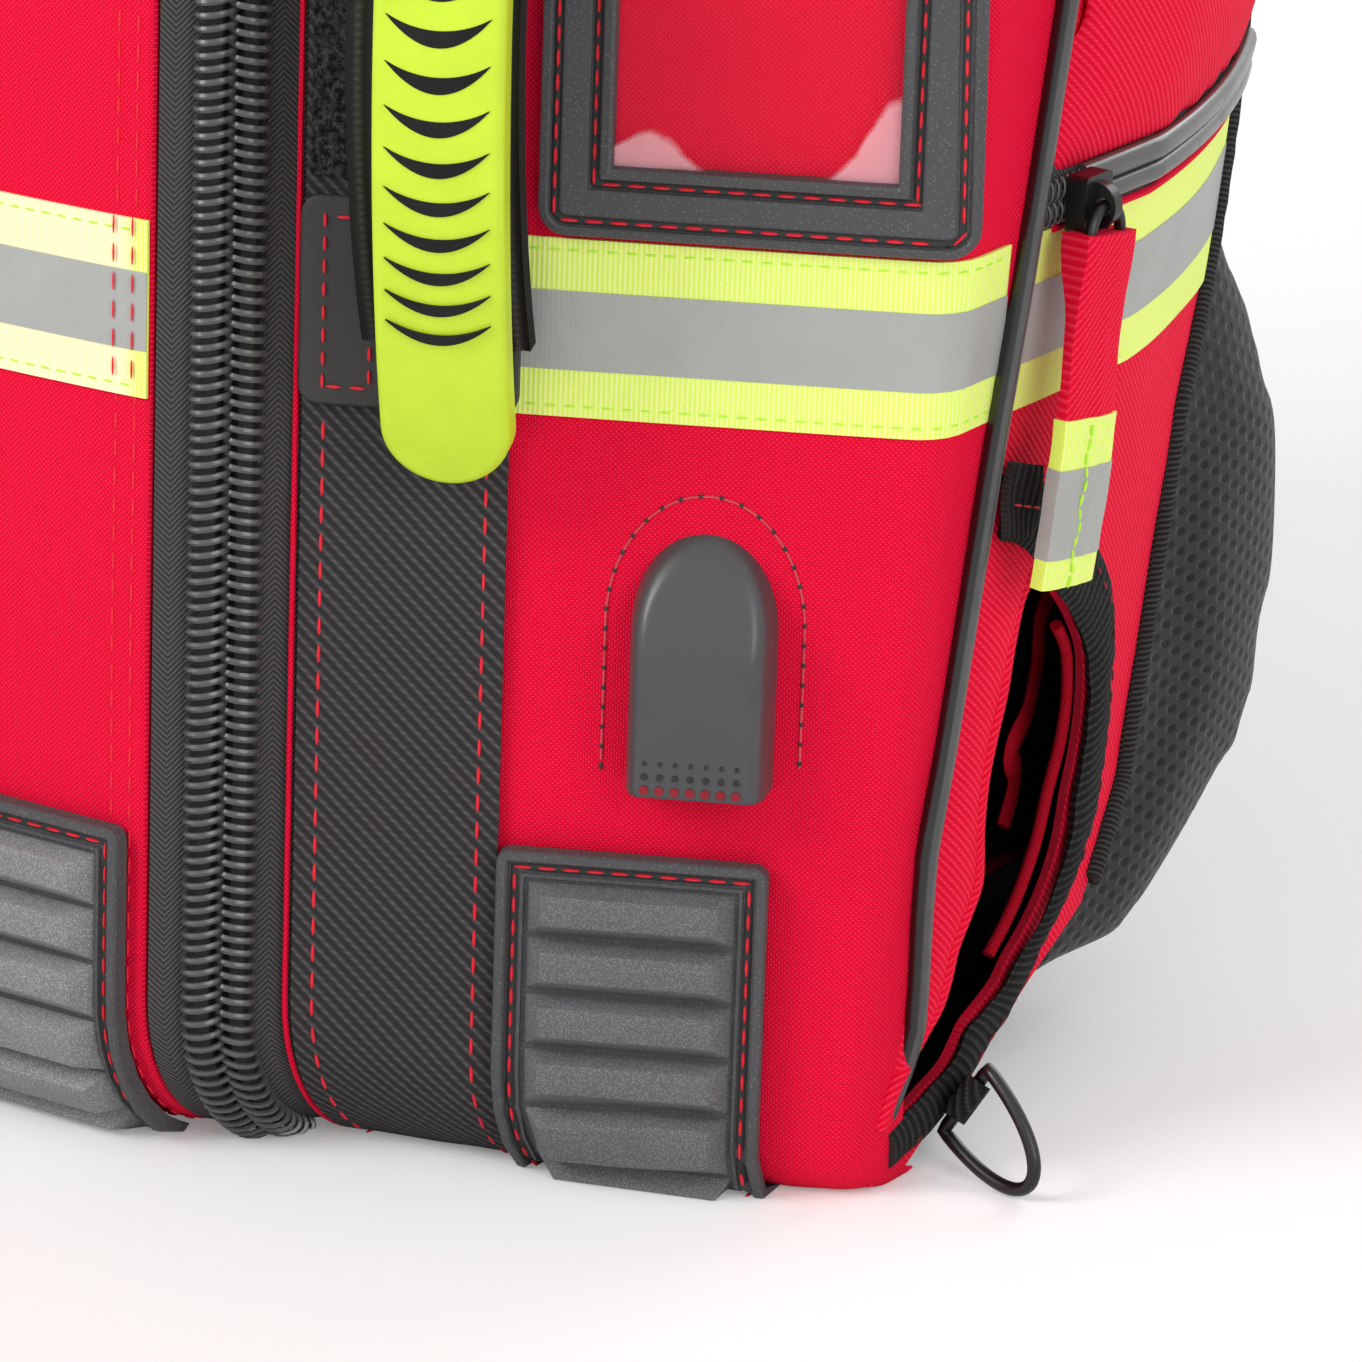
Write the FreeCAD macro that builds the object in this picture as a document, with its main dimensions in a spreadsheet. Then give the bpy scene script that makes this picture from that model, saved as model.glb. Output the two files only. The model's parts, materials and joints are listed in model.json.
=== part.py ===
import FreeCAD, Part
import math
import os
import Sketcher
from FreeCAD import Placement, Rotation, Vector

# Trauma backpack, standing on its base board. X to the right, Y to the back, Z up, millimetres.
# The origin is the centre of the front edge of the base, moved back to the middle of the depth.

SIZES = [
    ("header_height", 35),
    ("fabric_wall", 6),
    ("lid_face_back", 112),
    ("lid_half_width", 58.7),
    ("lid_thickness", 12),
    ("lid_height", 484),
    ("floor_gap", 2),
    ("zip_step_side", 19.9),
    ("zip_step_back", 18.5),
    ("zip_tape_thickness", 1.2),
    ("zip_half_gap", 0.6),
    ("zip_coil_width", 6.4),
    ("zip_coil_proud", 3.2),
    ("zip_inset", 1.4),
    ("facet_angle", 25.6),
    ("facet_at_floor", 98),
    ("facet_above_taper", 114),
    ("taper_height", 230),
    ("corner_radius", 8.6),
    ("piping_run_floor", 1),
    ("piping_run_top", 18),
    ("piping_radius", 2.1),
    ("side_straight_back", 19),
    ("side_bow_back", 58),
    ("side_bow_inward", 9.5),
    ("side_rear_back", 105),
    ("side_rear_inward", 29.4),
    ("back_face", 113),
    ("back_half_width", 148),
    ("lower_back_foot", 32),
    ("heel_height", 36),
    ("lower_back_knee", 49),
    ("lower_back_knee_height", 55),
    ("lower_back_waist", 64),
    ("lower_back_waist_height", 125),
    ("lower_back_shoulder", 94),
    ("flank_front", -32),
    ("flank_inset", 24),
    ("lower_back_height", 210),
    ("seam_width", 4.5),
    ("webbing_width", 37.4),
    ("webbing_thickness", 1.6),
    ("tape_low", 145.5),
    ("tape_width", 32.5),
    ("tape_thickness", 0.8),
    ("anchor_height", 38),
    ("anchor_thickness", 1.4),
    ("anchor_spacing", 164),
    ("grip_width", 23),
    ("grip_length", 172),
    ("grip_low", 135.5),
    ("grip_thickness", 8),
    ("grip_standoff", 30),
    ("grip_offset", 28.5),
    ("grip_slots_each_way", 8),
    ("grip_slot_pitch", 8.25),
    ("grip_slot_crowding", 0.021),
    ("grip_slot_fade", 0.62),
    ("grip_slot_height", 2.6),
    ("grip_slot_width", 18),
    ("grip_slot_depth", 3),
    ("handle_strap_offset", 26.4),
    ("handle_strap_width", 30),
    ("handle_strap_thickness", 3),
    ("id_frame_offset", 41.5),
    ("id_frame_width", 76),
    ("id_frame_height", 116),
    ("id_frame_border", 13),
    ("id_frame_thickness", 2.8),
    ("id_frame_radius", 5),
    ("id_frame_low", 179),
    ("id_lip_width", 2.4),
    ("id_lip_height", 1.2),
    ("id_window_thickness", 0.6),
    ("usb_offset", 73.2),
    ("usb_low", 78),
    ("usb_width", 25),
    ("usb_height", 47),
    ("usb_proud", 11.5),
    ("usb_wall", 2),
    ("socket_width", 14.5),
    ("socket_thickness", 7),
    ("socket_depth", 20),
    ("socket_mouth_width", 12.4),
    ("socket_mouth_thickness", 4.9),
    ("bumper_offset", 37.6),
    ("bumper_width", 49),
    ("bumper_height", 65),
    ("bumper_plate", 2.4),
    ("bumper_rim", 2.2),
    ("bumper_rim_height", 1.3),
    ("bumper_inset", 5),
    ("rib_pitch", 10.7),
    ("rib_height", 3.6),
    ("rib_crest", 5.2),
    ("rib_root", 9.4),
    ("rib_first", 9.5),
    ("rib_count", 5),
    ("lid_bumper_half_width", 56),
    ("side_zip_low", 178.6),
    ("side_zip_height", 8.6),
    ("side_zip_proud", 2.2),
    ("side_zip_rear", 92),
    ("upper_pocket_low", 190),
    ("upper_pocket_high", 476),
    ("upper_pocket_front", 10),
    ("upper_pocket_rear", 92),
    ("upper_pocket_proud", 17),
    ("mouth_low", 7.5),
    ("mouth_high", 112),
    ("mouth_foot_back", 5.6),
    ("mouth_front_back", 24.7),
    ("mouth_top_back", 31.7),
    ("mouth_depth", 40),
    ("hem_top_width", 12),
    ("hem_side_width", 11),
    ("hem_foot_width", 3),
    ("pocket_bag_depth", 26),
    ("pocket_bag_wall", 2),
    ("binding_proud", 3),
    ("slider_width", 12.5),
    ("slider_length", 17),
    ("slider_thickness", 2.4),
    ("slider_clearance", 0.3),
    ("slider_rise", 17),
    ("pull_width", 8),
    ("pull_length", 34),
    ("pull_thickness", 2.2),
    ("pull_pin_radius", 1.1),
    ("side_slider_back", 10),
    ("side_slider_length", 9.5),
    ("side_slider_height", 11),
    ("side_slider_thickness", 4),
    ("ring_radius", 5.2),
    ("ring_wire", 1.1),
    ("tab_width", 15.5),
    ("tab_length", 62),
    ("tab_thickness", 2.6),
    ("tab_tilt", 7),
    ("tab_lean", 3.5),
    ("dring_height", 14),
    ("dring_radius", 10.6),
    ("dring_wire", 1.3),
    ("dring_clearance", 0.9),
    ("lumbar_half_width", 160),
    ("lumbar_low", 13),
    ("lumbar_high", 163),
    ("lumbar_rear", 124),
    ("upper_pad_half_width", 112),
    ("upper_pad_low", 216),
    ("upper_pad_high", 466),
    ("upper_pad_thickness", 16),
    ("strap_centre", 74),
    ("strap_width", 62),
    ("strap_thickness", 12),
    ("strap_standoff", 32),
    ("strap_high", 492),
    ("strap_webbing_width", 25),
    ("strap_webbing_thickness", 1.6),
    ("ladder_lock_length", 30),
    ("ladder_lock_bar", 5),
    ("ladder_lock_thickness", 5),
    ("top_handle_half_span", 62),
    ("top_handle_rise", 24),
    ("top_handle_width", 28),
    ("top_handle_thickness", 6),
    ("top_handle_back", 84),
    ("slider_eye_reach", 1.6),
    ("slider_eye_radius", 4.2),
    ("slider_eye_bore", 1.6),
    ("slider_eye_plate", 2.4),
    ("slider_corner", 1.5),
    ("dring_back", 32),
    ("tab_loop_wall", 1.4),
    ("tab_loop_length", 7),
    ("seat_gap", 0.3),
]

doc = FreeCAD.newDocument("TraumaBackpack")
sheet = doc.addObject("Spreadsheet::Sheet", "Sizes")
for row, (alias, number) in enumerate(SIZES, start=1):
    sheet.set(f"A{row}", alias)
    sheet.set(f"B{row}", str(number))
    sheet.setAlias(f"B{row}", alias)
doc.recompute()

nodes = {}


def size(alias):
    return float(sheet.get(alias))


def keep(label, item):
    item.Label = label
    nodes[label] = item
    return item


def feature(name, shape, placement=None):
    item = doc.addObject("Part::Feature", name)
    item.Shape = shape
    if placement:
        item.Placement = placement
    return item


def mirrored(item, name):
    mirror = doc.addObject("Part::Mirroring", name)
    mirror.Source = item
    mirror.Normal = (1, 0, 0)
    mirror.Base = (0, 0, 0)
    return mirror


def keep_sides(base, right):
    """One node for the right-hand piece and one for its mirror image."""
    keep(base + "_right", right)
    keep(base + "_left", mirrored(right, base + "_mirror"))


def keep_pair(label, right, extras=()):
    """One node that holds the right-hand piece, its mirror image and any middle pieces."""
    pair = doc.addObject("Part::Compound", label + "_pair")
    pair.Links = [right, mirrored(right, label + "_mirror"), *extras]
    return keep(label, pair)


# --- plan of the pack -------------------------------------------------------------------------

WALL = size("fabric_wall")
HEIGHT = size("lid_height") + size("header_height")
LID_FACE = -size("lid_face_back")
ANGLE = math.radians(size("facet_angle"))
ALONG = Vector(math.cos(ANGLE), math.sin(ANGLE), 0)
OUTWARD = Vector(math.sin(ANGLE), -math.cos(ANGLE), 0)
UP = Vector(0, 0, 1)
LID_EDGE = Vector(size("lid_half_width"), LID_FACE, 0)
STEP = Vector(size("zip_step_side"), size("zip_step_back"), 0)
FACET_START = LID_EDGE + STEP
FACET = Placement(FACET_START, Rotation(ALONG, UP, OUTWARD, "ZXY"))
LEVELS = (0, size("taper_height"), HEIGHT)
GAP = size("seat_gap")


def facet_length(level):
    """Straight length of the front facet: shorter near the floor, where the sides lean in."""
    share = min(1, level / size("taper_height"))
    return size("facet_at_floor") + share * (size("facet_above_taper") - size("facet_at_floor"))


def corner_at(level):
    """The point where the rounded front corner has turned to run straight back."""
    turn = size("corner_radius")
    bend = Vector(turn * (1 - math.sin(ANGLE)), turn * math.cos(ANGLE), 0)
    return FACET_START + ALONG * facet_length(level) + bend


def piping_at(level):
    share = min(1, level / size("taper_height"))
    run = size("piping_run_floor") + share * (size("piping_run_top") - size("piping_run_floor"))
    return corner_at(level) + Vector(0, run, 0)


def front_edge(level, offset, start):
    """Edges of the front wall in plan, moved outward by offset, from start along the facet."""
    turn = size("corner_radius")
    first = FACET_START + ALONG * start + OUTWARD * offset
    bend_start = FACET_START + ALONG * facet_length(level) + OUTWARD * offset
    centre = FACET_START + ALONG * facet_length(level) - OUTWARD * turn
    halfway = (math.radians(90) - ANGLE) / 2
    direction = OUTWARD * math.cos(halfway) + ALONG * math.sin(halfway)
    bend_middle = centre + direction * (turn + offset)
    bend_end = centre + Vector(turn + offset, 0, 0)
    last = piping_at(level) + Vector(offset, 0, 0)
    points = [first, bend_start, bend_middle, bend_end, last]
    return [point + UP * level for point in points]


def side_edge(level, offset):
    """Edges of the side wall in plan, moved outward by offset, from the piping to the rear seam."""
    front = piping_at(level)
    wide = front.x
    points = [
        Vector(wide, front.y, 0),
        Vector(wide, size("side_straight_back"), 0),
        Vector(wide - size("side_bow_inward"), size("side_bow_back"), 0),
        Vector(wide - size("side_rear_inward"), size("side_rear_back"), 0),
    ]
    return [point + Vector(offset, 0, level) for point in points]


def front_wire(level, inner, outer, start):
    a = front_edge(level, outer, start)
    b = front_edge(level, inner, start)
    edges = [
        Part.LineSegment(a[0], a[1]).toShape(),
        Part.Arc(a[1], a[2], a[3]).toShape(),
        Part.LineSegment(a[3], a[4]).toShape(),
        Part.LineSegment(a[4], b[4]).toShape(),
        Part.LineSegment(b[4], b[3]).toShape(),
        Part.Arc(b[3], b[2], b[1]).toShape(),
        Part.LineSegment(b[1], b[0]).toShape(),
        Part.LineSegment(b[0], a[0]).toShape(),
    ]
    return Part.Wire(edges)


def side_wire(level, inner, outer):
    a = side_edge(level, outer)
    b = side_edge(level, inner)
    edges = [
        Part.LineSegment(a[0], a[1]).toShape(),
        Part.Arc(a[1], a[2], a[3]).toShape(),
        Part.LineSegment(a[3], b[3]).toShape(),
        Part.Arc(b[3], b[2], b[1]).toShape(),
        Part.LineSegment(b[1], b[0]).toShape(),
        Part.LineSegment(b[0], a[0]).toShape(),
    ]
    return Part.Wire(edges)


def front_skin(inner, outer, start=0.0):
    """Wall that follows the front facet and its corner, between two offsets from its outer face."""
    return Part.makeLoft([front_wire(level, inner, outer, start) for level in LEVELS], True, True)


def side_skin(inner, outer):
    """Wall that follows the side, between two offsets from its outer face."""
    return Part.makeLoft([side_wire(level, inner, outer) for level in LEVELS], True, True)


def slab(low, high):
    """Everything between two heights."""
    reach = 2 * HEIGHT
    return Part.makeBox(2 * reach, 2 * reach, high - low, Vector(-reach, -reach, low))


def prism_along_x(wire, first, last):
    """A closed outline in the YZ plane, drawn out along X."""
    face = Part.Face(wire)
    face.translate(Vector(first, 0, 0))
    return face.extrude(Vector(last - first, 0, 0))


def side_block(y_low, z_low, y_high, z_high):
    reach = 2 * HEIGHT
    return Part.makeBox(reach, y_high - y_low, z_high - z_low, Vector(0, y_low, z_low))


# --- sketches ---------------------------------------------------------------------------------

def sheet_value(expression):
    return float(sheet.evalExpression(expression))


def origin_plane(body, role):
    return [plane for plane in body.Origin.OriginFeatures if plane.Role == role][0]


def sketch_loop(body, name, points, role="XY_Plane", height=None):
    """A closed outline of straight sides whose corners are bound to cells of the sheet."""
    sketch = body.newObject("Sketcher::SketchObject", name)
    sketch.AttachmentSupport = (origin_plane(body, role), [""])
    sketch.MapMode = "FlatFace"
    if height:
        sketch.setExpression("AttachmentOffset.Base.z", height)
    corners = [Vector(sheet_value(x), sheet_value(y), 0) for x, y in points]
    count = len(points)
    for index in range(count):
        sketch.addGeometry(Part.LineSegment(corners[index], corners[(index + 1) % count]))
    for index in range(count):
        sketch.addConstraint(Sketcher.Constraint("Coincident", index, 2, (index + 1) % count, 1))
    for index, (x, y) in enumerate(points):
        across = sketch.addConstraint(Sketcher.Constraint("DistanceX", -1, 1, index, 1, corners[index].x))
        sketch.setExpression(f"Constraints[{across}]", x)
        upward = sketch.addConstraint(Sketcher.Constraint("DistanceY", -1, 1, index, 1, corners[index].y))
        sketch.setExpression(f"Constraints[{upward}]", y)
    return sketch


def rectangle(x_low, y_low, x_high, y_high):
    return [(x_low, y_low), (x_high, y_low), (x_high, y_high), (x_low, y_high)]


def pad(body, name, sketch, length, backwards=False):
    solid = body.newObject("PartDesign::Pad", name)
    solid.Profile = sketch
    solid.Reversed = backwards
    solid.setExpression("Length", length)
    return solid


def pocket(body, name, sketch, length, backwards=False):
    cut = body.newObject("PartDesign::Pocket", name)
    cut.Profile = sketch
    cut.Reversed = backwards
    cut.setExpression("Length", length)
    return cut


def upright_edges(solid):
    """Names of the straight edges that run along the local pad direction."""
    names = []
    for index, edge in enumerate(solid.Shape.Edges, start=1):
        if len(edge.Vertexes) < 2:
            continue
        run = edge.Vertexes[1].Point - edge.Vertexes[0].Point
        if abs(run.z) > 0.99 * edge.Length:
            names.append(f"Edge{index}")
    return names


def rounded(body, name, solid, radius):
    doc.recompute()
    fillet = body.newObject("PartDesign::Fillet", name)
    fillet.Base = (solid, upright_edges(solid))
    fillet.setExpression("Radius", radius)
    return fillet


def facet_body(name):
    """A body whose local X runs along the front facet, Y up and Z outward."""
    body = doc.addObject("PartDesign::Body", name)
    body.Placement = FACET
    return body


# --- fabric shell -----------------------------------------------------------------------------

def rear_outline(inset=0.0):
    """Side view of the pack's rear, as a YZ wire: heel, lower back set in for the pad, upper back."""
    foot = size("lower_back_foot") - inset
    knee = size("lower_back_knee") - inset
    waist = size("lower_back_waist") - inset
    rear = size("back_face") - inset
    waist_height = size("lower_back_waist_height")
    bend = size("lower_back_height")
    shoulder = Vector(0, size("lower_back_shoulder") - inset, (waist_height + bend) / 2)
    points = [
        Vector(0, LID_FACE, 0),
        Vector(0, foot, 0),
        Vector(0, foot, size("heel_height")),
        Vector(0, knee, size("lower_back_knee_height")),
        Vector(0, waist, waist_height),
        Vector(0, rear, bend),
        Vector(0, rear, HEIGHT),
        Vector(0, LID_FACE, HEIGHT),
    ]
    edges = [Part.LineSegment(points[index], points[index + 1]).toShape() for index in (0, 1, 2, 3)]
    edges.append(Part.Arc(points[4], shoulder, points[5]).toShape())
    edges += [Part.LineSegment(points[index], points[index + 1]).toShape() for index in (5, 6)]
    edges.append(Part.LineSegment(points[7], points[0]).toShape())
    return Part.Wire(edges)


def inside_rear(inset=0.0):
    return prism_along_x(rear_outline(inset), -2 * HEIGHT, 2 * HEIGHT)


def flank_block(depth):
    """Everything under the slanted flank, which pulls the lower side in towards the heel."""
    wide = corner_at(0).x
    start = Vector(wide, size("flank_front"), 0)
    rise = Vector(0, size("lower_back_foot") - size("flank_front"), size("heel_height"))
    sideways = Vector(-size("flank_inset"), size("lower_back_foot") - size("flank_front"), 0)
    outward = sideways.cross(rise).normalize()
    reach = 2 * HEIGHT
    block = Part.makeBox(reach, reach, reach, Vector(-reach / 2, -reach / 2, 0))
    block.Placement = Placement(start - outward * depth, Rotation(UP, outward))
    return block


def mouth_points():
    """Corners and middles of the teardrop pocket mouth: foot, front edge, top, rear edge."""
    low = size("mouth_low")
    high = size("mouth_high")
    middle = (low + high) / 2
    foot = Vector(0, piping_at(low).y + size("mouth_foot_back"), low)
    front = Vector(0, piping_at(middle).y + size("mouth_front_back"), middle)
    top = Vector(0, piping_at(high).y + size("mouth_top_back"), high)
    rear = front + Vector(0, size("mouth_depth"), 0)
    bulge = size("mouth_depth") / 4
    front_low = (foot + front) * 0.5 + Vector(0, bulge / 2, -bulge / 2)
    front_high = (front + top) * 0.5 - Vector(0, bulge / 3, 0)
    rear_high = (rear + top) * 0.5 + Vector(0, bulge / 2, 0)
    rear_low = (rear + foot) * 0.5 + Vector(0, bulge * 0.7, -bulge * 0.8)
    return foot, front_low, front, front_high, top, rear_high, rear, rear_low


def mouth_wire():
    points = mouth_points()
    edges = []
    for index in (0, 2, 4, 6):
        edges.append(Part.Arc(points[index], points[index + 1], points[(index + 2) % 8]).toShape())
    return Part.Wire(edges)


def hem_wire():
    """Elastic hem: from the piping over the mouth's top, then down round its rear edge to the foot."""
    foot, _, _, _, top, rear_high, rear, rear_low = mouth_points()
    top_width = size("hem_top_width")
    side_width = size("hem_side_width")
    foot_width = size("hem_foot_width")
    level = top.z + top_width * 0.8
    start_low = Vector(0, piping_at(level).y, level)
    start_high = start_low + UP * top_width
    inner_middle = (start_low + top) * 0.5 - UP * foot_width / 2
    outer_top = top + Vector(0, side_width * 1.6, -foot_width)
    outer_start = (start_high + outer_top) * 0.5 + UP * foot_width
    outer_high = rear_high + Vector(0, side_width * 1.3, foot_width * 2)
    outer_rear = rear + Vector(0, side_width, 0)
    outer_low = rear_low + Vector(0, foot_width * 1.6, -foot_width * 1.6)
    outer_foot = foot - UP * foot_width
    edges = [
        Part.Arc(start_low, inner_middle, top).toShape(),
        Part.Arc(top, rear_high, rear).toShape(),
        Part.Arc(rear, rear_low, foot).toShape(),
        Part.LineSegment(foot, outer_foot).toShape(),
        Part.Arc(outer_foot, outer_low, outer_rear).toShape(),
        Part.Arc(outer_rear, outer_high, outer_top).toShape(),
        Part.Arc(outer_top, outer_start, start_high).toShape(),
        Part.LineSegment(start_high, start_low).toShape(),
    ]
    return Part.Wire(edges)


BOARD = size("fabric_wall")
BODY_LEVELS = slab(BOARD, HEIGHT - BOARD)

front_right = feature("front_panel", front_skin(-WALL, 0).common(slab(0, HEIGHT - BOARD)))
keep_sides("front_panel", front_right)

mouth_prism = prism_along_x(mouth_wire(), 0, 2 * HEIGHT)
side_wall = side_skin(-WALL, 0).common(BODY_LEVELS).common(inside_rear())
side_wall = side_wall.cut([mouth_prism, flank_block(0)])
keep_sides("side_panel", feature("side_panel", side_wall))


def plan_outline(level, inset):
    """The pack's whole plan at one height, lid face included, pulled in by inset."""
    front = front_edge(level, -inset, 0)
    side = side_edge(level, -inset)
    nose = Vector(size("lid_half_width"), LID_FACE + inset, level)
    rear = Vector(side[3].x, size("back_face") - inset, level)
    half = [nose, front[0], front[1], front[2], front[3], side[1], side[2], side[3], rear]
    other = [Vector(-point.x, point.y, point.z) for point in reversed(half)]
    ring = half + other
    return Part.Face(Part.makePolygon(ring + [ring[0]]))


base_shape = plan_outline(0, 0).extrude(UP * BOARD)
lid_foot = Part.makeBox(
    2 * (size("lid_half_width") + size("zip_step_side")),
    size("zip_step_back"),
    BOARD,
    Vector(-size("lid_half_width") - size("zip_step_side"), LID_FACE, 0),
)
front_left_shape = front_right.Shape.mirror(Vector(0, 0, 0), Vector(1, 0, 0))
base_shape = base_shape.common(inside_rear()).cut([lid_foot, front_right.Shape, front_left_shape])
FLANK_REACH = 10 * WALL
flank = side_skin(-FLANK_REACH, -WALL).common(flank_block(WALL)).common(inside_rear())
flank = flank.cut(flank_block(0)).common(slab(0, HEIGHT))
other_flank = flank.mirror(Vector(0, 0, 0), Vector(1, 0, 0))
other_block = flank_block(0).mirror(Vector(0, 0, 0), Vector(1, 0, 0))
base_shape = base_shape.cut([flank_block(0), other_block]).fuse([flank, other_flank]).removeSplitter()
keep("base_panel", feature("base_panel", base_shape))

top_shape = plan_outline(HEIGHT - BOARD, 0).extrude(UP * BOARD)
keep("top_panel", feature("top_panel", top_shape))


def header_outline():
    """Plan of the strip over the lid, as far out as the middle of each zipper band."""
    reach = LID_EDGE + STEP * (0.5 - size("zip_half_gap") / STEP.Length)
    depth = Vector(0, WALL, 0)
    half = [reach, LID_EDGE]
    other = [Vector(-point.x, point.y, 0) for point in reversed(half)]
    front = half + other
    ring = front + [point + depth for point in reversed(front)]
    return Part.Face(Part.makePolygon(ring + [ring[0]]))


lip_low = size("lid_height") + 2 * size("zip_coil_width")
header_shape = header_outline().extrude(UP * (HEIGHT - BOARD - lip_low))
header_shape.translate(UP * lip_low)
keep("header_panel", feature("header_panel", header_shape))

rear_band = inside_rear(0).cut(inside_rear(WALL))
half_back = size("back_half_width")
back_slice = Part.makeBox(2 * half_back, 4 * HEIGHT, HEIGHT, Vector(-half_back, 0, 0))
between_sides = Part.makeLoft([plan_outline(level, WALL + GAP).OuterWire for level in LEVELS], True, True)
lower_back = rear_band.common(between_sides).common(slab(BOARD, size("lower_back_height")))
flank_room = flank_block(WALL + GAP)
lower_back = lower_back.cut([flank_room, flank_room.mirror(Vector(0, 0, 0), Vector(1, 0, 0))])
upper_back = rear_band.common(back_slice).common(slab(size("lower_back_height"), HEIGHT - BOARD))
keep("lower_back_panel", feature("lower_back_panel", lower_back))
keep("back_panel", feature("back_panel", upper_back))

# --- edges: piping, rear seam, pocket binding -------------------------------------------------


def piping_run(low, high):
    """A round corded edge between two points of the seam."""
    line = high - low
    cord = Part.makeCylinder(size("piping_radius"), line.Length, low, line)
    return cord


def piping_point(level):
    return piping_at(level) + Vector(size("piping_radius"), 0, level)


cord_low = piping_run(piping_point(BOARD), piping_point(size("taper_height")))
cord_high = piping_run(piping_point(size("taper_height")), piping_point(HEIGHT - BOARD))
joint = Part.makeSphere(size("piping_radius"), piping_point(size("taper_height")))
cord = cord_low.fuse([cord_high, joint]).cut([front_right.Shape, side_wall])
piping_right = feature("piping", cord)
keep_pair("side_piping", piping_right)

seam_zone = inside_rear().cut(inside_rear(size("seam_width")))
seam_skin = side_skin(0, size("tape_thickness") * 2)
seam = seam_skin.common(seam_zone).common(BODY_LEVELS).cut(flank_block(0))
keep_pair("rear_binding", feature("rear_binding", seam))

hem = side_skin(0, size("binding_proud")).common(prism_along_x(hem_wire(), 0, 2 * HEIGHT))
hem = hem.cut([piping_right.Shape, flank_block(0)])
hem_solid = max(hem.Solids, key=lambda solid: solid.Volume)
keep_pair("pocket_binding", feature("pocket_binding", hem_solid))

# --- side pockets -----------------------------------------------------------------------------

bag_outer = size("pocket_bag_depth")
bag_wall = size("pocket_bag_wall")
bag_front = piping_at(0).y + WALL
bag_rear = mouth_points()[6].y + WALL
bag_high = size("mouth_high") + bag_wall
bag_zone = side_block(bag_front, BOARD, bag_rear + bag_wall, bag_high + bag_wall)
bag_core_zone = side_block(bag_front + bag_wall, BOARD + bag_wall, bag_rear, bag_high)
bag = side_skin(-bag_outer, -WALL).common(bag_zone).cut(flank_block(WALL + GAP))
bag_core = side_skin(-bag_outer + bag_wall, -WALL + bag_wall).common(bag_core_zone)
bag_core = bag_core.cut(flank_block(WALL + GAP + bag_wall))
bag = bag.cut([bag_core, front_right.Shape]).common(inside_rear(WALL + GAP))
bag_solid = max(bag.Solids, key=lambda solid: solid.Volume)
keep_sides("side_pocket", feature("side_pocket", bag_solid))

pouch_zone = side_block(
    piping_at(HEIGHT).y + size("upper_pocket_front"),
    size("upper_pocket_low"),
    size("upper_pocket_rear"),
    size("upper_pocket_high"),
)
pouch = side_skin(0, size("upper_pocket_proud")).common(pouch_zone).cut(seam)
keep_sides("upper_pocket", feature("upper_pocket", pouch))

# --- reflective tape --------------------------------------------------------------------------

TAPE_BAND = slab(size("tape_low"), size("tape_low") + size("tape_width"))
TAPE = size("tape_thickness")
front_tape_shape = front_skin(0, TAPE, size("webbing_width") + TAPE).common(TAPE_BAND)
front_tape_shape = front_tape_shape.cut(piping_right.Shape)
keep_pair("front_tape", feature("front_tape", front_tape_shape))

side_tape_shape = side_skin(GAP / 3, TAPE).common(TAPE_BAND).common(inside_rear(size("seam_width") + GAP))
side_tape_shape = side_tape_shape.cut(piping_right.Shape)
keep_pair("side_tape", feature("side_tape", side_tape_shape))

# --- webbing, handle anchors and grips --------------------------------------------------------

webbing = facet_body("webbing_band")
WEBBING_TOP = "Sizes.lid_height + Sizes.header_height - Sizes.fabric_wall"
webbing_sketch = sketch_loop(
    webbing,
    "webbing_outline",
    rectangle("Sizes.seat_gap", "Sizes.floor_gap", "Sizes.webbing_width", WEBBING_TOP),
)
pad(webbing, "webbing_pad", webbing_sketch, "Sizes.webbing_thickness")
keep_pair("webbing_bands", webbing)


def anchor_body(name, low):
    """A stitched patch over the end of the handle strap."""
    body = facet_body(name)
    patch = sketch_loop(
        body,
        name + "_outline",
        rectangle("Sizes.seat_gap", low, "Sizes.webbing_width", low + " + Sizes.anchor_height"),
        height="Sizes.webbing_thickness",
    )
    patch_pad = pad(body, name + "_pad", patch, "Sizes.anchor_thickness")
    rounded(body, name + "_corners", patch_pad, "Sizes.anchor_thickness * 2")
    return body


anchor_low = anchor_body("anchor_low", "Sizes.tape_low")
anchor_high = anchor_body("anchor_high", "Sizes.tape_low + Sizes.anchor_spacing")
anchors = doc.addObject("Part::Compound", "anchors")
anchors.Links = [anchor_low, anchor_high]
keep_pair("handle_anchors", anchors)


def bow_arc(standoff_end, standoff_middle, low, high):
    """Points of a bowed strip in the local YZ plane: out from the panel in the middle."""
    middle = (low + high) / 2
    return [Vector(0, low, standoff_end), Vector(0, middle, standoff_middle), Vector(0, high, standoff_end)]


def bowed_strip(half_width, inner_end, inner_middle, thickness, low, high):
    inner = bow_arc(inner_end, inner_middle, low, high)
    outer = bow_arc(inner_end + thickness, inner_middle + thickness, low, high)
    edges = [
        Part.Arc(*inner).toShape(),
        Part.LineSegment(inner[2], outer[2]).toShape(),
        Part.Arc(outer[2], outer[1], outer[0]).toShape(),
        Part.LineSegment(outer[0], inner[0]).toShape(),
    ]
    face = Part.Face(Part.Wire(edges))
    face.translate(Vector(-half_width, 0, 0))
    return face.extrude(Vector(2 * half_width, 0, 0))


strap_low = size("tape_low") + size("anchor_height") / 2
strap_high = strap_low + size("anchor_spacing")
strap_inner_end = size("webbing_thickness") + size("anchor_thickness")
grip_low = size("grip_low")
grip_high = grip_low + size("grip_length")
grip_middle = (grip_low + grip_high) / 2
grip_inner = size("grip_standoff")


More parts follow.
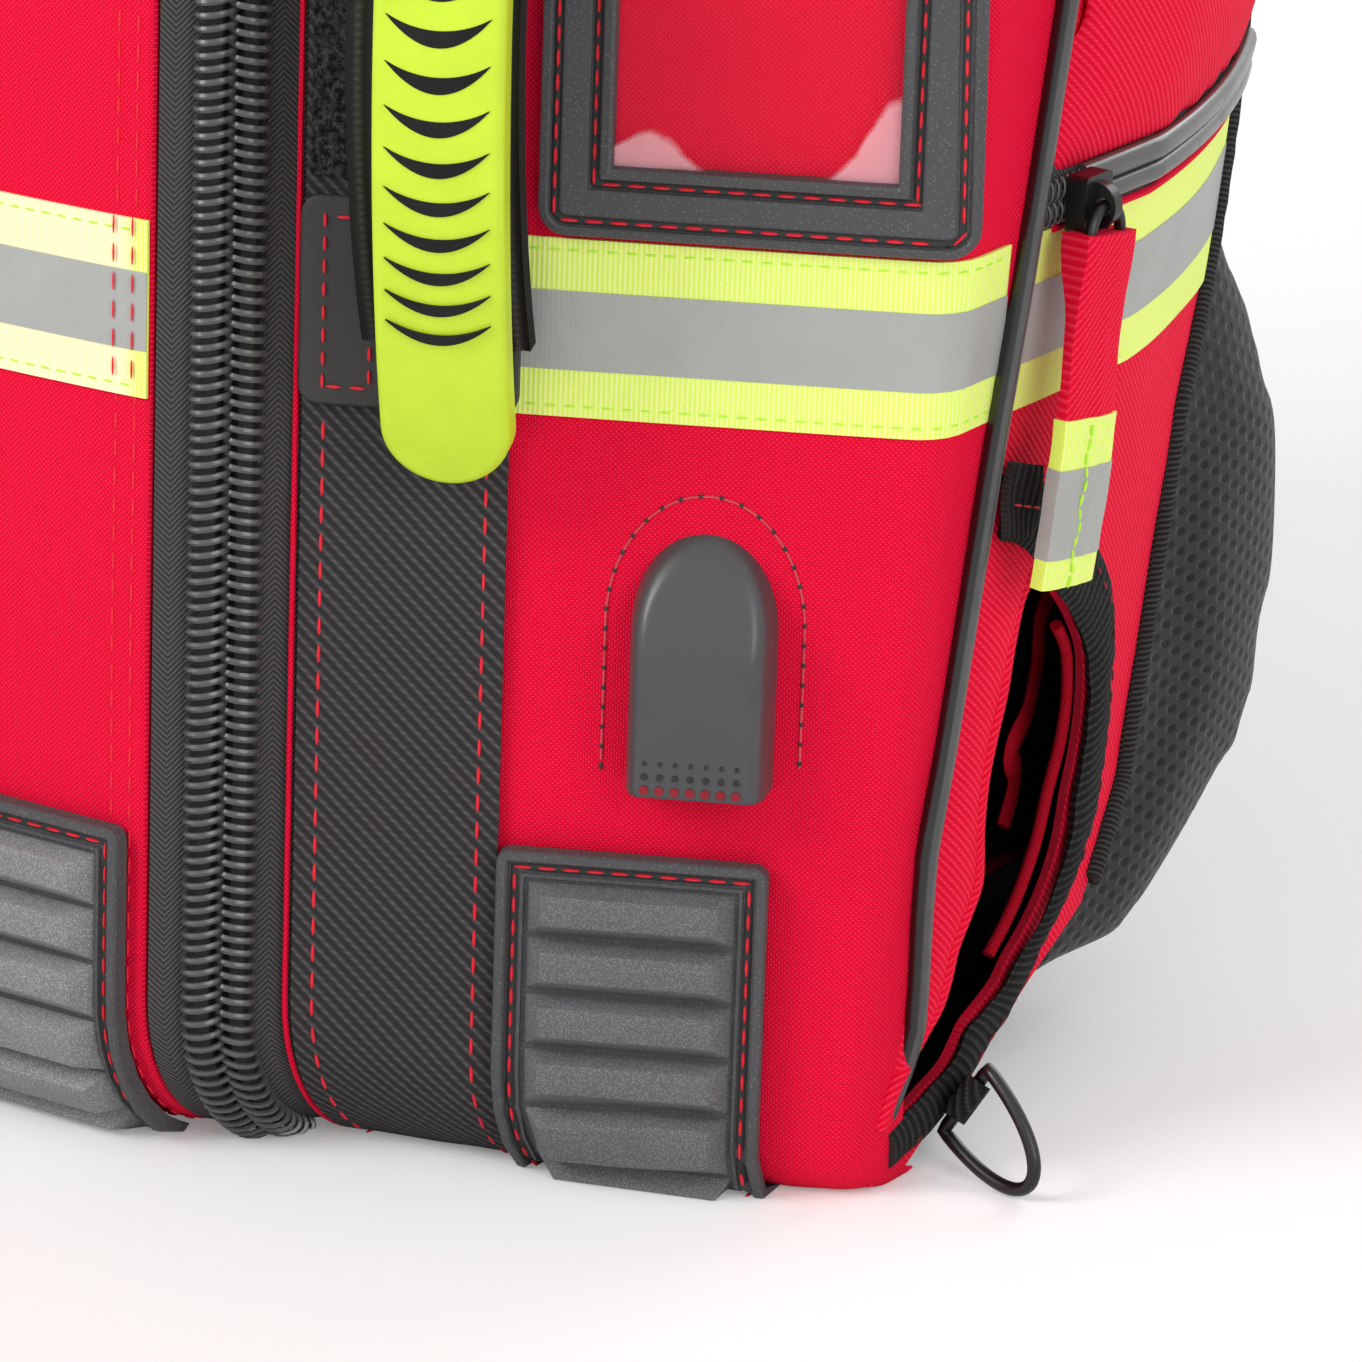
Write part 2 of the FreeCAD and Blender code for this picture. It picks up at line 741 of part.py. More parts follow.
def grip_shape():
    """Moulded grip: bowed body with tongue ends, a raised rim and curved thumb slots."""
    half = size("grip_width") / 2
    end = strap_inner_end + size("handle_strap_thickness") + GAP
    body = bowed_strip(half, end, grip_inner, size("grip_thickness"), grip_low, grip_high)
    reach = 4 * size("grip_standoff")
    tongue = Part.makeCylinder(half, reach, Vector(0, grip_low + half, 0), UP)
    tongue = tongue.fuse(Part.makeCylinder(half, reach, Vector(0, grip_high - half, 0), UP))
    straight = size("grip_length") - 2 * half
    middle_part = Part.makeBox(2 * half, straight, reach, Vector(-half, grip_low + half, 0))
    body = body.common(tongue.fuse(middle_part))
    rim_edges = []
    for edge in body.Edges:
        if edge.BoundBox.ZMax > end + size("grip_thickness") - GAP and edge.Length > size("grip_width") / 2:
            inside = edge.valueAt((edge.FirstParameter + edge.LastParameter) / 2)
            outer = bow_height(inside.y, end, size("grip_thickness"))
            if abs(inside.z - outer) < GAP:
                rim_edges.append(edge)
    body = body.makeFillet(size("grip_thickness") / 4, rim_edges)
    slots = []
    count = int(size("grip_slots_each_way"))
    for index in range(count):
        row = index + 0.5
        distance = size("grip_slot_pitch") * row * (1 - size("grip_slot_crowding") * row)
        height = size("grip_slot_height") * (1 - size("grip_slot_fade") * row / count)
        slots += [smile_slot(grip_middle + side * distance, height, end) for side in (-1, 1)]
    return body.cut(slots)


def bow_height(place, end, thickness):
    """Height of the grip's outer face above the panel at one place along it."""
    half_run = size("grip_length") / 2
    rise = grip_inner - end
    radius = (half_run ** 2 + rise ** 2) / (2 * rise)
    offset = place - grip_middle
    return grip_inner + thickness - radius + math.sqrt(radius ** 2 - offset ** 2)


def smile_slot(place, height, end):
    """A crescent that hangs like a smile, cut part of the way into the grip."""
    half = size("grip_slot_width") / 2
    sag = size("grip_slot_height")
    top = Part.Arc(Vector(-half, place, 0), Vector(0, place - sag, 0), Vector(half, place, 0)).toShape()
    low_point = Vector(0, place - sag - height, 0)
    low = Part.Arc(Vector(half, place, 0), low_point, Vector(-half, place, 0)).toShape()
    face = Part.Face(Part.Wire([top, low]))
    floor = bow_height(place - sag, end, size("grip_thickness")) - size("grip_slot_depth")
    face.translate(UP * floor)
    return face.extrude(UP * size("grip_slot_depth") * 3)


centre_on_webbing = FACET.multiply(Placement(Vector(size("grip_offset"), 0, 0), Rotation()))
keep_sides("handle_grip", feature("handle_grip", grip_shape(), centre_on_webbing))

handle_strap = bowed_strip(
    size("handle_strap_width") / 2,
    strap_inner_end,
    grip_inner - size("handle_strap_thickness") - GAP,
    size("handle_strap_thickness"),
    grip_low + size("grip_width"),
    grip_high - size("grip_width"),
)
strap_place = FACET.multiply(Placement(Vector(size("handle_strap_offset"), 0, 0), Rotation()))
keep_pair("handle_webbing", feature("handle_webbing", handle_strap, strap_place))

# --- identity card frame ----------------------------------------------------------------------

id_body = facet_body("id_frame")
ID_RIGHT = "Sizes.id_frame_offset + Sizes.id_frame_width"
ID_TOP = "Sizes.id_frame_low + Sizes.id_frame_height"
id_plate = sketch_loop(
    id_body, "id_outline", rectangle("Sizes.id_frame_offset", "Sizes.id_frame_low", ID_RIGHT, ID_TOP)
)
id_pad = pad(id_body, "id_plate", id_plate, "Sizes.id_frame_thickness")
id_round = rounded(id_body, "id_round", id_pad, "Sizes.id_frame_radius")


def inner_rectangle(inset):
    return rectangle(
        "Sizes.id_frame_offset + " + inset,
        "Sizes.id_frame_low + " + inset,
        ID_RIGHT + " - " + inset,
        ID_TOP + " - " + inset,
    )


lip_inset = "(Sizes.id_frame_border - Sizes.id_lip_width)"
lip_outline = inner_rectangle(lip_inset)
id_lip = sketch_loop(id_body, "id_lip_outline", lip_outline, height="Sizes.id_frame_thickness")
pad(id_body, "id_lip", id_lip, "Sizes.id_lip_height")
id_hole = sketch_loop(id_body, "id_window_outline", inner_rectangle("Sizes.id_frame_border"))
pocket(id_body, "id_window_cut", id_hole, "3 * Sizes.id_frame_thickness", True)
keep_sides("id_frame", id_body)

film_body = facet_body("id_film")
film_sketch = sketch_loop(film_body, "film_outline", inner_rectangle("(Sizes.id_frame_border + 0.1)"))
pad(film_body, "film_pad", film_sketch, "Sizes.id_window_thickness")
keep_pair("id_windows", film_body)

# --- socket and its moulded dome --------------------------------------------------------------

usb_half = size("usb_width") / 2
usb_top = size("usb_low") + size("usb_height")
usb_deep = size("usb_proud")


def dome_outline(inset, level):
    """Arch outline of the dome, square at the bottom and round at the top."""
    half = usb_half - inset
    spring = usb_top - usb_half
    low = size("usb_low")
    crown = Vector(0, usb_top - inset, level)
    edges = [
        Part.LineSegment(Vector(-half, low, level), Vector(half, low, level)).toShape(),
        Part.LineSegment(Vector(half, low, level), Vector(half, spring, level)).toShape(),
        Part.Arc(Vector(half, spring, level), crown, Vector(-half, spring, level)).toShape(),
        Part.LineSegment(Vector(-half, spring, level), Vector(-half, low, level)).toShape(),
    ]
    return Part.Wire(edges)


def dome_solid(shrink):
    """Dome with leaning walls whose front slopes back to the panel at the crown."""
    lean = usb_deep * 0.3
    wires = [dome_outline(shrink, 0), dome_outline(shrink + lean, usb_deep - shrink)]
    solid = Part.makeLoft(wires, True, True)
    front = usb_deep - shrink
    knee = size("usb_low") + 0.5 * size("usb_height")
    wedge_points = [
        Vector(-usb_deep * 2, knee, front + 0.01),
        Vector(-usb_deep * 2, usb_top + 1, size("usb_wall") - 0.5 * shrink),
        Vector(-usb_deep * 2, usb_top + 1, front + 1),
        Vector(-usb_deep * 2, knee, front + 1),
    ]
    wedge = Part.Face(Part.makePolygon(wedge_points + [wedge_points[0]]))
    return solid.cut(wedge.extrude(Vector(usb_deep * 4, 0, 0)))


usb_place = FACET.multiply(Placement(Vector(size("usb_offset"), 0, 0), Rotation()))
dome = dome_solid(0)
dome_core = dome_solid(size("usb_wall"))
dome_core.translate(Vector(0, -size("usb_wall") * 1.5, 0))
dome = dome.cut(dome_core.common(slab(-1, usb_deep)))
keep("usb_cover", feature("usb_cover", max(dome.Solids, key=lambda solid: solid.Volume), usb_place))

socket = facet_body("usb_socket")
SOCKET_LOW = "Sizes.usb_low + Sizes.usb_wall"
socket_sketch = sketch_loop(
    socket,
    "socket_outline",
    rectangle(
        "Sizes.usb_offset - Sizes.socket_width / 2",
        SOCKET_LOW,
        "Sizes.usb_offset + Sizes.socket_width / 2",
        SOCKET_LOW + " + Sizes.socket_depth",
    ),
)
pad(socket, "socket_block", socket_sketch, "Sizes.socket_thickness")
mouth_sketch = sketch_loop(
    socket,
    "socket_mouth_outline",
    rectangle(
        "Sizes.usb_offset - Sizes.socket_mouth_width / 2",
        SOCKET_LOW,
        "Sizes.usb_offset + Sizes.socket_mouth_width / 2",
        SOCKET_LOW + " + Sizes.socket_depth * 0.8",
    ),
    height="(Sizes.socket_thickness - Sizes.socket_mouth_thickness) / 2",
)
pocket(socket, "socket_mouth", mouth_sketch, "Sizes.socket_mouth_thickness", True)
keep("usb_socket", socket)

# --- ribbed bumpers ---------------------------------------------------------------------------


def bumper_body(body, left, right, high):
    """Rubber guard: plate, raised rim and a row of chamfered ribs."""
    name = body.Name
    low = "Sizes.seat_gap"
    plate = sketch_loop(body, name + "_plate_outline", rectangle(left, low, right, high))
    pad(body, name + "_plate", plate, "Sizes.bumper_plate")
    outline = rectangle(left, low, right, high)
    rim = sketch_loop(body, name + "_rim_outline", outline, height="Sizes.bumper_plate")
    pad(body, name + "_rim", rim, "Sizes.bumper_rim_height")
    moat = sketch_loop(
        body,
        name + "_moat_outline",
        rectangle(
            f"{left} + Sizes.bumper_rim",
            "-1",
            f"{right} - Sizes.bumper_rim",
            f"{high} - Sizes.bumper_rim",
        ),
        height="Sizes.bumper_plate",
    )
    pocket(body, name + "_moat", moat, "Sizes.bumper_rim_height", True)
    section = [
        ("Sizes.rib_first - Sizes.rib_root / 2", "Sizes.bumper_plate"),
        ("Sizes.rib_first + Sizes.rib_root / 2", "Sizes.bumper_plate"),
        ("Sizes.rib_first + Sizes.rib_crest / 2", "Sizes.bumper_plate + Sizes.rib_height"),
        ("Sizes.rib_first - Sizes.rib_crest / 2", "Sizes.bumper_plate + Sizes.rib_height"),
    ]
    inner_left = f"{left} + Sizes.bumper_inset"
    rib = sketch_loop(body, name + "_rib_section", section, role="YZ_Plane", height=inner_left)
    rib_pad = pad(body, name + "_rib", rib, f"{right} - ({left}) - 2 * Sizes.bumper_inset")
    doc.recompute()
    rows = body.newObject("PartDesign::LinearPattern", name + "_ribs")
    rows.Originals = [rib_pad]
    rows.Direction = (rib, ["H_Axis"])
    rows.setExpression("Occurrences", "Sizes.rib_count")
    rows.setExpression("Length", "Sizes.rib_pitch * (Sizes.rib_count - 1)")
    body.Tip = rows
    return body


corner_guard = bumper_body(
    facet_body("corner_bumper"),
    "Sizes.bumper_offset",
    "Sizes.bumper_offset + Sizes.bumper_width",
    "Sizes.bumper_height",
)
guard_lift = FACET.multiply(Placement(Vector(0, 0, size("webbing_thickness")), Rotation()))
corner_guard.Placement = guard_lift
keep_sides("corner_bumper", corner_guard)

# --- lid --------------------------------------------------------------------------------------

LID_FRONT = Placement(Vector(0, LID_FACE, 0), Rotation(Vector(1, 0, 0), UP, Vector(0, -1, 0), "ZXY"))
lid = doc.addObject("PartDesign::Body", "front_lid")
lid.Placement = LID_FRONT
lid_sketch = sketch_loop(
    lid,
    "lid_outline",
    rectangle("-Sizes.lid_half_width", "Sizes.floor_gap", "Sizes.lid_half_width", "Sizes.lid_height"),
)
pad(lid, "lid_pad", lid_sketch, "Sizes.lid_thickness", True)
keep("front_lid", lid)

lid_band = doc.addObject("Part::Box", "lid_tape_box")
lid_band.setExpression("Length", "2 * Sizes.lid_half_width")
lid_band.setExpression("Width", "Sizes.tape_thickness")
lid_band.setExpression("Height", "Sizes.tape_width")
lid_band.setExpression("Placement.Base.x", "-Sizes.lid_half_width")
lid_band.setExpression("Placement.Base.y", "-Sizes.lid_face_back - Sizes.tape_thickness")
lid_band.setExpression("Placement.Base.z", "Sizes.tape_low")
keep("lid_tape", lid_band)

lid_guard = doc.addObject("PartDesign::Body", "lid_bumper")
lid_guard.Placement = LID_FRONT
bumper_body(lid_guard, "-Sizes.lid_bumper_half_width", "Sizes.lid_bumper_half_width", "Sizes.bumper_height")
keep("lid_bumper", lid_guard)

# --- main zipper ------------------------------------------------------------------------------

SLOPE = STEP * (1 / STEP.Length)
STEP_OUT = Vector(SLOPE.y, -SLOPE.x, 0)
ZIP = Placement(LID_EDGE, Rotation(SLOPE, UP, STEP_OUT, "ZXY"))
zip_middle = STEP.Length / 2
zip_low = size("floor_gap")
zip_high = HEIGHT - BOARD


def zip_bar(start, end, low, high, bottom, top):
    """An upright bar of the zipper, in its own sloping frame."""
    bar = Part.makeBox(end - start, high - low, top - bottom, Vector(start, low, bottom))
    bar.Placement = ZIP
    return bar


half_gap = size("zip_half_gap") / 2
tape_back = -size("zip_tape_thickness")
inset = size("zip_inset")
coil = size("zip_coil_width")
coil_top = size("zip_coil_proud")

lid_high = size("lid_height")
lid_seam = zip_middle - half_gap
body_seam = zip_middle + half_gap
lid_side = zip_bar(inset, lid_seam, zip_low, lid_high, tape_back, 0)
body_side = zip_bar(body_seam, STEP.Length - inset, zip_low, zip_high, tape_back, 0).cut(header_shape)
lid_coil = zip_bar(lid_seam - coil, lid_seam, zip_low, lid_high, 0, coil_top)
body_coil = zip_bar(body_seam, body_seam + coil, zip_low, zip_high, 0, coil_top)


def header_bar(low, high, front, back):
    width = 2 * size("lid_half_width") - 2 * inset
    corner = Vector(-width / 2, LID_FACE + front, low)
    return Part.makeBox(width, back - front, high - low, corner)


tape_front = size("lid_thickness") / 3
seam_level = lid_high + coil
tape_rear = tape_front + size("zip_tape_thickness")
lid_header = header_bar(lid_high, seam_level - half_gap, tape_front, tape_rear)
body_header = header_bar(seam_level + half_gap, seam_level + coil, tape_front, tape_rear)
keep_pair("lid_zip_tape", feature("lid_zip_tape", lid_side), [feature("lid_zip_header", lid_header)])
keep_pair("body_zip_tape", feature("body_zip_tape", body_side), [feature("body_zip_header", body_header)])

coil_front = tape_front - size("zip_coil_proud")
lid_top_coil = header_bar(lid_high, seam_level - half_gap, coil_front, tape_front)
body_top_coil = header_bar(seam_level + half_gap, seam_level + coil, coil_front, tape_front)
keep_pair("lid_zip_coil", feature("lid_zip_coil", lid_coil), [feature("lid_top_coil", lid_top_coil)])
keep_pair("body_zip_coil", feature("body_zip_coil", body_coil), [feature("body_top_coil", body_top_coil)])


def slider_shape():
    """Slider: a rounded plate over the coil with two ears that carry the pull's pin."""
    width = size("slider_width")
    length = size("slider_length")
    thick = size("slider_thickness")
    low = size("zip_coil_proud") + size("slider_clearance")
    plate = Part.makeBox(width, length, thick, Vector(-width / 2, -length / 2, low))
    corners = [edge for edge in plate.Edges if abs(edge.BoundBox.ZLength - thick) < 0.01]
    plate = plate.makeFillet(width / 4, corners)
    pin = size("pull_pin_radius")
    ear_height = 4 * pin
    ears = []
    for side in (-1, 1):
        place = Vector(side * 2.6 * pin - 0.9 * pin, -2 * pin, low + thick)
        ears.append(Part.makeBox(1.8 * pin, 4 * pin, ear_height, place))
    axle_start = Vector(-2.6 * pin, 0, low + thick + 2.5 * pin)
    axle = Part.makeCylinder(pin, 5.2 * pin, axle_start, Vector(1, 0, 0))
    return plate.fuse(ears + [axle]).removeSplitter()


def pull_shape():
    """Pull: an eye round the slider's axle and a tapering tongue that hangs from it."""
    pin = size("pull_pin_radius")
    thick = size("pull_thickness")
    level = size("zip_coil_proud") + size("slider_clearance") + size("slider_thickness") + 2.5 * pin
    eye_width = 2.6 * pin
    eye = Part.makeCylinder(2.2 * pin, eye_width, Vector(-eye_width / 2, 0, level), Vector(1, 0, 0))
    bore = Part.makeCylinder(1.1 * pin, 2 * eye_width, Vector(-eye_width, 0, level), Vector(1, 0, 0))
    neck = Part.makeBox(eye_width, 6 * pin, thick, Vector(-eye_width / 2, -7.5 * pin, level))
    wide = size("pull_width") / 2
    tongue_top = -7 * pin
    tongue_low = -size("pull_length")
    points = [
        Vector(-0.7 * wide, tongue_top, level),
        Vector(0.7 * wide, tongue_top, level),
        Vector(wide, tongue_low, level),
        Vector(-wide, tongue_low, level),
    ]
    tongue = Part.Face(Part.makePolygon(points + [points[0]])).extrude(UP * thick)
    return eye.fuse([neck, tongue]).cut(bore).removeSplitter()


slider_park = size("lid_height") + size("slider_rise")
zip_place = ZIP.multiply(Placement(Vector(zip_middle, slider_park, 0), Rotation()))
keep_sides("zip_slider", feature("zip_slider", slider_shape(), zip_place))
keep_sides("zip_pull", feature("zip_pull", pull_shape(), zip_place))

# --- side zipper and its pull -----------------------------------------------------------------

zip_zone = side_block(
    piping_at(HEIGHT).y,
    size("side_zip_low"),
    size("side_zip_rear"),
    size("side_zip_low") + size("side_zip_height"),
)
side_zip = side_skin(0, size("side_zip_proud")).common(zip_zone).cut([piping_right.Shape, seam])
keep_pair("side_zips", feature("side_zip", side_zip))

zip_level = size("side_zip_low") + size("side_zip_height") / 2
slider_face = piping_at(zip_level).x + size("side_zip_proud") + 2 * size("slider_clearance")
slider_face = slider_face + size("side_slider_height") * 0.06
side_slider_y = -size("side_slider_back")


def side_slider_shape():
    """Slider with an eye plate that stands out and takes the split ring."""
    length = size("side_slider_length")
    height = size("side_slider_height")
    thick = size("side_slider_thickness")
    corner = Vector(slider_face, side_slider_y - length / 2, zip_level - height / 2)
    plate = Part.makeBox(thick, length, height, corner)
    corners = [edge for edge in plate.Edges if edge.BoundBox.XLength > thick / 2]
    plate = plate.makeFillet(size("slider_corner"), corners)
    across = Vector(0, 1, 0)
    eye_plate = size("slider_eye_plate")
    eye_start = Vector(slider_face + thick, side_slider_y - eye_plate / 2, zip_level)
    eye = Part.makeCylinder(size("slider_eye_radius"), eye_plate, eye_start, across)
    bore_start = eye_start + Vector(size("slider_eye_reach"), -length, 0)
    bore = Part.makeCylinder(size("slider_eye_bore"), 2 * length + eye_plate, bore_start, across)
    return plate.fuse(eye).cut(bore).removeSplitter()


ring_eye_x = slider_face + size("side_slider_thickness") + size("slider_eye_reach")
ring_eye = Vector(ring_eye_x, side_slider_y, zip_level)
ring_centre = ring_eye - UP * size("ring_radius")
keep_sides("side_slider", feature("side_slider", side_slider_shape()))

ring_shape = Part.makeTorus(size("ring_radius"), size("ring_wire"), ring_centre, Vector(1, 0, 0))
keep_sides("pull_ring", feature("pull_ring", ring_shape))

tab_top = ring_centre.z - size("ring_radius") + 3 * size("ring_wire")
tab_x = ring_centre.x - size("tab_thickness") / 2
tab = Part.makeBox(
    size("tab_thickness"),
    size("tab_width"),
    size("tab_length"),
    Vector(tab_x, side_slider_y - size("tab_width") / 2, tab_top - size("tab_length")),
)
tab.rotate(ring_centre, Vector(1, 0, 0), -size("tab_tilt"))
tab.rotate(ring_centre, Vector(0, 1, 0), size("tab_lean"))
eyelet = Part.makeTorus(size("ring_radius"), size("ring_wire") + GAP / 2, ring_centre, Vector(1, 0, 0))
tab = max(tab.cut(eyelet).Solids, key=lambda solid: solid.Volume)
keep_sides("pull_tab", feature("pull_tab", tab))

# --- D-rings at the foot of the side seams ----------------------------------------------------

ring_span = 2 * size("dring_radius")
hinge_level = size("dring_height")
seam_foot = piping_at(hinge_level)
loop_bore = size("dring_wire") + size("dring_clearance")
loop_radius = loop_bore + size("tab_loop_wall")
loop_length = size("tab_loop_length")
ring_hinge = Vector(seam_foot.x + loop_radius + GAP, seam_foot.y + size("dring_back"), hinge_level)
lean = math.acos((hinge_level - size("dring_wire") - GAP) / ring_span)
hang = Vector(math.sin(lean), 0, -math.cos(lean))
d_centre = ring_hinge + hang * size("dring_radius")
d_normal = Vector(math.cos(lean), 0, math.sin(lean))
d_ring = Part.makeTorus(size("dring_radius"), size("dring_wire"), d_centre, d_normal)
keep_sides("d_ring", feature("d_ring", d_ring))


def dring_tab_shape():
    """Webbing loop sewn to the side wall, with the ring running free in it."""
    start = ring_hinge - Vector(0, loop_length / 2, 0)
    loop = Part.makeCylinder(loop_radius, loop_length, start, Vector(0, 1, 0))
    foot = Vector(seam_foot.x - WALL, start.y, ring_hinge.z - loop_radius)
    tail = Part.makeBox(ring_hinge.x - foot.x, loop_length, 2 * loop_radius, foot)
    bore_start = start - Vector(0, loop_length, 0)
    bore = Part.makeCylinder(loop_bore, 3 * loop_length, bore_start, Vector(0, 1, 0))
    tab = loop.fuse(tail).cut([bore, side_skin(-2 * WALL, 0), hem_solid])
    return max(tab.Solids, key=lambda solid: solid.Volume)


keep_pair("d_ring_tabs", feature("d_ring_tab", dring_tab_shape()))

# --- back padding and carrying ----------------------------------------------------------------

pad_low = size("lumbar_low")
pad_high = size("lumbar_high")
pad_rear = size("lumbar_rear")


def lumbar_wire():
    """Side view of the lumbar pad: tucked in at the foot, full in its upper half."""
    foot = size("lower_back_foot") + WALL
    tall = pad_high - pad_low
    deep = pad_rear - foot
    points = [
        Vector(0, foot, pad_low),
        Vector(0, foot + 0.72 * deep, pad_low + 0.18 * tall),
        Vector(0, pad_rear, pad_low + 0.64 * tall),
        Vector(0, pad_rear - 0.08 * deep, pad_low + 0.9 * tall),
        Vector(0, pad_rear - 0.3 * deep, pad_high),
        Vector(0, foot, pad_high),
    ]
    edges = [
        Part.Arc(points[0], points[1], points[2]).toShape(),
        Part.Arc(points[2], points[3], points[4]).toShape(),
        Part.LineSegment(points[4], points[5]).toShape(),
        Part.LineSegment(points[5], points[0]).toShape(),
    ]
    return Part.Wire(edges)


lumbar_half = size("lumbar_half_width")
lumbar = prism_along_x(lumbar_wire(), -lumbar_half, lumbar_half).cut(inside_rear(-GAP))
lumbar = max(lumbar.Solids, key=lambda solid: solid.Volume)
keep("lumbar_pad", feature("lumbar_pad", lumbar))

upper_pad = doc.addObject("Part::Box", "upper_back_pad_box")
upper_pad.setExpression("Length", "2 * Sizes.upper_pad_half_width")
upper_pad.setExpression("Width", "Sizes.upper_pad_thickness")
upper_pad.setExpression("Height", "Sizes.upper_pad_high - Sizes.upper_pad_low")
upper_pad.setExpression("Placement.Base.x", "-Sizes.upper_pad_half_width")
upper_pad.setExpression("Placement.Base.y", "Sizes.back_face")
upper_pad.setExpression("Placement.Base.z", "Sizes.upper_pad_low")
keep("upper_back_pad", upper_pad)

strap_back = size("back_face") + size("upper_pad_thickness")
strap_out = size("strap_standoff")


def shoulder_wire(thickness):
    """Side view of a shoulder strap: from the top of the back panel, out and down to its tail."""
    high = size("strap_high")
    low = size("lower_back_height")
    middle = (high + low) / 2
    inner = [
        Vector(0, size("back_face"), high),
        Vector(0, strap_back + strap_out, middle),
        Vector(0, strap_back + strap_out / 3, low),
    ]
    outer = [
        Vector(0, size("back_face"), high + 1.6 * thickness),
        Vector(0, strap_back + strap_out + thickness, middle),
        Vector(0, strap_back + strap_out / 3 + thickness, low),
    ]
    edges = [
        Part.Arc(*inner).toShape(),
        Part.LineSegment(inner[2], outer[2]).toShape(),
        Part.Arc(outer[2], outer[1], outer[0]).toShape(),
        Part.LineSegment(outer[0], inner[0]).toShape(),
    ]
    return Part.Wire(edges)


strap_left_edge = size("strap_centre") - size("strap_width") / 2
strap = prism_along_x(
    shoulder_wire(size("strap_thickness")), strap_left_edge, strap_left_edge + size("strap_width")
)
strap = strap.cut(Part.makeBox(
    2 * HEIGHT, size("upper_pad_thickness") + GAP, size("upper_pad_high") + GAP,
    Vector(-HEIGHT, size("back_face"), 0),
))
strap = max(strap.Solids, key=lambda solid: solid.Volume)
keep_sides("shoulder_strap", feature("shoulder_strap", strap))

lock_y = strap_back + strap_out / 3 + size("strap_thickness") / 2 - size("ladder_lock_thickness") / 2
lock_high = size("lower_back_height")
lock_wide = size("strap_webbing_width") + 2 * size("ladder_lock_bar")


def ladder_lock_shape():
    """Ladder lock: a frame with three crossbars and two slots for the webbing."""
    bar = size("ladder_lock_bar")
    tall = size("ladder_lock_length")
    thick = size("ladder_lock_thickness")
    corner = Vector(size("strap_centre") - lock_wide / 2, lock_y, lock_high - tall)
    frame = Part.makeBox(lock_wide, thick, tall, corner)
    frame = frame.makeFillet(bar / 2, [edge for edge in frame.Edges if edge.BoundBox.YLength > thick - 0.1])
    slot_height = (tall - 3 * bar) / 2
    slots = []
    for row in range(2):
        slot_corner = corner + Vector(bar, -1, bar + row * (bar + slot_height))
        slots.append(Part.makeBox(lock_wide - 2 * bar, thick + 2, slot_height, slot_corner))
    return frame.cut(slots)


keep_pair("ladder_locks", feature("ladder_lock", ladder_lock_shape()))


def tail_strap_shape():
    """Webbing sewn to the hollow above the lumbar pad that runs up the ladder lock's inner face."""
    thick = size("strap_webbing_thickness")
    low = size("lumbar_high") + size("seam_width")
    root = size("lower_back_waist")
    inner = lock_y - thick
    lock_low = lock_high - size("ladder_lock_length")
    points = [
        Vector(0, root, low),
        Vector(0, inner + thick, lock_low),
        Vector(0, inner + thick, lock_high),
        Vector(0, inner, lock_high),
        Vector(0, inner, lock_low + thick),
        Vector(0, root, low + thick),
    ]
    wire = Part.makePolygon(points + [points[0]])
    left = size("strap_centre") - size("strap_webbing_width") / 2
    return prism_along_x(wire, left, left + size("strap_webbing_width")).cut(inside_rear())


keep_pair("strap_webbing", feature("strap_webbing", tail_strap_shape()))

handle_half = size("top_handle_half_span")
rise = size("top_handle_rise")
thick = size("top_handle_thickness")
arch = [
    Part.Arc(Vector(-handle_half, 0, 0), Vector(0, 0, rise), Vector(handle_half, 0, 0)).toShape(),
    Part.LineSegment(Vector(handle_half, 0, 0), Vector(handle_half + thick, 0, 0)).toShape(),
    Part.Arc(
        Vector(handle_half + thick, 0, 0), Vector(0, 0, rise + thick), Vector(-handle_half - thick, 0, 0)
    ).toShape(),
    Part.LineSegment(Vector(-handle_half - thick, 0, 0), Vector(-handle_half, 0, 0)).toShape(),
]
arch_face = Part.Face(Part.Wire(arch))
arch_solid = arch_face.extrude(Vector(0, size("top_handle_width"), 0))
arch_place = Placement(Vector(0, size("top_handle_back") - size("top_handle_width"), HEIGHT), Rotation())
keep("top_handle", feature("top_handle", arch_solid, arch_place))

# --- checks and files -------------------------------------------------------------------------

doc.recompute()
for item in doc.Objects:
    if "Invalid" in item.State or "Error" in item.State:
        raise RuntimeError(f"{item.Label} failed: {item.State}")
os.makedirs("parts", exist_ok=True)
for label, item in nodes.items():
    shape = item.Shape
    if shape.isNull() or not shape.isValid() or not shape.Solids:
        raise RuntimeError(f"{label} has no valid solid")
for label, item in nodes.items():
    item.Shape.exportStep(f"parts/{label}.step")
print(len(nodes), "nodes")
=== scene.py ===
import json
import math

import bmesh
import bpy
from mathutils import Matrix, Vector, noise


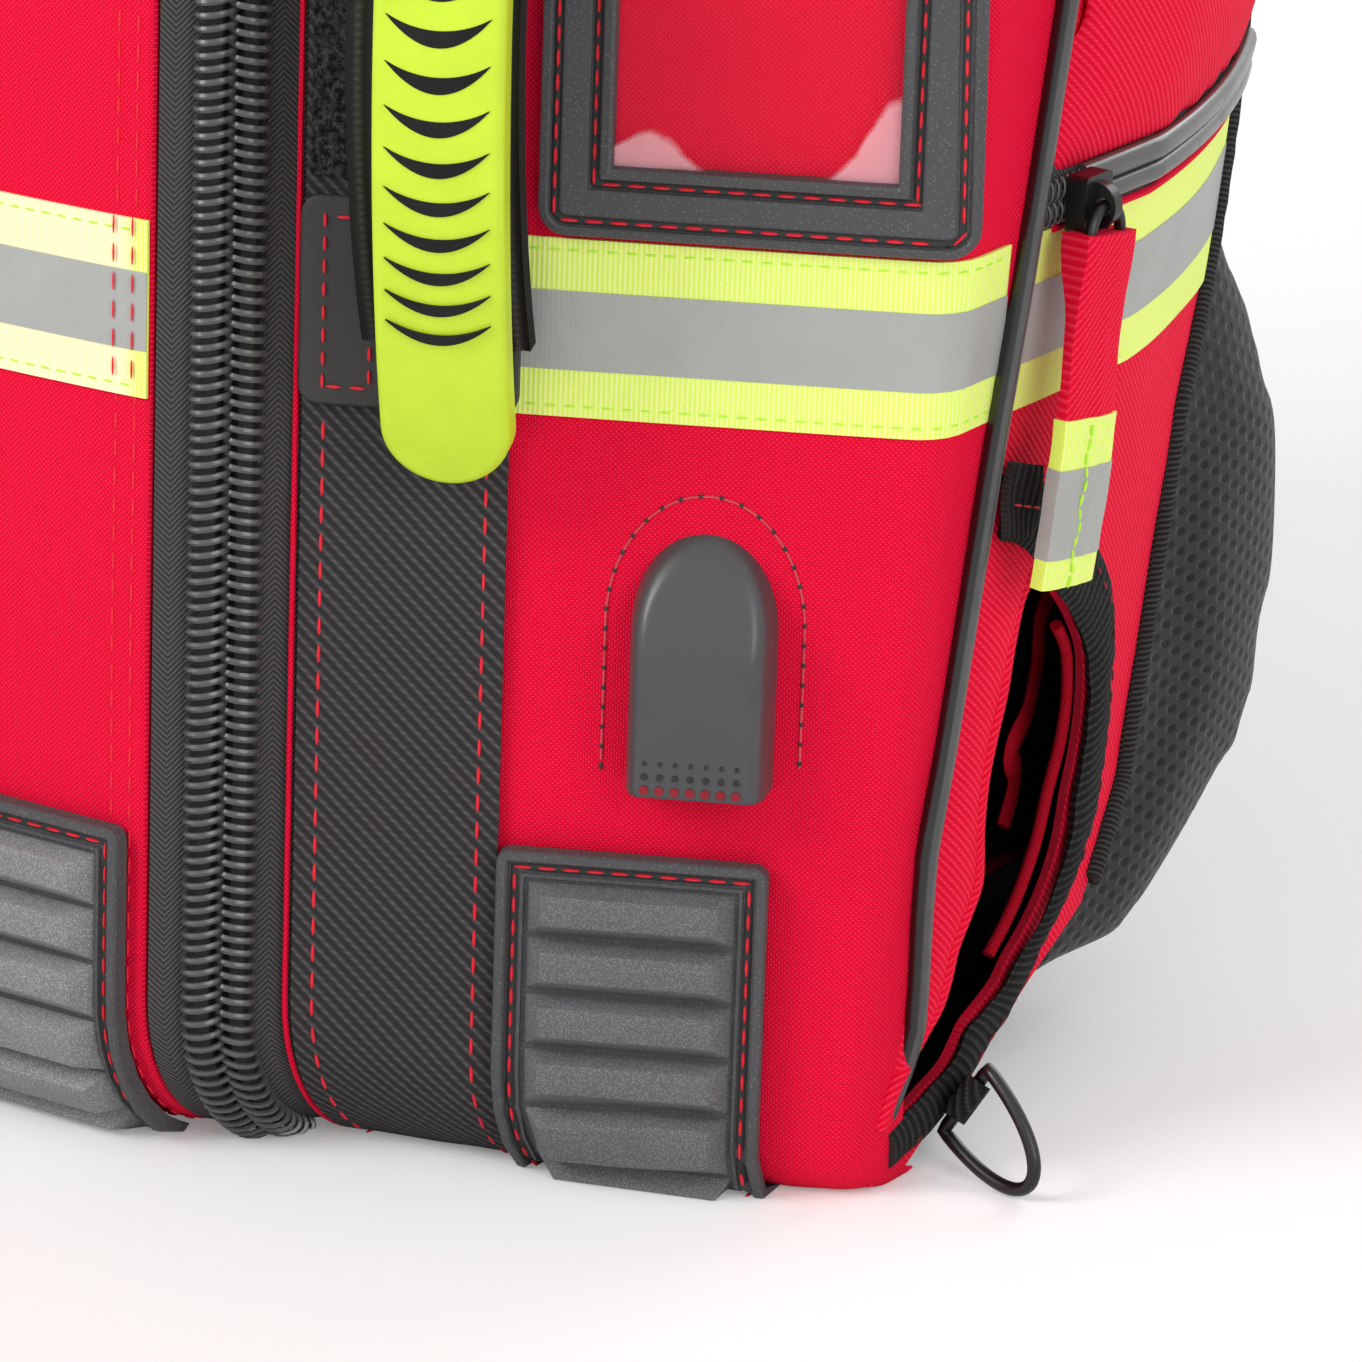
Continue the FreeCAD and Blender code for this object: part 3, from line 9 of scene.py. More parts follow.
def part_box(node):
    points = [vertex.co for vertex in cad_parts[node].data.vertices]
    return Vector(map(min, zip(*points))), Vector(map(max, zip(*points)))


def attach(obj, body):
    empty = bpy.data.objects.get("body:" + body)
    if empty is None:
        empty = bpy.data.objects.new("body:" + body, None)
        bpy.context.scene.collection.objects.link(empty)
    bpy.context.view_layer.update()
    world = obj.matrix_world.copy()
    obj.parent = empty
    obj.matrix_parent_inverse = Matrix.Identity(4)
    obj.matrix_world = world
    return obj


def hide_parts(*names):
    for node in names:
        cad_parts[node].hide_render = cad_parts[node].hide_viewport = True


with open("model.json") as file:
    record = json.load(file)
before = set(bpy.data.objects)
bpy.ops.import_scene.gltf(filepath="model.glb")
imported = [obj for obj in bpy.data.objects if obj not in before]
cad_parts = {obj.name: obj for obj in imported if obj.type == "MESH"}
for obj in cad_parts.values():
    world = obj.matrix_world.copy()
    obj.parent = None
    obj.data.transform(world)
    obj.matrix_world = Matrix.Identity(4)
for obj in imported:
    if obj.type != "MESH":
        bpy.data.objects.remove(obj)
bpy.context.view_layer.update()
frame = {"nodes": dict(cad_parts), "record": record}

# Trauma backpack, in metres. X to the right, Y to the back, Z up. Flat pieces are modelled in the
# wall's own coordinates (along, up, outward) and then laid on the wall.

MM = 0.001


def mm(*sizes):
    """Sizes given in mm, in metres."""
    return tuple(size * MM for size in sizes)


# --- selection and small helpers --------------------------------------------------------------


def deselect():
    bpy.ops.object.select_all(action="DESELECT")


def activate(piece):
    deselect()
    piece.select_set(True)
    bpy.context.view_layer.objects.active = piece


def edit(piece, whole=False):
    """Edit mode, with all or nothing of the piece selected."""
    activate(piece)
    bpy.ops.object.mode_set(mode="EDIT")
    bpy.ops.mesh.select_all(action="SELECT" if whole else "DESELECT")


def leave_edit():
    bpy.ops.object.mode_set(mode="OBJECT")


def face_outwards():
    """Turns all faces outwards and leaves edit mode."""
    bpy.ops.mesh.select_all(action="SELECT")
    bpy.ops.mesh.normals_make_consistent(inside=False)
    leave_edit()


def choose(piece, kind, test):
    """Selects faces or edges of a piece in edit mode, by their place or normal."""
    bpy.ops.mesh.select_mode(type=kind)
    mesh = bmesh.from_edit_mesh(piece.data)
    for item in {"FACE": mesh.faces, "EDGE": mesh.edges}[kind]:
        item.select_set(test(item))
    mesh.select_flush_mode()
    bmesh.update_edit_mesh(piece.data)


def modify(piece, kind, **settings):
    """Adds a modifier and applies it."""
    activate(piece)
    modifier = piece.modifiers.new(kind.title(), kind)
    for key, value in settings.items():
        setattr(modifier, key, value)
    bpy.ops.object.modifier_apply(modifier=modifier.name)
    return piece


def smooth(piece, angle=40):
    activate(piece)
    bpy.ops.object.shade_smooth_by_angle(angle=math.radians(angle))
    return piece


def named(name):
    piece = bpy.context.object
    piece.name = piece.data.name = name
    return piece


def fresh(name, add, **settings):
    """A new primitive by its operator, with nothing else selected."""
    deselect()
    add(**settings)
    return named(name)


def box_between(name, low, high):
    """A cube stretched between two corners."""
    piece = fresh(name, bpy.ops.mesh.primitive_cube_add, size=1)
    low, high = Vector(low), Vector(high)
    piece.data.transform(Matrix.Translation((low + high) / 2) @ Matrix.Diagonal((*(high - low), 1)))
    return piece


def sheet_between(name, low, high, step, level=0.0):
    """A flat grid between two corners, with faces of about one step."""
    wide, tall = high[0] - low[0], high[1] - low[1]
    columns, rows = max(1, round(wide / step)), max(1, round(tall / step))
    piece = fresh(name, bpy.ops.mesh.primitive_grid_add, x_subdivisions=columns, y_subdivisions=rows, size=1)
    centre = Vector(((low[0] + high[0]) / 2, (low[1] + high[1]) / 2, level))
    piece.data.transform(Matrix.Translation(centre) @ Matrix.Diagonal((wide, tall, 1, 1)))
    return piece


def unit_grid(name, columns, rows):
    """A grid over the unit square, for pieces with curved edges."""
    piece = fresh(name, bpy.ops.mesh.primitive_grid_add, x_subdivisions=columns, y_subdivisions=rows, size=1)
    piece.data.transform(Matrix.Translation((0.5, 0.5, 0)))
    return piece


def lay_map(piece, pick):
    """Lays the UV map, in metres, from each point's place and the way its face looks."""
    mesh = piece.data
    layer = mesh.uv_layers.active or mesh.uv_layers.new(name="UVMap")
    for face in mesh.polygons:
        for loop in face.loop_indices:
            layer.data[loop].uv = pick(mesh.vertices[mesh.loops[loop].vertex_index].co, face.normal)
    return piece


def flat_map(piece):
    return lay_map(piece, lambda spot, facing: (spot.x, spot.y))


def wrap_map(piece):
    """Map by the way each face looks, so that a knit keeps its size all round."""

    def pick(spot, facing):
        if abs(facing.x) > 0.75:
            return spot.y, spot.z
        return (spot.x, spot.y) if abs(facing.z) > 0.85 else (spot.x, spot.z)

    return lay_map(piece, pick)


def reshape(piece, move):
    """Moves every point of a piece by a function of its place."""
    for vertex in piece.data.vertices:
        vertex.co = move(*vertex.co)
    piece.data.update()
    return piece


def laid(piece, thickness, place, rise=None, warp=None, angle=40):
    """Cloth, tape or rubber laid on a wall: warp shapes its outline, rise its surface."""
    if warp:
        reshape(piece, warp)
    if rise:
        reshape(piece, lambda x, y, z: Vector((x, y, z + rise(x, y))))
    flat_map(piece)
    modify(piece, "SOLIDIFY", thickness=thickness, offset=-1)
    return smooth(reshape(piece, place), angle)


def strip(name, low, high, step, thickness, place, **shape):
    return laid(sheet_between(name, low, high, step), thickness, place, **shape)


def close_seams(piece):
    """Joins points that meet and turns all faces outwards."""
    edit(piece, whole=True)
    bpy.ops.mesh.remove_doubles(threshold=0.02 * MM)
    face_outwards()
    return piece


def ring_sheet(name, outline, profile, middle_point=None):
    """A moulding swept round an outline. The profile lists inset and height from rim to middle."""
    rows = [outline(inset) for inset, _ in profile]
    count = len(rows[0])
    if middle_point:
        rows.append([middle_point] * count)
    heights = [height for _, height in profile]
    heights.append(heights[-1])
    piece = unit_grid(name, count, len(rows) - 1)
    for index, vertex in enumerate(piece.data.vertices):
        row, column = divmod(index, count + 1)
        vertex.co = (*rows[row][column % count], heights[row])
    return close_seams(piece)


def moulded(piece, place, base, angle=40):
    """A moulding mapped flat and set on a wall at its base height."""
    reshape(piece, lambda x, y, z: Vector((x, y, z + base)))
    return smooth(reshape(flat_map(piece), place), angle)


def line(start, end, count):
    """Evenly spaced points from one end to the other."""
    return [Vector(start).lerp(Vector(end), step / count) for step in range(count + 1)]


def run_lengths(points):
    """Distance along a run of points, at each of them."""
    lengths = [0]
    for start, end in zip(points, points[1:]):
        lengths.append(lengths[-1] + (end - start).length)
    return lengths


ARC_STEPS, SIDE_STEPS = 6, 10


def rounded_box(low, high, radius):
    """Outline of a rectangle with round corners, as a function of inset."""

    def outline(inset):
        turn = max(radius - inset, 0.3 * MM)
        left, bottom = low[0] + inset + turn, low[1] + inset + turn
        right, top = high[0] - inset - turn, high[1] - inset - turn
        arcs = []
        for (x, y), start in (((right, bottom), -90), ((right, top), 0), ((left, top), 90), ((left, bottom), 180)):
            angles = [math.radians(start + 90 * step / ARC_STEPS) for step in range(ARC_STEPS + 1)]
            arcs.append([(x + turn * math.cos(angle), y + turn * math.sin(angle)) for angle in angles])
        points = []
        for arc, after in zip(arcs, arcs[1:] + arcs[:1]):
            points += arc + [tuple(spot) for spot in line(arc[-1], after[0], SIDE_STEPS)[1:-1]]
        return points

    return outline


def sampled(points, pitch):
    """Places at an even pitch along a run of flat points, each with its direction."""
    spots, carry = [], pitch / 2
    for start, end in zip(points, points[1:]):
        start, end = Vector(start), Vector(end)
        run = (end - start).length
        while carry < run:
            spots.append((start + (end - start) * (carry / run), (end - start).normalized()))
            carry += pitch
        carry -= run
    return spots


def frame_on(place, spot, heading, out=0.0):
    """Matrix at a flat spot of a wall: X along the heading, Z outward."""
    reach = 0.2 * MM
    here = place(spot[0], spot[1], out)
    ahead = (place(spot[0] + heading[0] * reach, spot[1] + heading[1] * reach, out) - here).normalized()
    outward = (place(spot[0], spot[1], out + reach) - here).normalized()
    side = outward.cross(ahead).normalized()
    return Matrix.Translation(here) @ Matrix((ahead, side, ahead.cross(side))).transposed().to_4x4()


def copies(name, source, places):
    """One piece made of copies of a source piece, which is then removed."""
    spots, faces = [], []
    base = [vertex.co.copy() for vertex in source.data.vertices]
    loops = [tuple(face.vertices) for face in source.data.polygons]
    for place in places:
        start = len(spots)
        spots.extend(place @ spot for spot in base)
        faces.extend(tuple(start + index for index in face) for face in loops)
    mesh = bpy.data.meshes.new(name)
    mesh.from_pydata(spots, [], faces)
    mesh.update()
    piece = bpy.data.objects.new(name, mesh)
    bpy.context.scene.collection.objects.link(piece)
    bpy.data.objects.remove(source)
    return smooth(piece)


def bead(long, wide, tall, turned=True):
    """One stitch or needle mark: a coarse ball, drawn out along X."""
    ball = fresh("stitch", bpy.ops.mesh.primitive_uv_sphere_add, segments=6, ring_count=4, radius=1)
    if turned:
        ball.data.transform(Matrix.Rotation(math.pi / 2, 4, "Y"))
    ball.data.transform(Matrix.Diagonal((long, wide, tall, 1)))
    return ball


def stitch_row(name, points, place, pitch=5.2, length=3.6, radius=0.34, tall=None, out=0.1 * MM):
    """A row of machine stitches along flat points of a wall. Pitch and stitch sizes are in mm."""
    height = out if callable(out) else lambda x, y: out
    places = [frame_on(place, spot, heading, height(*spot)) for spot, heading in sampled(points, pitch * MM)]
    return copies(name, bead(length / 2 * MM, radius * MM, (tall or radius) * MM), places)


def tube_along(name, spots, place, radius, out, sides=10, squash=1.0, wave=lambda column: 1):
    """A round cord that follows flat points of a wall."""
    last = len(spots) - 1
    piece = unit_grid(name, last, sides)
    frames = []
    for index, spot in enumerate(spots):
        ahead = spots[min(index + 1, last)] - spots[max(index - 1, 0)]
        frames.append(frame_on(place, spot, ahead.normalized(), out(index / last) if callable(out) else out))
    lengths = run_lengths(spots)
    lay_map(piece, lambda spot, facing: (lengths[round(spot.x * last)], spot.y * 2 * math.pi * radius))

    def wrap(x, y, z):
        column = round(x * last)
        turn, wide = 2 * math.pi * y, radius * wave(column)
        return frames[column] @ Vector((0, wide * math.cos(turn), -wide * squash * math.sin(turn)))

    reshape(piece, wrap)
    edit(piece, whole=True)
    bpy.ops.mesh.remove_doubles(threshold=0.01 * MM)
    choose(piece, "EDGE", lambda edge: edge.is_boundary)
    bpy.ops.mesh.fill_holes(sides=sides + 2)
    face_outwards()
    return smooth(piece, 60)


def joined(name, pieces):
    """Several pieces as one object."""
    activate(pieces[0])
    for piece in pieces:
        piece.select_set(True)
    bpy.ops.object.join()
    return named(name)


def done(piece, finish, slot, body, *nodes):
    """Gives a finished piece its material, the body it rides on and the nodes it stands for. The slot is not used."""
    piece.data.materials.clear()
    piece.data.materials.append(finish)
    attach(piece, body)
    if nodes:
        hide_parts(*nodes)
    return piece


def both_sides(piece, base, finish, slot, body="pack", node=None):
    """Finishes a right-hand piece and its mirror image. {} in a body or node is the side's name."""
    twin = piece.copy()
    twin.data = piece.data.copy()
    bpy.context.scene.collection.objects.link(twin)
    twin.data.transform(Matrix.Diagonal((-1, 1, 1, 1)))
    twin.data.flip_normals()
    for target, side in ((piece, "right"), (twin, "left")):
        target.name = target.data.name = base + "_" + side
        done(target, finish, slot, body.format(side), *([node.format(side)] if node else []))
    return piece, twin


# --- the pack's walls -------------------------------------------------------------------------

FACET_ANGLE = math.radians(25.6)
ALONG = Vector((math.cos(FACET_ANGLE), math.sin(FACET_ANGLE), 0))
OUTWARD = Vector((math.sin(FACET_ANGLE), -math.cos(FACET_ANGLE), 0))
LID_LOW, LID_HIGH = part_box("front_lid")
LID_FACE = LID_LOW.y
LID_HALF = LID_HIGH.x
LID_TOP = LID_HIGH.z
PACK_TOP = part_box("top_panel")[1].z
PACK_HIGH = PACK_TOP - 6 * MM
ZIP_STEP = Vector((19.9 * MM, 18.5 * MM, 0))
FACET_START = Vector((LID_HALF, LID_FACE, 0)) + ZIP_STEP
CORNER_RADIUS = 8.6 * MM
CORNER_RUN = CORNER_RADIUS * (math.pi / 2 - FACET_ANGLE)
TAPER_TOP = 230 * MM
FACET_AT_FLOOR, FACET_ABOVE = mm(98, 114)
PIPING_RUN_FLOOR, PIPING_RUN_ABOVE = mm(1, 18)
TUCK_AT_LID, TUCK_AT_CORNER = mm(32, 9)
BOW_START = 19 * MM
BOW_MIDDLE = Vector((58, 9.5)) * MM
BOW_REAR = Vector((105, 29.4)) * MM


def clamp(share):
    return min(1, max(0, share))


def read_off(pairs, at):
    """Value read off (place, value) pairs given in mm, straight between them."""
    at = at / MM
    if at <= pairs[0][0]:
        return pairs[0][1] * MM
    for low, high in zip(pairs, pairs[1:]):
        if at <= high[0]:
            return (low[1] + (high[1] - low[1]) * (at - low[0]) / (high[0] - low[0])) * MM
    return pairs[-1][1] * MM


def facet_length(up):
    return FACET_AT_FLOOR + clamp(up / TAPER_TOP) * (FACET_ABOVE - FACET_AT_FLOOR)


def piping_run(up):
    return PIPING_RUN_FLOOR + clamp(up / TAPER_TOP) * (PIPING_RUN_ABOVE - PIPING_RUN_FLOOR)


def front_run(up):
    """Whole width of the front panel at one height, from the zipper to the piping."""
    return facet_length(up) + CORNER_RUN + piping_run(up)


def corner_end(up):
    """Where the front corner has turned to run straight back."""
    turn = Vector((1 - math.sin(FACET_ANGLE), math.cos(FACET_ANGLE), 0)) * CORNER_RADIUS
    return FACET_START + ALONG * facet_length(up) + turn


def piping_back(up):
    return corner_end(up).y + piping_run(up)


def tucked(radius, up, out):
    """Near the floor a wall turns under on an arc. Returns height, distance back and outward offset."""
    if up >= radius:
        return up, 0.0, out
    turn = (radius - up) / radius
    under = max(0.0, turn - math.pi / 2)
    turn = min(turn, math.pi / 2)
    height = radius - radius * math.sin(turn) - out * math.sin(turn)
    back = radius * (1 - math.cos(turn)) + under * radius
    return max(height, 0.2 * MM), back, out * math.cos(turn)


def tuck_radius(along):
    """The front tucks under widely beside the lid and hardly at all at the corner."""
    return TUCK_AT_LID + (TUCK_AT_CORNER - TUCK_AT_LID) * clamp((along - 5 * MM) / (85 * MM))


def on_front(along, up, out):
    """From flat to the front facet, its rounded corner and the short run behind it."""
    height, back, out = tucked(tuck_radius(along), up, out)
    straight = facet_length(up)
    shift = Vector((0, back, height))
    if along <= straight:
        return FACET_START + ALONG * along + OUTWARD * out + shift
    centre = FACET_START + ALONG * straight - OUTWARD * CORNER_RADIUS
    turn = (along - straight) / CORNER_RADIUS
    if along <= straight + CORNER_RUN:
        facing = OUTWARD * math.cos(turn) + ALONG * math.sin(turn)
        return centre + facing * (CORNER_RADIUS + out) + shift
    return centre + Vector((CORNER_RADIUS + out, along - straight - CORNER_RUN, 0)) + shift


def circle_through(first, second, third):
    """Centre and radius of the circle through three flat points."""
    a, b = second - first, third - first
    cross = 2 * (a.x * b.y - a.y * b.x)
    x = (b.y * a.length_squared - a.y * b.length_squared) / cross
    y = (a.x * b.length_squared - b.x * a.length_squared) / cross
    return first + Vector((x, y)), Vector((x, y)).length


BOW_CENTRE, BOW_RADIUS = circle_through(Vector((BOW_START, 0)), BOW_MIDDLE, BOW_REAR)


def on_side(back, up, out):
    """From flat to the side wall, which runs straight back and then bows inward."""
    wide = corner_end(up).x
    if back <= BOW_START:
        return Vector((wide + out, back, up))
    lean = math.asin(max(-1, min(1, (back - BOW_CENTRE.x) / BOW_RADIUS)))
    inward = BOW_CENTRE.y - BOW_RADIUS * math.cos(lean)
    return Vector((wide - inward + out * math.cos(lean), back + out * math.sin(lean), up))


def on_lid(along, up, out):
    height, back, out = tucked(TUCK_AT_LID, up, out)
    return Vector((along, LID_FACE + back - out, height))


def on_zip(along, up, out):
    """The sloping step between the lid and the facet, measured from the lid's edge."""
    height, back, out = tucked(TUCK_AT_LID, up, out)
    slope = ZIP_STEP.normalized()
    facing = Vector((slope.y, -slope.x, 0))
    return Vector((LID_HALF, LID_FACE + back, height)) + slope * along + facing * out


def ripple(x, y, scale, seed):
    """Soft unevenness of stretched cloth."""
    return noise.noise(Vector((x / scale, y / scale, seed)))


# --- materials --------------------------------------------------------------------------------


class Nodes:
    """Adds and joins the nodes of one tree."""

    def __init__(self, tree):
        self.tree = tree

    def add(self, kind, *values, **settings):
        item = self.tree.nodes.new("ShaderNode" + kind)
        for key, value in settings.items():
            setattr(item, key, value)
        for socket, value in zip(item.inputs, values):
            self.feed(socket, value)
        return item

    def feed(self, socket, value):
        if isinstance(value, bpy.types.NodeSocket):
            self.tree.links.new(value, socket)
        elif value is not None:
            socket.default_value = value

    def maths(self, operation, *values):
        return self.add("Math", *values, operation=operation).outputs[0]

    def times(self, first, second):
        return self.maths("MULTIPLY", first, second)

    def plus(self, first, second):
        return self.maths("ADD", first, second)

    def wave(self, place, turns):
        """Sine of a place times turns, from 0 to 1."""
        return self.maths("MULTIPLY_ADD", self.maths("SINE", self.times(place, turns)), 0.5, 0.5)

    def ramp(self, value, low, high, start=0.0, end=1.0):
        return self.add("MapRange", value, low, high, start, end).outputs[0]

    def blend(self, share, low, high):
        """A colour between two colours."""
        item = self.add("Mix", data_type="RGBA")
        for index, value in ((0, share), (6, low), (7, high)):
            self.feed(item.inputs[index], (*value, 1) if isinstance(value, tuple) else value)
        return item.outputs[2]

    def split(self, vector):
        return self.add("SeparateXYZ", vector).outputs

    def group(self, name, **values):
        item = self.add("Group", node_tree=bpy.data.node_groups[name])
        for key, value in values.items():
            self.feed(item.inputs[key], value)
        return item.outputs


def group(build, name, inputs, outputs):
    """Makes a shader group: build gets its nodes and inputs and returns its outputs' values."""
    tree = bpy.data.node_groups.new(name, "ShaderNodeTree")
    for way, labels in (("INPUT", inputs), ("OUTPUT", outputs)):
        for label in labels:
            kind = "NodeSocketVector" if label == "Vector" else "NodeSocketFloat"
            tree.interface.new_socket(label, in_out=way, socket_type=kind)
    nodes = Nodes(tree)
    values = build(nodes, tree.nodes.new("NodeGroupInput").outputs)
    result = tree.nodes.new("NodeGroupOutput")
    for label, value in zip(outputs, values):
        nodes.feed(result.inputs[label], value)


def plain_weave(nodes, given):
    """Over and under threads: the warp's crossings glint, the weft's lie lower."""
    pitch = nodes.add("CombineXYZ", given["Pitch"], given["Pitch"], given["Pitch"]).outputs[0]
    x, y, _ = nodes.split(nodes.add("VectorMath", given["Vector"], pitch, operation="DIVIDE").outputs[0])
    warp, weft = (nodes.maths("SINE", nodes.times(way, math.pi)) for way in (x, y))
    crossing = nodes.times(warp, weft)
    height = nodes.maths("POWER", nodes.maths("ABSOLUTE", crossing), 0.5)
    return height, nodes.maths("POWER", nodes.maths("MAXIMUM", crossing, 0.0), 0.7)


def twill(nodes, given):
    """Diagonal ribs with fine threads across them."""
    x, y, _ = nodes.split(given["Vector"])
    turns = nodes.maths("DIVIDE", 2 * math.pi, given["Pitch"])
    rib = nodes.wave(nodes.plus(x, nodes.times(y, given["Slant"])), turns)
    thread = nodes.maths("SINE", nodes.times(y, nodes.times(turns, 2.0)))
    height = nodes.times(rib, nodes.maths("MULTIPLY_ADD", thread, 0.15, 0.85))
    return height, nodes.maths("POWER", height, 2.0)


def herringbone(nodes, given):
    """Ribs that turn back at each band's middle, as in zipper tape."""
    x, y, _ = nodes.split(given["Vector"])
    fold = nodes.maths("PINGPONG", x, given["Band"])
    height = nodes.wave(nodes.plus(y, fold), nodes.maths("DIVIDE", 2 * math.pi, given["Pitch"]))
    return height, nodes.maths("POWER", height, 3.0)


def holes(nodes, given):
    """Staggered oval holes of spacer mesh."""
    x, y, _ = nodes.split(given["Vector"])
    across = nodes.maths("DIVIDE", x, given["Pitch"])
    upward = nodes.maths("DIVIDE", y, nodes.times(given["Pitch"], given["Tall"]))
    shift = nodes.times(nodes.maths("MODULO", nodes.maths("FLOOR", upward), 2.0), 0.5)
    cell_x = nodes.maths("SUBTRACT", nodes.maths("FRACT", nodes.plus(across, shift)), 0.5)
    cell_y = nodes.maths("SUBTRACT", nodes.maths("FRACT", upward), 0.5)
    reach = nodes.add("CombineXYZ", cell_x, nodes.times(cell_y, 0.44), 0.0).outputs[0]
    distance = nodes.add("VectorMath", reach, operation="LENGTH").outputs["Value"]
    return nodes.ramp(distance, 0.15, 0.21, 1.0, 0.0), nodes.ramp(distance, 0.14, 0.27)


def mottle(nodes, given):
    """Soft uneven patches, for handling wear and dye."""
    cloud = nodes.add("TexNoise", given["Vector"], None, given["Scale"], 3.0, 0.6)
    return (nodes.ramp(cloud.outputs["Fac"], given["Low"], given["High"]),)


def speckle(nodes, given):
    """Fine pale flecks, as on moulded rubber."""
    grain = nodes.add("TexVoronoi", given["Vector"], None, given["Scale"])
    cloud = nodes.add("TexNoise", given["Vector"], None, nodes.times(given["Scale"], 1.7), 2.0, 0.7)
    fleck = nodes.maths("SUBTRACT", given["Amount"], grain.outputs["Distance"])
    return nodes.times(nodes.maths("MAXIMUM", fleck, 0.0), 3.0), cloud.outputs["Fac"]


group(plain_weave, "plain weave", ("Vector", "Pitch"), ("Height", "Glint"))
group(twill, "twill", ("Vector", "Pitch", "Slant"), ("Height", "Glint"))
group(herringbone, "herringbone", ("Vector", "Pitch", "Band"), ("Height", "Glint"))
group(holes, "holes", ("Vector", "Pitch", "Tall"), ("Hole", "Height"))
group(mottle, "mottle", ("Vector", "Scale", "Low", "High"), ("Mask",))
group(speckle, "speckle", ("Vector", "Scale", "Amount"), ("Mask", "Height"))


class Finish(Nodes):
    """A material whose constants stand on the shader itself."""

    def __init__(self, name, roughness=0.6, specular=0.5, sheen=0.0, coat=0.0):
        self.made = bpy.data.materials.new(name)
        self.made.use_nodes = True
        super().__init__(self.made.node_tree)
        self.shader = self.tree.nodes["Principled BSDF"].inputs
        for label, value in (
            ("Roughness", roughness), ("Specular IOR Level", specular), ("Sheen Weight", sheen), ("Coat Weight", coat),
        ):
            self.shader[label].default_value = value

    def place(self, mapped):
        """Texture position: the piece's own flat map, or its place on the pack."""
        return self.add("TexCoord").outputs["UV" if mapped else "Object"]

    def patches(self, place, scale, low=0.35, high=0.7):
        return self.group("mottle", Vector=place, Scale=scale, Low=low, High=high)["Mask"]

    def flecks(self, place, scale, amount=0.1):
        return self.group("speckle", Vector=place, Scale=scale, Amount=amount)

    def colour(self, share, low, high):
        self.feed(self.shader["Base Color"], self.blend(share, low, high))

    def shade(self, base, mask, share, change):
        """The base colour, changed by a factor where the mask is full, by a share."""
        return self.blend(self.times(mask, share), base, tuple(part * change for part in base))

    def bump(self, height, strength, distance):
        relief = self.add("Bump", strength, distance)
        self.feed(relief.inputs["Height"], height)
        self.feed(self.shader["Normal"], relief.outputs[0])
        return self.made


def grey(level):
    return (level, level, level)


def woven(name, kind, base, glint, pitch, relief, mapped=True, roughness=0.8, **extra):
    """Cloth: threads of one weave, glints on their crossings and slow patches of wear. Sizes in mm."""
    cloth = Finish(name, roughness=roughness, specular=0.12)
    place = cloth.place(mapped)
    if not mapped:
        x, y, z = cloth.split(place)
        place = cloth.add("CombineXYZ", cloth.plus(x, y), cloth.plus(z, cloth.times(y, 0.37)), 0.0).outputs[0]
    threads = cloth.group(kind, Vector=place, Pitch=pitch * MM, **extra)
    worn = cloth.shade(base, cloth.patches(place, 22.0), 0.35, 0.86)
    cloth.colour(threads["Glint"], worn, glint)
    return cloth.bump(threads["Height"], 1.0, relief * MM)


RED, RED_GLINT = (0.84, 0.0, 0.032), (1.0, 0.02, 0.085)
BAND_BLACK, BAND_GLINT = (0.016, 0.015, 0.015), (0.07, 0.066, 0.066)
LIME, LIME_GLINT = (0.80, 1.0, 0.16), (0.96, 1.0, 0.45)
BARE_BLACK = grey(0.012)

red_cloth = woven("red cloth", "plain weave", RED, RED_GLINT, 0.5, 0.13)
red_cloth_solid = woven("red cloth on blocks", "plain weave", RED, RED_GLINT, 0.5, 0.13, mapped=False)
black_cloth = woven("black cloth", "plain weave", (0.018, 0.017, 0.018), grey(0.05), 0.7, 0.15, mapped=False)
black_twill = woven("black webbing", "twill", (0.028, 0.026, 0.027), (0.10, 0.093, 0.095), 2.6, 0.3, Slant=1.0)
black_twill_solid = woven(
    "black webbing on blocks", "twill", BAND_BLACK, BAND_GLINT, 2.6, 0.3, mapped=False, Slant=1.0
)
zip_cloth = woven(
    "zipper tape", "herringbone", (0.045, 0.043, 0.043), (0.125, 0.12, 0.12), 1.1, 0.15, Band=3.8 * MM
)
zip_cloth_solid = woven(
    "zipper tape on blocks", "herringbone", grey(0.014), grey(0.06), 1.6, 0.25, mapped=False, Band=3.2 * MM
)
# red cloth painted dark for the shade inside the pocket, used on its ribbon and turned-in edge
red_cloth_painted_shade = woven("shaded red cloth", "plain weave", (0.42, 0.0, 0.012), (0.55, 0.01, 0.03), 0.5, 0.13)
red_twill = woven("red twill", "twill", (0.80, 0.0, 0.027), (1.0, 0.035, 0.10), 1.7, 0.2, Slant=1.0)
knit_band = woven("knitted band", "twill", BARE_BLACK, grey(0.05), 2.0, 0.5, Slant=0.0)
ribbed_webbing = woven("ribbed webbing", "twill", BAND_BLACK, BAND_GLINT, 3.2, 0.5, Slant=0.0)
overlock = woven("overlocked edge", "twill", BARE_BLACK, grey(0.08), 1.1, 0.3, Slant=0.12)
lime_cloth = woven("lime tape", "twill", LIME, LIME_GLINT, 0.9, 0.08, roughness=0.6, Slant=0.0)


TURNED_IN, TURNED_IN_FULLY = mm(53, 56.5)
STRETCHED_LEVEL, STRETCHED_NEAR, STRETCHED_FAR = mm(142, 18, 30)
HOLE_PITCH = 6.4 * MM
LINING_FOOT_LOW, LINING_FOOT_HIGH = mm(36, 42)
# where the piping's painted grey highlight band starts and ends round the cord
PAINTED_HIGHLIGHT_START, PAINTED_HIGHLIGHT_START_FULLY, PAINTED_HIGHLIGHT_END, PAINTED_HIGHLIGHT_END_FULLY = mm(7.6, 8.4, 11.4, 11.8)


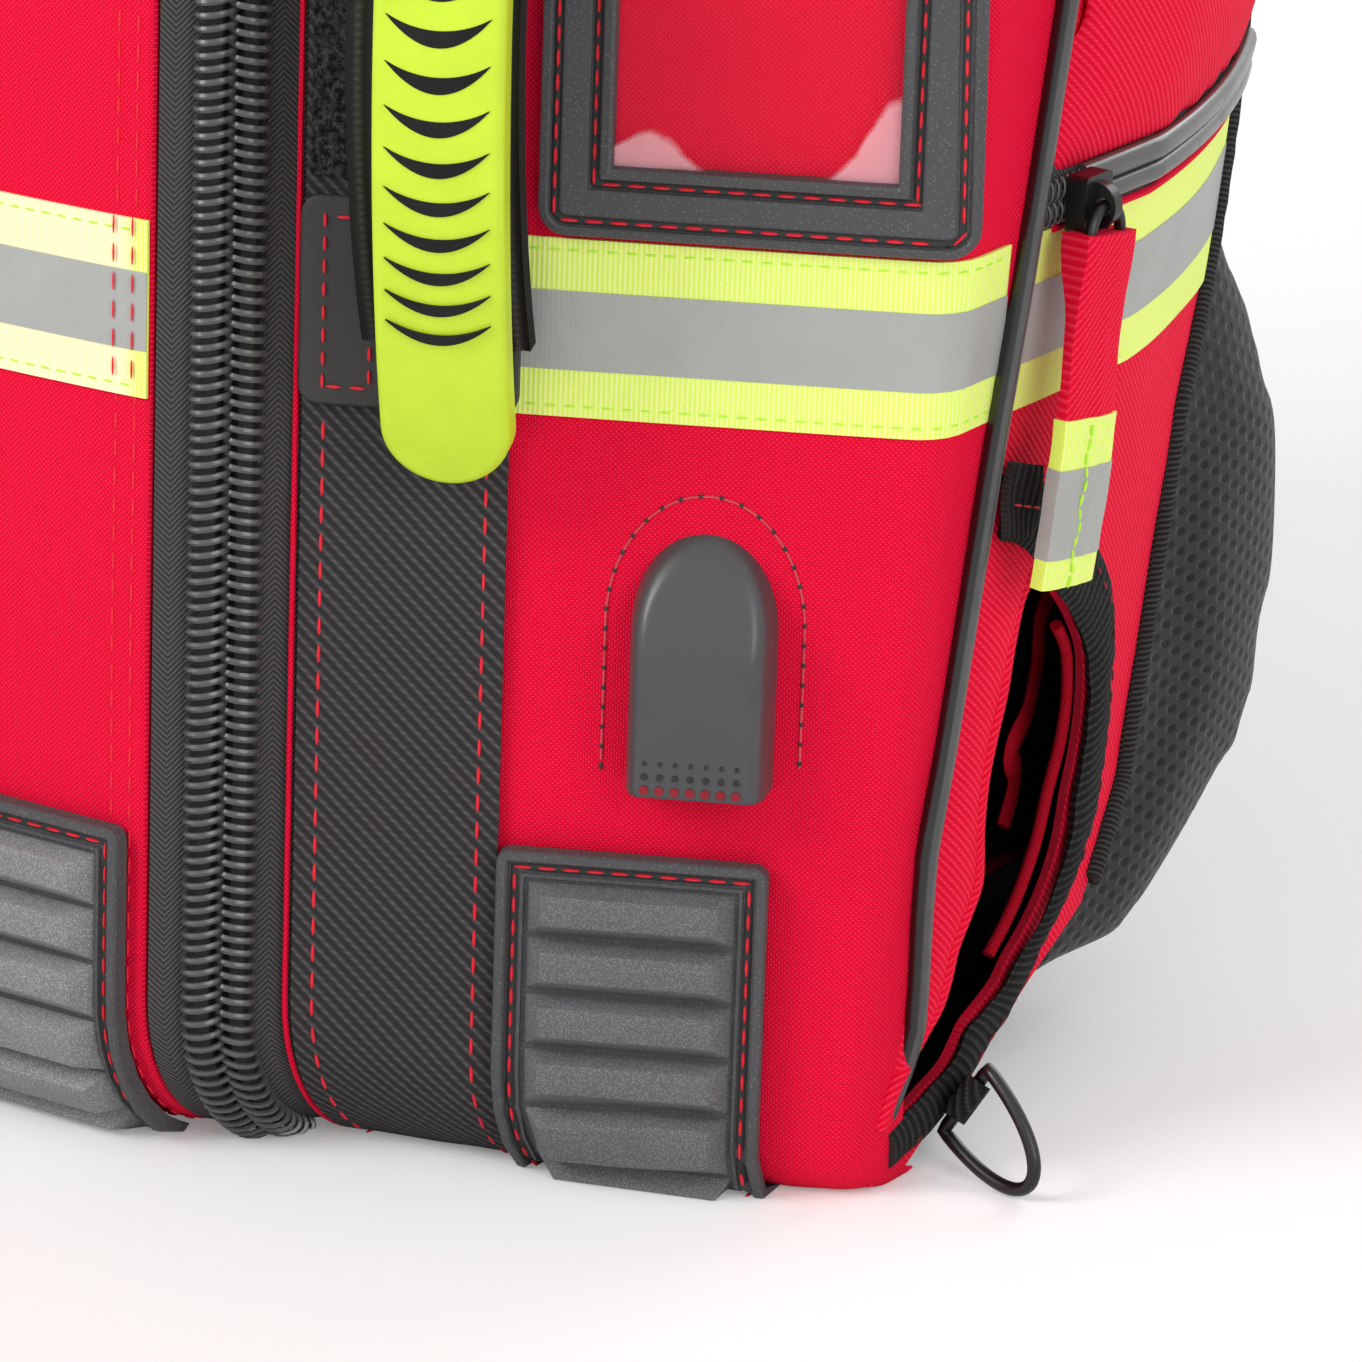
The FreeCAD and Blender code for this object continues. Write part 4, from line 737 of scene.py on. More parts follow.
def painted_light_lime():
    """Lime tape with painted light: pale, as if brightly lit, along the lid, and plain lime where it is turned in at
    the ends.
    """
    tape = Finish("lime tape painted light", specular=0.12)
    place = tape.place(True)
    threads = tape.group("twill", Vector=place, Pitch=0.9 * MM, Slant=0.0)
    turned = tape.ramp(tape.maths("ABSOLUTE", tape.split(place)[0]), TURNED_IN, TURNED_IN_FULLY)
    # the pale colours are painted light on the tape along the lid; the turned-in ends keep the tape's own lime
    dark = tape.blend(turned, (0.95, 0.89, 0.50), LIME)
    tape.colour(threads["Glint"], dark, tape.blend(turned, (1.0, 0.95, 0.72), LIME_GLINT))
    return tape.bump(threads["Height"], 1.0, 0.08 * MM)


def spacer_mesh():
    """Open spacer mesh: grey knit with staggered dark holes, stretched shut along the pad's middle."""
    mesh = Finish("spacer mesh", roughness=0.8, sheen=0.2, specular=0.2)
    place = mesh.place(True)
    openings = mesh.group("holes", Vector=place, Pitch=HOLE_PITCH, Tall=0.31)
    knit = mesh.group("plain weave", Vector=place, Pitch=0.5 * MM)
    yarn = mesh.blend(knit["Glint"], (0.022, 0.021, 0.022), (0.04, 0.038, 0.04))
    stretched = mesh.maths("ABSOLUTE", mesh.maths("SUBTRACT", mesh.split(place)[1], STRETCHED_LEVEL))
    shown = mesh.ramp(stretched, STRETCHED_NEAR, STRETCHED_FAR, 0.25)
    mesh.colour(mesh.times(openings["Hole"], shown), yarn, grey(0.004))
    return mesh.bump(openings["Height"], 0.6, 0.4 * MM)


def rubber(name, base, fleck, amount=0.3, scale=1400.0):
    """Moulded rubber with fine pale flecks and a dry, slightly uneven sheen."""
    made = Finish(name, roughness=0.62, specular=0.4)
    place = made.place(False)
    grain, patches = made.flecks(place, scale, amount), made.patches(place, 60.0)
    made.colour(grain["Mask"], made.shade(base, patches, 0.4, 1.25), fleck)
    made.feed(made.shader["Roughness"], made.maths("MULTIPLY_ADD", patches, 0.15, 0.52))
    return made.bump(grain["Height"], 0.6, 0.1 * MM)


def smooth_finish(name, base, roughness, coat=0.0, grain=400.0, relief=0.02 * MM):
    """Moulded plastic, enamel or thread: even colour, faint grain and handling marks."""
    made = Finish(name, roughness=roughness, coat=coat)
    place = made.place(False)
    patches = made.patches(place, 90.0, 0.4, 0.65)
    made.feed(made.shader["Base Color"], made.shade(base, patches, 0.3, 0.8))
    made.feed(made.shader["Roughness"], made.maths("MULTIPLY_ADD", patches, 0.12, roughness))
    return made.bump(made.flecks(place, grain)["Height"], 0.5, relief)


def lining_finish():
    """Black mesh lining with a red cloth foot, whose red is painted dark for the shade inside the pocket."""
    lining = Finish("lining", roughness=0.85, specular=0.1)
    place = lining.place(True)
    threads = lining.group("plain weave", Vector=place, Pitch=1.5 * MM)
    foot = lining.ramp(lining.split(place)[1], LINING_FOOT_LOW, LINING_FOOT_HIGH, 1.0, 0.0)
    black = lining.blend(threads["Glint"], (0.003, 0.003, 0.0035), (0.012, 0.012, 0.013))
    # the foot's dark red is painted shade on red cloth
    lining.colour(foot, black, (0.30, 0.0, 0.012))
    return lining.bump(threads["Height"], 1.0, 0.3 * MM)


def piping_finish():
    """Piping: a black cord with a painted highlight, a grey band along its outer flank."""
    cord = Finish("piping", roughness=0.3, coat=0.25)
    around, place = cord.split(cord.place(True))[1], cord.place(False)
    start = cord.ramp(around, PAINTED_HIGHLIGHT_START, PAINTED_HIGHLIGHT_START_FULLY)
    painted_highlight = cord.times(start, cord.ramp(around, PAINTED_HIGHLIGHT_END, PAINTED_HIGHLIGHT_END_FULLY, 1.0, 0.0))
    # the painted highlight's grey, mottled by slow patches
    worn = cord.blend(cord.patches(place, 70.0), (0.075, 0.075, 0.078), (0.05, 0.05, 0.052))
    cord.colour(painted_highlight, (0.006, 0.006, 0.007), worn)
    return cord.bump(cord.flecks(place, 300.0)["Height"], 0.3, 0.02 * MM)


def loop_pile():
    """Fuzzy loop pile: a tangle of fine dark hoops."""
    hoops = Finish("loop pile", roughness=0.9, specular=0.1)
    place = hoops.place(True)
    tangle = hoops.patches(place, 700.0, 0.4, 0.65)
    hoops.colour(tangle, grey(0.008), (0.075, 0.072, 0.072))
    return hoops.bump(hoops.plus(hoops.flecks(place, 900.0, 0.55)["Height"], tangle), 1.0, 0.6 * MM)


def silver_stripe():
    """Retroreflective stripe: satin silver with fine cross ribs."""
    stripe = Finish("silver stripe", roughness=0.45, specular=0.6)
    place = stripe.place(True)
    ribs = stripe.group("twill", Vector=place, Pitch=0.9 * MM, Slant=0.0)
    worn = stripe.times(stripe.patches(place, 80.0, 0.3, 0.7), 0.5)
    stripe.colour(worn, (0.40, 0.41, 0.39), (0.34, 0.35, 0.33))
    return stripe.bump(ribs["Height"], 0.3, 0.05 * MM)


# level and humps of the film's painted glare, in its map
FILM_GLARE_LEVEL = 187.5 * MM
FILM_GLARE_HUMPS = (mm(60, 9, 10), mm(106, 11, 18))


def clear_film():
    """Soft clear film over the card window, with painted glare: pale pink, less clear patches in low humps along its
    lower part, standing in for the lamps' reflection.
    """
    film = Finish("clear film", roughness=0.08, specular=0.8, coat=0.5)
    place = film.place(False)
    along, up, _ = film.split(film.place(True))
    level = film.maths("MULTIPLY_ADD", film.patches(place, 60.0, 0.3, 0.8), 4 * MM, FILM_GLARE_LEVEL)
    for middle, wide, tall in FILM_GLARE_HUMPS:
        reach = film.maths("DIVIDE", film.maths("SUBTRACT", along, middle), wide)
        glare_hump = film.maths("EXPONENT", film.times(film.times(reach, reach), -1.0))
        level = film.maths("MULTIPLY_ADD", glare_hump, tall, level)
    # painted glare: pale pink and less clear below the humped level
    painted_glare = film.ramp(film.maths("SUBTRACT", level, up), -0.4 * MM, 1.2 * MM)
    film.colour(painted_glare, (0.9, 0.02, 0.05), (1.0, 0.48, 0.54))
    film.feed(film.shader["Alpha"], film.maths("MULTIPLY_ADD", painted_glare, 0.42, 0.05))
    return film.bump(film.patches(place, 30.0, 0.3, 0.8), 0.8, 1.6 * MM)


mesh_knit, lining_mesh, painted_light_lime_cloth = spacer_mesh(), lining_finish(), painted_light_lime()
silver, piping_plastic, pile, film = silver_stripe(), piping_finish(), loop_pile(), clear_film()
dark_rubber = rubber("dark rubber", (0.062, 0.062, 0.066), grey(0.2))
rib_rubber = rubber("rib rubber", (0.10, 0.10, 0.107), (0.22, 0.22, 0.23), amount=0.5, scale=2600.0)
# a lighter copy of the rib rubber for the lid's ribs: painted light, for the stronger light on the lid
lid_rib_rubber_painted_light = rubber("rib rubber painted light for the lid", (0.18, 0.18, 0.187), (0.38, 0.38, 0.39), amount=0.5, scale=2600.0)
black_hide = rubber("black hide", (0.035, 0.034, 0.034), grey(0.10), amount=0.18)
black_plastic = smooth_finish("black plastic", (0.014, 0.014, 0.015), 0.42)
coil_plastic = smooth_finish("zipper coil", (0.075, 0.073, 0.075), 0.28, coat=0.3)
black_enamel = smooth_finish("black enamel", (0.004, 0.004, 0.0045), 0.3, coat=0.1)
lime_plastic = smooth_finish("lime grip", (0.60, 0.82, 0.03), 0.42, grain=900.0, relief=0.04 * MM)
# flat black for the grip's thumb slots: the black webbing behind them, and painted shade
slot_shade = smooth_finish("slot shade", grey(0.004), 0.9)
dome_rubber = smooth_finish("smooth rubber", (0.062, 0.062, 0.067), 0.3, grain=1500.0, relief=0.05 * MM)
# red cloth seen through the vents, painted dark as if in shade
vent_red_painted_shade = smooth_finish("red behind the vents in painted shade", (0.25, 0.0, 0.01), 0.6)
red_thread = smooth_finish("red thread", (0.80, 0.008, 0.03), 0.6)
dark_red_thread = smooth_finish("dark red thread", (0.22, 0.0, 0.015), 0.6)
pink_thread = smooth_finish("pale red thread", (0.62, 0.06, 0.09), 0.6)
lime_thread = smooth_finish("lime thread", (0.55, 0.95, 0.05), 0.6)
black_thread = smooth_finish("black thread", grey(0.02), 0.6)

# --- camera, floor and light ------------------------------------------------------------------

CAMERA_PLACE = Vector((0.8632, -1.2029, 0.5538))
CAMERA_TURN, CAMERA_TILT, CAMERA_ROLL = 0.5650, -0.3262, 0.0352
CAMERA_LENS = 211.5
BACKGROUND_LIGHT, BACKGROUND_SEEN = 0.55, 0.4


def set_camera():
    level = Vector((math.cos(CAMERA_TURN), math.sin(CAMERA_TURN), 0))
    forward = Vector((-math.sin(CAMERA_TURN), math.cos(CAMERA_TURN), 0))
    ahead = forward * math.cos(CAMERA_TILT) + Vector((0, 0, math.sin(CAMERA_TILT)))
    above = level.cross(ahead)
    right = level * math.cos(CAMERA_ROLL) + above * math.sin(CAMERA_ROLL)
    top = above * math.cos(CAMERA_ROLL) - level * math.sin(CAMERA_ROLL)
    data = bpy.data.cameras.new("camera")
    data.lens = CAMERA_LENS
    data.sensor_width = 36
    camera = bpy.data.objects.new("camera", data)
    bpy.context.scene.collection.objects.link(camera)
    camera.matrix_world = Matrix.Translation(CAMERA_PLACE) @ Matrix((right, top, -ahead)).transposed().to_4x4()
    bpy.context.scene.camera = camera


def add_lamp(name, place, target_high, power):
    """A soft square lamp that looks at the pack's middle line."""
    data = bpy.data.lights.new(name, "AREA")
    data.size = 1.2
    data.energy = power
    lamp = bpy.data.objects.new(name, data)
    bpy.context.scene.collection.objects.link(lamp)
    lamp.location = place
    lamp.rotation_euler = (Vector((0, 0, target_high)) - Vector(place)).to_track_quat("-Z", "Y").to_euler()


def set_light():
    """Even studio light, and a white background that looks brighter to the camera and in reflections than in the light
    it gives the pack.
    """
    world = bpy.data.worlds.new("studio")
    bpy.context.scene.world = world
    world.use_nodes = True
    nodes = Nodes(world.node_tree)
    seen = nodes.add("LightPath").outputs
    mirrored = nodes.maths("MAXIMUM", seen["Is Glossy Ray"], seen["Is Transmission Ray"])
    shown = nodes.maths("MAXIMUM", seen["Is Camera Ray"], mirrored)
    background = world.node_tree.nodes["Background"].inputs
    background["Color"].default_value = (1, 1, 1, 1)
    nodes.feed(background["Strength"], nodes.maths("MULTIPLY_ADD", shown, BACKGROUND_SEEN, BACKGROUND_LIGHT))
    add_lamp("key light", (-0.9, -2.0, 1.6), 0.2, 34)
    add_lamp("side light", (2.0, -0.9, 1.0), 0.2, 16)
    add_lamp("rear light", (0.4, 2.0, 1.4), 0.3, 14)


def set_floor():
    floor = fresh("floor", bpy.ops.mesh.primitive_circle_add, vertices=96, radius=6, fill_type="NGON")
    pale = Finish("pale floor", roughness=0.9, specular=0.1)
    seen = pale.add("LightPath").outputs["Is Camera Ray"]
    pale.shader["Base Color"].default_value = (*grey(0.88), 1)
    pale.shader["Emission Color"].default_value = (1, 1, 1, 1)
    pale.feed(pale.shader["Emission Strength"], pale.times(seen, 0.18))
    floor.data.materials.append(pale.made)


bpy.context.scene.view_settings.view_transform = "Standard"
set_camera()
set_light()
set_floor()

# --- carried-over nodes -----------------------------------------------------------------------

SLOT_FINISH = {
    "red_fabric": red_cloth_solid,
    "black_fabric": black_cloth,
    "spacer_mesh": black_cloth,
    "black_webbing": black_twill_solid,
    "zip_tape": zip_cloth_solid,
    "black_coil": coil_plastic,
    "black_metal": black_enamel,
    "lime_grip": lime_plastic,
    "dark_rubber": dark_rubber,
    "reflective_tape": silver,
    "clear_film": film,
    "black_plastic": black_plastic,
    "socket_plastic": black_plastic,
}
for part in frame["record"]["subparts"]:
    node = frame["nodes"][part["node"]]
    node.data.materials.clear()
    node.data.materials.append(SLOT_FINISH[part["material_slot"]])

# --- front panels and their sewn-on pieces ----------------------------------------------------

FOLD_OVER = [(0, 7.5), (8, 7.2), (21, 4.8), (31, 2.6), (47, 0.8), (57, -0.6), (68, -1.2), (100, 0.0), (140, 0.6)]


def front_puff(along, up):
    """Slack of the front panel: fuller in the middle, creased towards the lower corner."""
    share = along / front_run(up)
    crown = 0.9 * MM * math.sin(math.pi * clamp(share))
    slack = 0.35 * MM * ripple(along, up, 34 * MM, 2.0)
    low = math.exp(-((up - 70 * MM) / (45 * MM)) ** 2) * max(0, share - 0.55)
    return crown + slack + 1.3 * MM * low * ripple(along - up * 0.6, up * 0.35, 13 * MM, 5.0)


def front_fan(x, y, z):
    """The panel's outline, from its tucked foot to its top and free edge."""
    foot = -0.4 * tuck_radius(x * front_run(0))
    up = foot + (PACK_HIGH - foot) * y
    return Vector((x * (front_run(max(0, up)) + read_off(FOLD_OVER, up)), up, z))


def front_rise(x, y):
    edge = max(0, x - front_run(y) + 5 * MM) / (5 * MM)
    return front_puff(x, y) + 0.9 * MM * min(1.2, edge)


front_panel = laid(unit_grid("front_panel", 56, 190), 1.6 * MM, on_front, front_rise, front_fan)
both_sides(front_panel, "front_panel_cloth", red_cloth, "red_fabric", node="front_panel_{}")

edge_spots = line(mm(-0.9, -8), (-0.9 * MM, PACK_HIGH), 160)
front_edge = tube_along("front_edge_line", edge_spots, on_front, 0.55 * MM, 1.9 * MM, sides=6)
both_sides(front_edge, "front_edge_line", red_cloth, "red_fabric")

# webbing bands with their pile, and the patches that anchor the handles

WEB_LOW, WEB_HIGH = mm(0.3, 37.4)
WEB_THICK = 1.6 * MM
PILE_LOW, PILE_HIGH = mm(187, 308)
ANCHOR_LOWS = mm(145.5, 309.5)
ANCHOR_HIGH = 38 * MM
ANCHOR_PROFILE = [(0, -1.6 * MM), (0, 1.0 * MM), mm(0.5, 1.5), mm(2.0, 1.6), mm(4, 1.5)]
ANCHOR_RUN = [(4.2, 3.5), (12.5, 3.5), (12.5, 34.5), (4.2, 34.5), (4.2, 3.5)]


def web_rise(x, y):
    edge = 1 - abs(2 * (x - WEB_LOW) / (WEB_HIGH - WEB_LOW) - 1) ** 8
    return WEB_THICK + 1.0 * MM + 0.25 * MM * edge + 0.12 * MM * ripple(x, y, 25 * MM, 9.0)


def pile_rise(x, y):
    return web_rise(x, y) + 0.9 * MM + 0.5 * MM * ripple(x, y, 2.5 * MM, 14.0)


web = strip("webbing", (WEB_LOW, -10 * MM), (WEB_HIGH, PACK_HIGH), 3.2 * MM, WEB_THICK, on_front, rise=web_rise)
both_sides(web, "webbing", black_twill, "black_webbing", node="webbing_bands")
pile_strip = strip(
    "pile", (WEB_LOW + 1 * MM, PILE_LOW), (WEB_HIGH - 1.5 * MM, PILE_HIGH), 2.2 * MM, 1.0 * MM, on_front,
    rise=pile_rise,
)
both_sides(pile_strip, "webbing_pile", pile, "black_webbing")

WEB_SEAMS = mm(4.2, 33.6)
WEB_SEAM_RUNS = (mm(-8, 144), (348 * MM, PACK_HIGH))
stitch_rows = [
    stitch_row("webbing_stitches", [(inset, low), (inset, high)], on_front, out=2.8 * MM)
    for inset in WEB_SEAMS
    for low, high in WEB_SEAM_RUNS
]
for name, low in zip(("anchor_low", "anchor_high"), ANCHOR_LOWS):
    outline = rounded_box((WEB_LOW - 0.5 * MM, low), (WEB_HIGH + 1.6 * MM, low + ANCHOR_HIGH), 3.4 * MM)
    patch = ring_sheet(name, outline, ANCHOR_PROFILE, (19 * MM, low + 19 * MM))
    both_sides(moulded(patch, on_front, WEB_THICK + 1.4 * MM), name, black_hide, "black_webbing", node="handle_anchors")
    run = [(x * MM, low + y * MM) for x, y in ANCHOR_RUN]
    stitch_rows.append(stitch_row("anchor_stitches", run, on_front, pitch=4.2, length=2.8, out=4.75 * MM))
both_sides(joined("webbing_thread", stitch_rows), "webbing_stitches", red_thread, "red_fabric")

# reflective tape on the front panels

TAPE_LOW = 145.5 * MM
TAPE_WIDE = 32.5 * MM
TAPE_HIGH = TAPE_LOW + TAPE_WIDE
STRIPE_LOW, STRIPE_HIGH = TAPE_LOW + 8.65 * MM, TAPE_LOW + 23.05 * MM
LIME_THICK, STRIPE_THICK = mm(0.7, 0.3)


def tape_strip(name, start, end, place, base):
    """Lime tape, and the silver stripe along its middle."""
    def rise(x, y):
        return base(x, y) + LIME_THICK + 0.1 * MM * ripple(x, y, 18 * MM, 3.0)

    lime = strip(name, (start, TAPE_LOW), (end, TAPE_HIGH), 2.6 * MM, LIME_THICK, place, rise=rise)
    stripe = strip(
        name, (start, STRIPE_LOW), (end, STRIPE_HIGH), 2.6 * MM, STRIPE_THICK, place,
        rise=lambda x, y: rise(x, y) + 0.2 * MM,
    )
    return lime, stripe


def tape_stitches(start, end, place, base):
    return joined("tape_stitches", [
        stitch_row(
            "tape_row", line((start, level), (end, level), 40), place, pitch=3.4, length=2.2, radius=0.22, tall=0.2,
            out=lambda x, y: base(x, y) + 0.75 * MM,
        )
        for level in (TAPE_LOW + 2 * MM, TAPE_HIGH - 2 * MM)
    ])


front_end = front_run(TAPE_LOW + TAPE_WIDE / 2) - 1.5 * MM
lime, stripe = tape_strip("front_tape", WEB_HIGH + 0.8 * MM, front_end, on_front, front_puff)
both_sides(lime, "front_tape_cloth", lime_cloth, "reflective_tape", node="front_tape")
both_sides(stripe, "front_tape_stripe", silver, "reflective_tape")
tape_thread = tape_stitches(WEB_HIGH + 2 * MM, front_end - 1 * MM, on_front, front_puff)
both_sides(tape_thread, "front_tape_stitches", lime_thread, "reflective_tape")

# --- lid and main zipper ----------------------------------------------------------------------

LID_THICK = 12 * MM
LID_SEAMS = mm(3.1, 7.0)
LID_CROWN = 16 * MM


def lid_puff(x, y):
    """The padded lid: full in the middle, drawn in to its bound edges."""
    edge = 1 - (abs(x) / LID_HALF) ** 6
    top = 1 - max(0, (y - LID_TOP + LID_CROWN) / LID_CROWN) ** 2
    return 1.2 * MM * edge * top + 0.3 * MM * ripple(x, y, 42 * MM, 7.0)


def over_tape(x, y):
    """Height of the lid's edge stitches, which pass over the tape."""
    return lid_puff(x, y) + (1.2 if TAPE_LOW < y < TAPE_HIGH else 0.1) * MM


lid = strip("lid_panel", (-LID_HALF, -16 * MM), (LID_HALF, LID_TOP), 5 * MM, LID_THICK, on_lid, rise=lid_puff)
modify(lid, "BEVEL", width=1.2 * MM, segments=2, limit_method="ANGLE")
done(smooth(lid), red_cloth, "red_fabric", "lid", "front_lid")

lid_rows = []
for inset in LID_SEAMS:
    for side in (-1, 1):
        x = side * (LID_HALF - inset)
        run = [(x, -8 * MM + 2 * MM * step) for step in range(int((LID_TOP + 4 * MM) / (2 * MM)))]
        lid_rows.append(stitch_row("lid_row", run, on_lid, length=3.8, radius=0.25, tall=0.22, out=over_tape))
done(joined("lid_stitches", lid_rows), red_thread, "red_fabric", "lid")

lime, stripe = tape_strip("lid_tape", -LID_HALF + 0.4 * MM, LID_HALF - 0.4 * MM, on_lid, lid_puff)
tape_thread = tape_stitches(-LID_HALF + 2 * MM, LID_HALF - 2 * MM, on_lid, lid_puff)
for piece, name, finish, nodes in (
    (lime, "lid_tape_cloth", painted_light_lime_cloth, ["lid_tape"]), (stripe, "lid_tape_cloth_stripe", silver, []),
    (tape_thread, "tape_stitches", lime_thread, []),
):
    piece.name = piece.data.name = name
    done(piece, finish, "reflective_tape", "lid", *nodes)

ZIP_RUN = ZIP_STEP.length
ZIP_MID = ZIP_RUN / 2
COIL_LOW = -6 * MM
COIL_PITCH = 2.4 * MM
CORE_HALF = 2.6 * MM
COIL_AWAY, CORE_AWAY = mm(3.0, 3.2)


def zip_tape(name, start, end, top):
    def rise(x, y):
        edge = min(x - start, end - x) / (end - start)
        return 0.25 * MM * math.sin(math.pi * clamp(edge * 2)) + 0.1 * MM * ripple(x, y, 16 * MM, 4.0)

    return strip(name, (start, -14 * MM), (end, top), 2.6 * MM, 1.0 * MM, on_zip, rise=rise)


def wire_loop(around, sides, wide, deep, tall, slant=0):
    """One slanted loop of a spiral coil. Sizes in mm."""
    loop = fresh(
        "loop", bpy.ops.mesh.primitive_torus_add, major_segments=around, minor_segments=sides, major_radius=1,
        minor_radius=0.2,
    )
    turn = Matrix.Rotation(math.radians(slant), 4, "Z") @ Matrix.Rotation(math.pi / 2, 4, "X")
    loop.data.transform(turn @ Matrix.Diagonal((wide * MM, deep * MM, tall * MM, 1)))
    return loop


def coil_run(name, centre, high, slant):
    """A spiral coil as a row of slanted wire loops. The two halves of a zipper interlock."""
    low = COIL_LOW + (COIL_PITCH / 2 if slant > 0 else 0)
    spots = [(centre, low + step * COIL_PITCH) for step in range(int((high - COIL_LOW) / COIL_PITCH))]
    places = [frame_on(on_zip, spot, (1, 0), 1.7 * MM) for spot in spots]
    return copies(name, wire_loop(14, 6, 3.4, 2.4, 3.2, slant), places)


def corded_core(name, centre, high):
    """The dark cord that fills the coil's middle."""
    def rise(x, y):
        return 1.9 * MM * math.sqrt(max(0, 1 - ((x - centre) / CORE_HALF) ** 2)) + 0.3 * MM

    low, high = (centre - CORE_HALF, COIL_LOW), (centre + CORE_HALF, high)
    return strip(name, low, high, 1.3 * MM, 0.6 * MM, on_zip, rise=rise)


for part, body, way, start, end, top in (
    ("lid", "lid", -1, 1.0 * MM, ZIP_MID - 0.2 * MM, LID_TOP),
    ("body", "pack", 1, ZIP_MID + 0.2 * MM, ZIP_RUN + 0.5 * MM, PACK_HIGH),
):
    tape = zip_tape("zip_tape", start, end, top)
    both_sides(tape, part + "_zip_cloth", zip_cloth, "zip_tape", body, part + "_zip_tape")
    coil = coil_run("coil", ZIP_MID + way * COIL_AWAY, top, -9 * way)
    both_sides(coil, part + "_coil_loops", coil_plastic, "black_coil", body, part + "_zip_coil")
    core = corded_core("core", ZIP_MID + way * CORE_AWAY, top)
    both_sides(core, part + "_coil_core", black_thread, "black_coil", body)

# --- rubber guards, card frames and the socket dome -------------------------------------------

RIB_PITCH = 10.7 * MM
GUARD_LOW, GUARD_HIGH = mm(-7, 65)
GUARD_INSET = 3.25 * MM
CORNER_GUARD, LID_GUARD = mm(37.6, 86.6), mm(-56, 56)
GUARD_PROFILE = [
    (0, 0), (0, 2.9), (0.3, 3.4), (1.7, 3.5), (2.1, 3.1), (2.3, 1.9), (4.2, 1.9), (4.4, 2.6), (5.0, 2.6), (5.1, 0),
]


def in_metres(profile):
    return [(inset * MM, height * MM) for inset, height in profile]


def rib_block(length):
    """One rib: a bar whose crest is drawn in on all four sides."""
    rib = box_between("rib", (-length / 2, -4.9 * MM, 0), (length / 2, 4.9 * MM, 4.4 * MM))
    edit(rib)
    choose(rib, "FACE", lambda face: face.normal.z > 0.9)
    bpy.ops.transform.resize(value=((length - 6 * MM) / length, 0.58, 1))
    bpy.ops.transform.translate(value=(0, 0.9 * MM, 0))
    choose(rib, "EDGE", lambda edge: abs(edge.verts[0].co.x - edge.verts[1].co.x) > length / 2)
    bpy.ops.mesh.subdivide(number_cuts=9)
    choose(rib, "FACE", lambda face: face.normal.z < -0.9)
    bpy.ops.mesh.delete(type="FACE")
    leave_edit()
    return modify(rib, "BEVEL", width=0.3 * MM, segments=2, limit_method="ANGLE", angle_limit=math.radians(25))


def groove(name, spots, place, radius, out):
    """The flat dark channel that a row of stitches lies in."""
    return tube_along(name, [Vector(spot) for spot in spots], place, radius, out, sides=8, squash=0.25)


def guard(name, left, right, place, base, finish_off, rib_finish, node):
    """Moulded guard: framed edge with a stitched groove round a field of ribs."""
    rim = ring_sheet("rim", rounded_box((left, GUARD_LOW), (right, GUARD_HIGH), 2.5 * MM), in_metres(GUARD_PROFILE))
    corners = (left + 4.5 * MM, GUARD_LOW + 4 * MM), (right - 4.5 * MM, GUARD_HIGH - 4.5 * MM)
    floor = sheet_between("guard_floor", *corners, 3 * MM, 1.8 * MM)
    spots = [((left + right) / 2, 0.6 * MM + row * RIB_PITCH, 1.7 * MM) for row in range(6)]
    ribs = copies("ribs", rib_block(right - left - 11.5 * MM), [Matrix.Translation(spot) for spot in spots])
    low, high = GUARD_LOW + 2 * MM, GUARD_HIGH - GUARD_INSET
    near, far = left + GUARD_INSET, right - GUARD_INSET
    run = line((near, low), (near, high), 12) + line((near, high), (far, high), 12)[1:]
    run += line((far, high), (far, low), 12)[1:]
    channel = close_seams(groove("channel", run, place, 0.8 * MM, base + 1.9 * MM))
    finish_off(moulded(joined("guard", [rim, floor]), place, base, 30), name, dark_rubber, "dark_rubber", node)
    finish_off(moulded(ribs, place, base, 30), name + "_ribs", rib_finish, "dark_rubber")
    thread = stitch_row("thread", run, place, pitch=4.4, length=3.3, out=base + 2.15 * MM)
    finish_off(thread, name + "_stitches", red_thread, "red_fabric")
    finish_off(channel, name + "_channel", black_thread, "dark_rubber")


def on_both_corners(piece, name, finish, slot, node=None):
    both_sides(piece, name, finish, slot, node=node)


def on_the_lid(piece, name, finish, slot, node=None):
    piece.name = piece.data.name = name
    done(piece, finish, slot, "lid", *([node] if node else []))


guard("corner_guard", *CORNER_GUARD, on_front, 2.4 * MM, on_both_corners, rib_rubber, "corner_bumper_{}")
guard("lid_guard", *LID_GUARD, on_lid, 1.6 * MM, on_the_lid, lid_rib_rubber_painted_light, "lid_bumper")

# card frame: moulded border with two stitched grooves, over a clear film

CARD_LEFT, CARD_RIGHT = mm(41.5, 117.5)
CARD_LOW, CARD_HIGH = mm(179, 295)
CARD_GROOVES = mm(2.75, 9.65)
FILM_INSET = 12 * MM
CARD_PROFILE = [
    (0, 0), (0, 2.4), (0.3, 2.9), (1.3, 3.1), (1.7, 2.8), (1.9, 2.0), (3.6, 2.0), (3.8, 2.8), (4.1, 3.0), (8.3, 3.0),
    (8.6, 2.8), (8.8, 2.0), (10.5, 2.0), (10.7, 3.2), (11.0, 3.8), (12.2, 4.0), (12.8, 3.6), (13, 3.0), (13, 0),
]
card_outline = rounded_box((CARD_LEFT, CARD_LOW), (CARD_RIGHT, CARD_HIGH), 5 * MM)


def film_rise(x, y):
    wave = ripple(x, y, 22 * MM, 11.0) + 0.5 * ripple(x, y, 9 * MM, 12.0)
    return 2.6 * MM + 0.7 * MM * wave


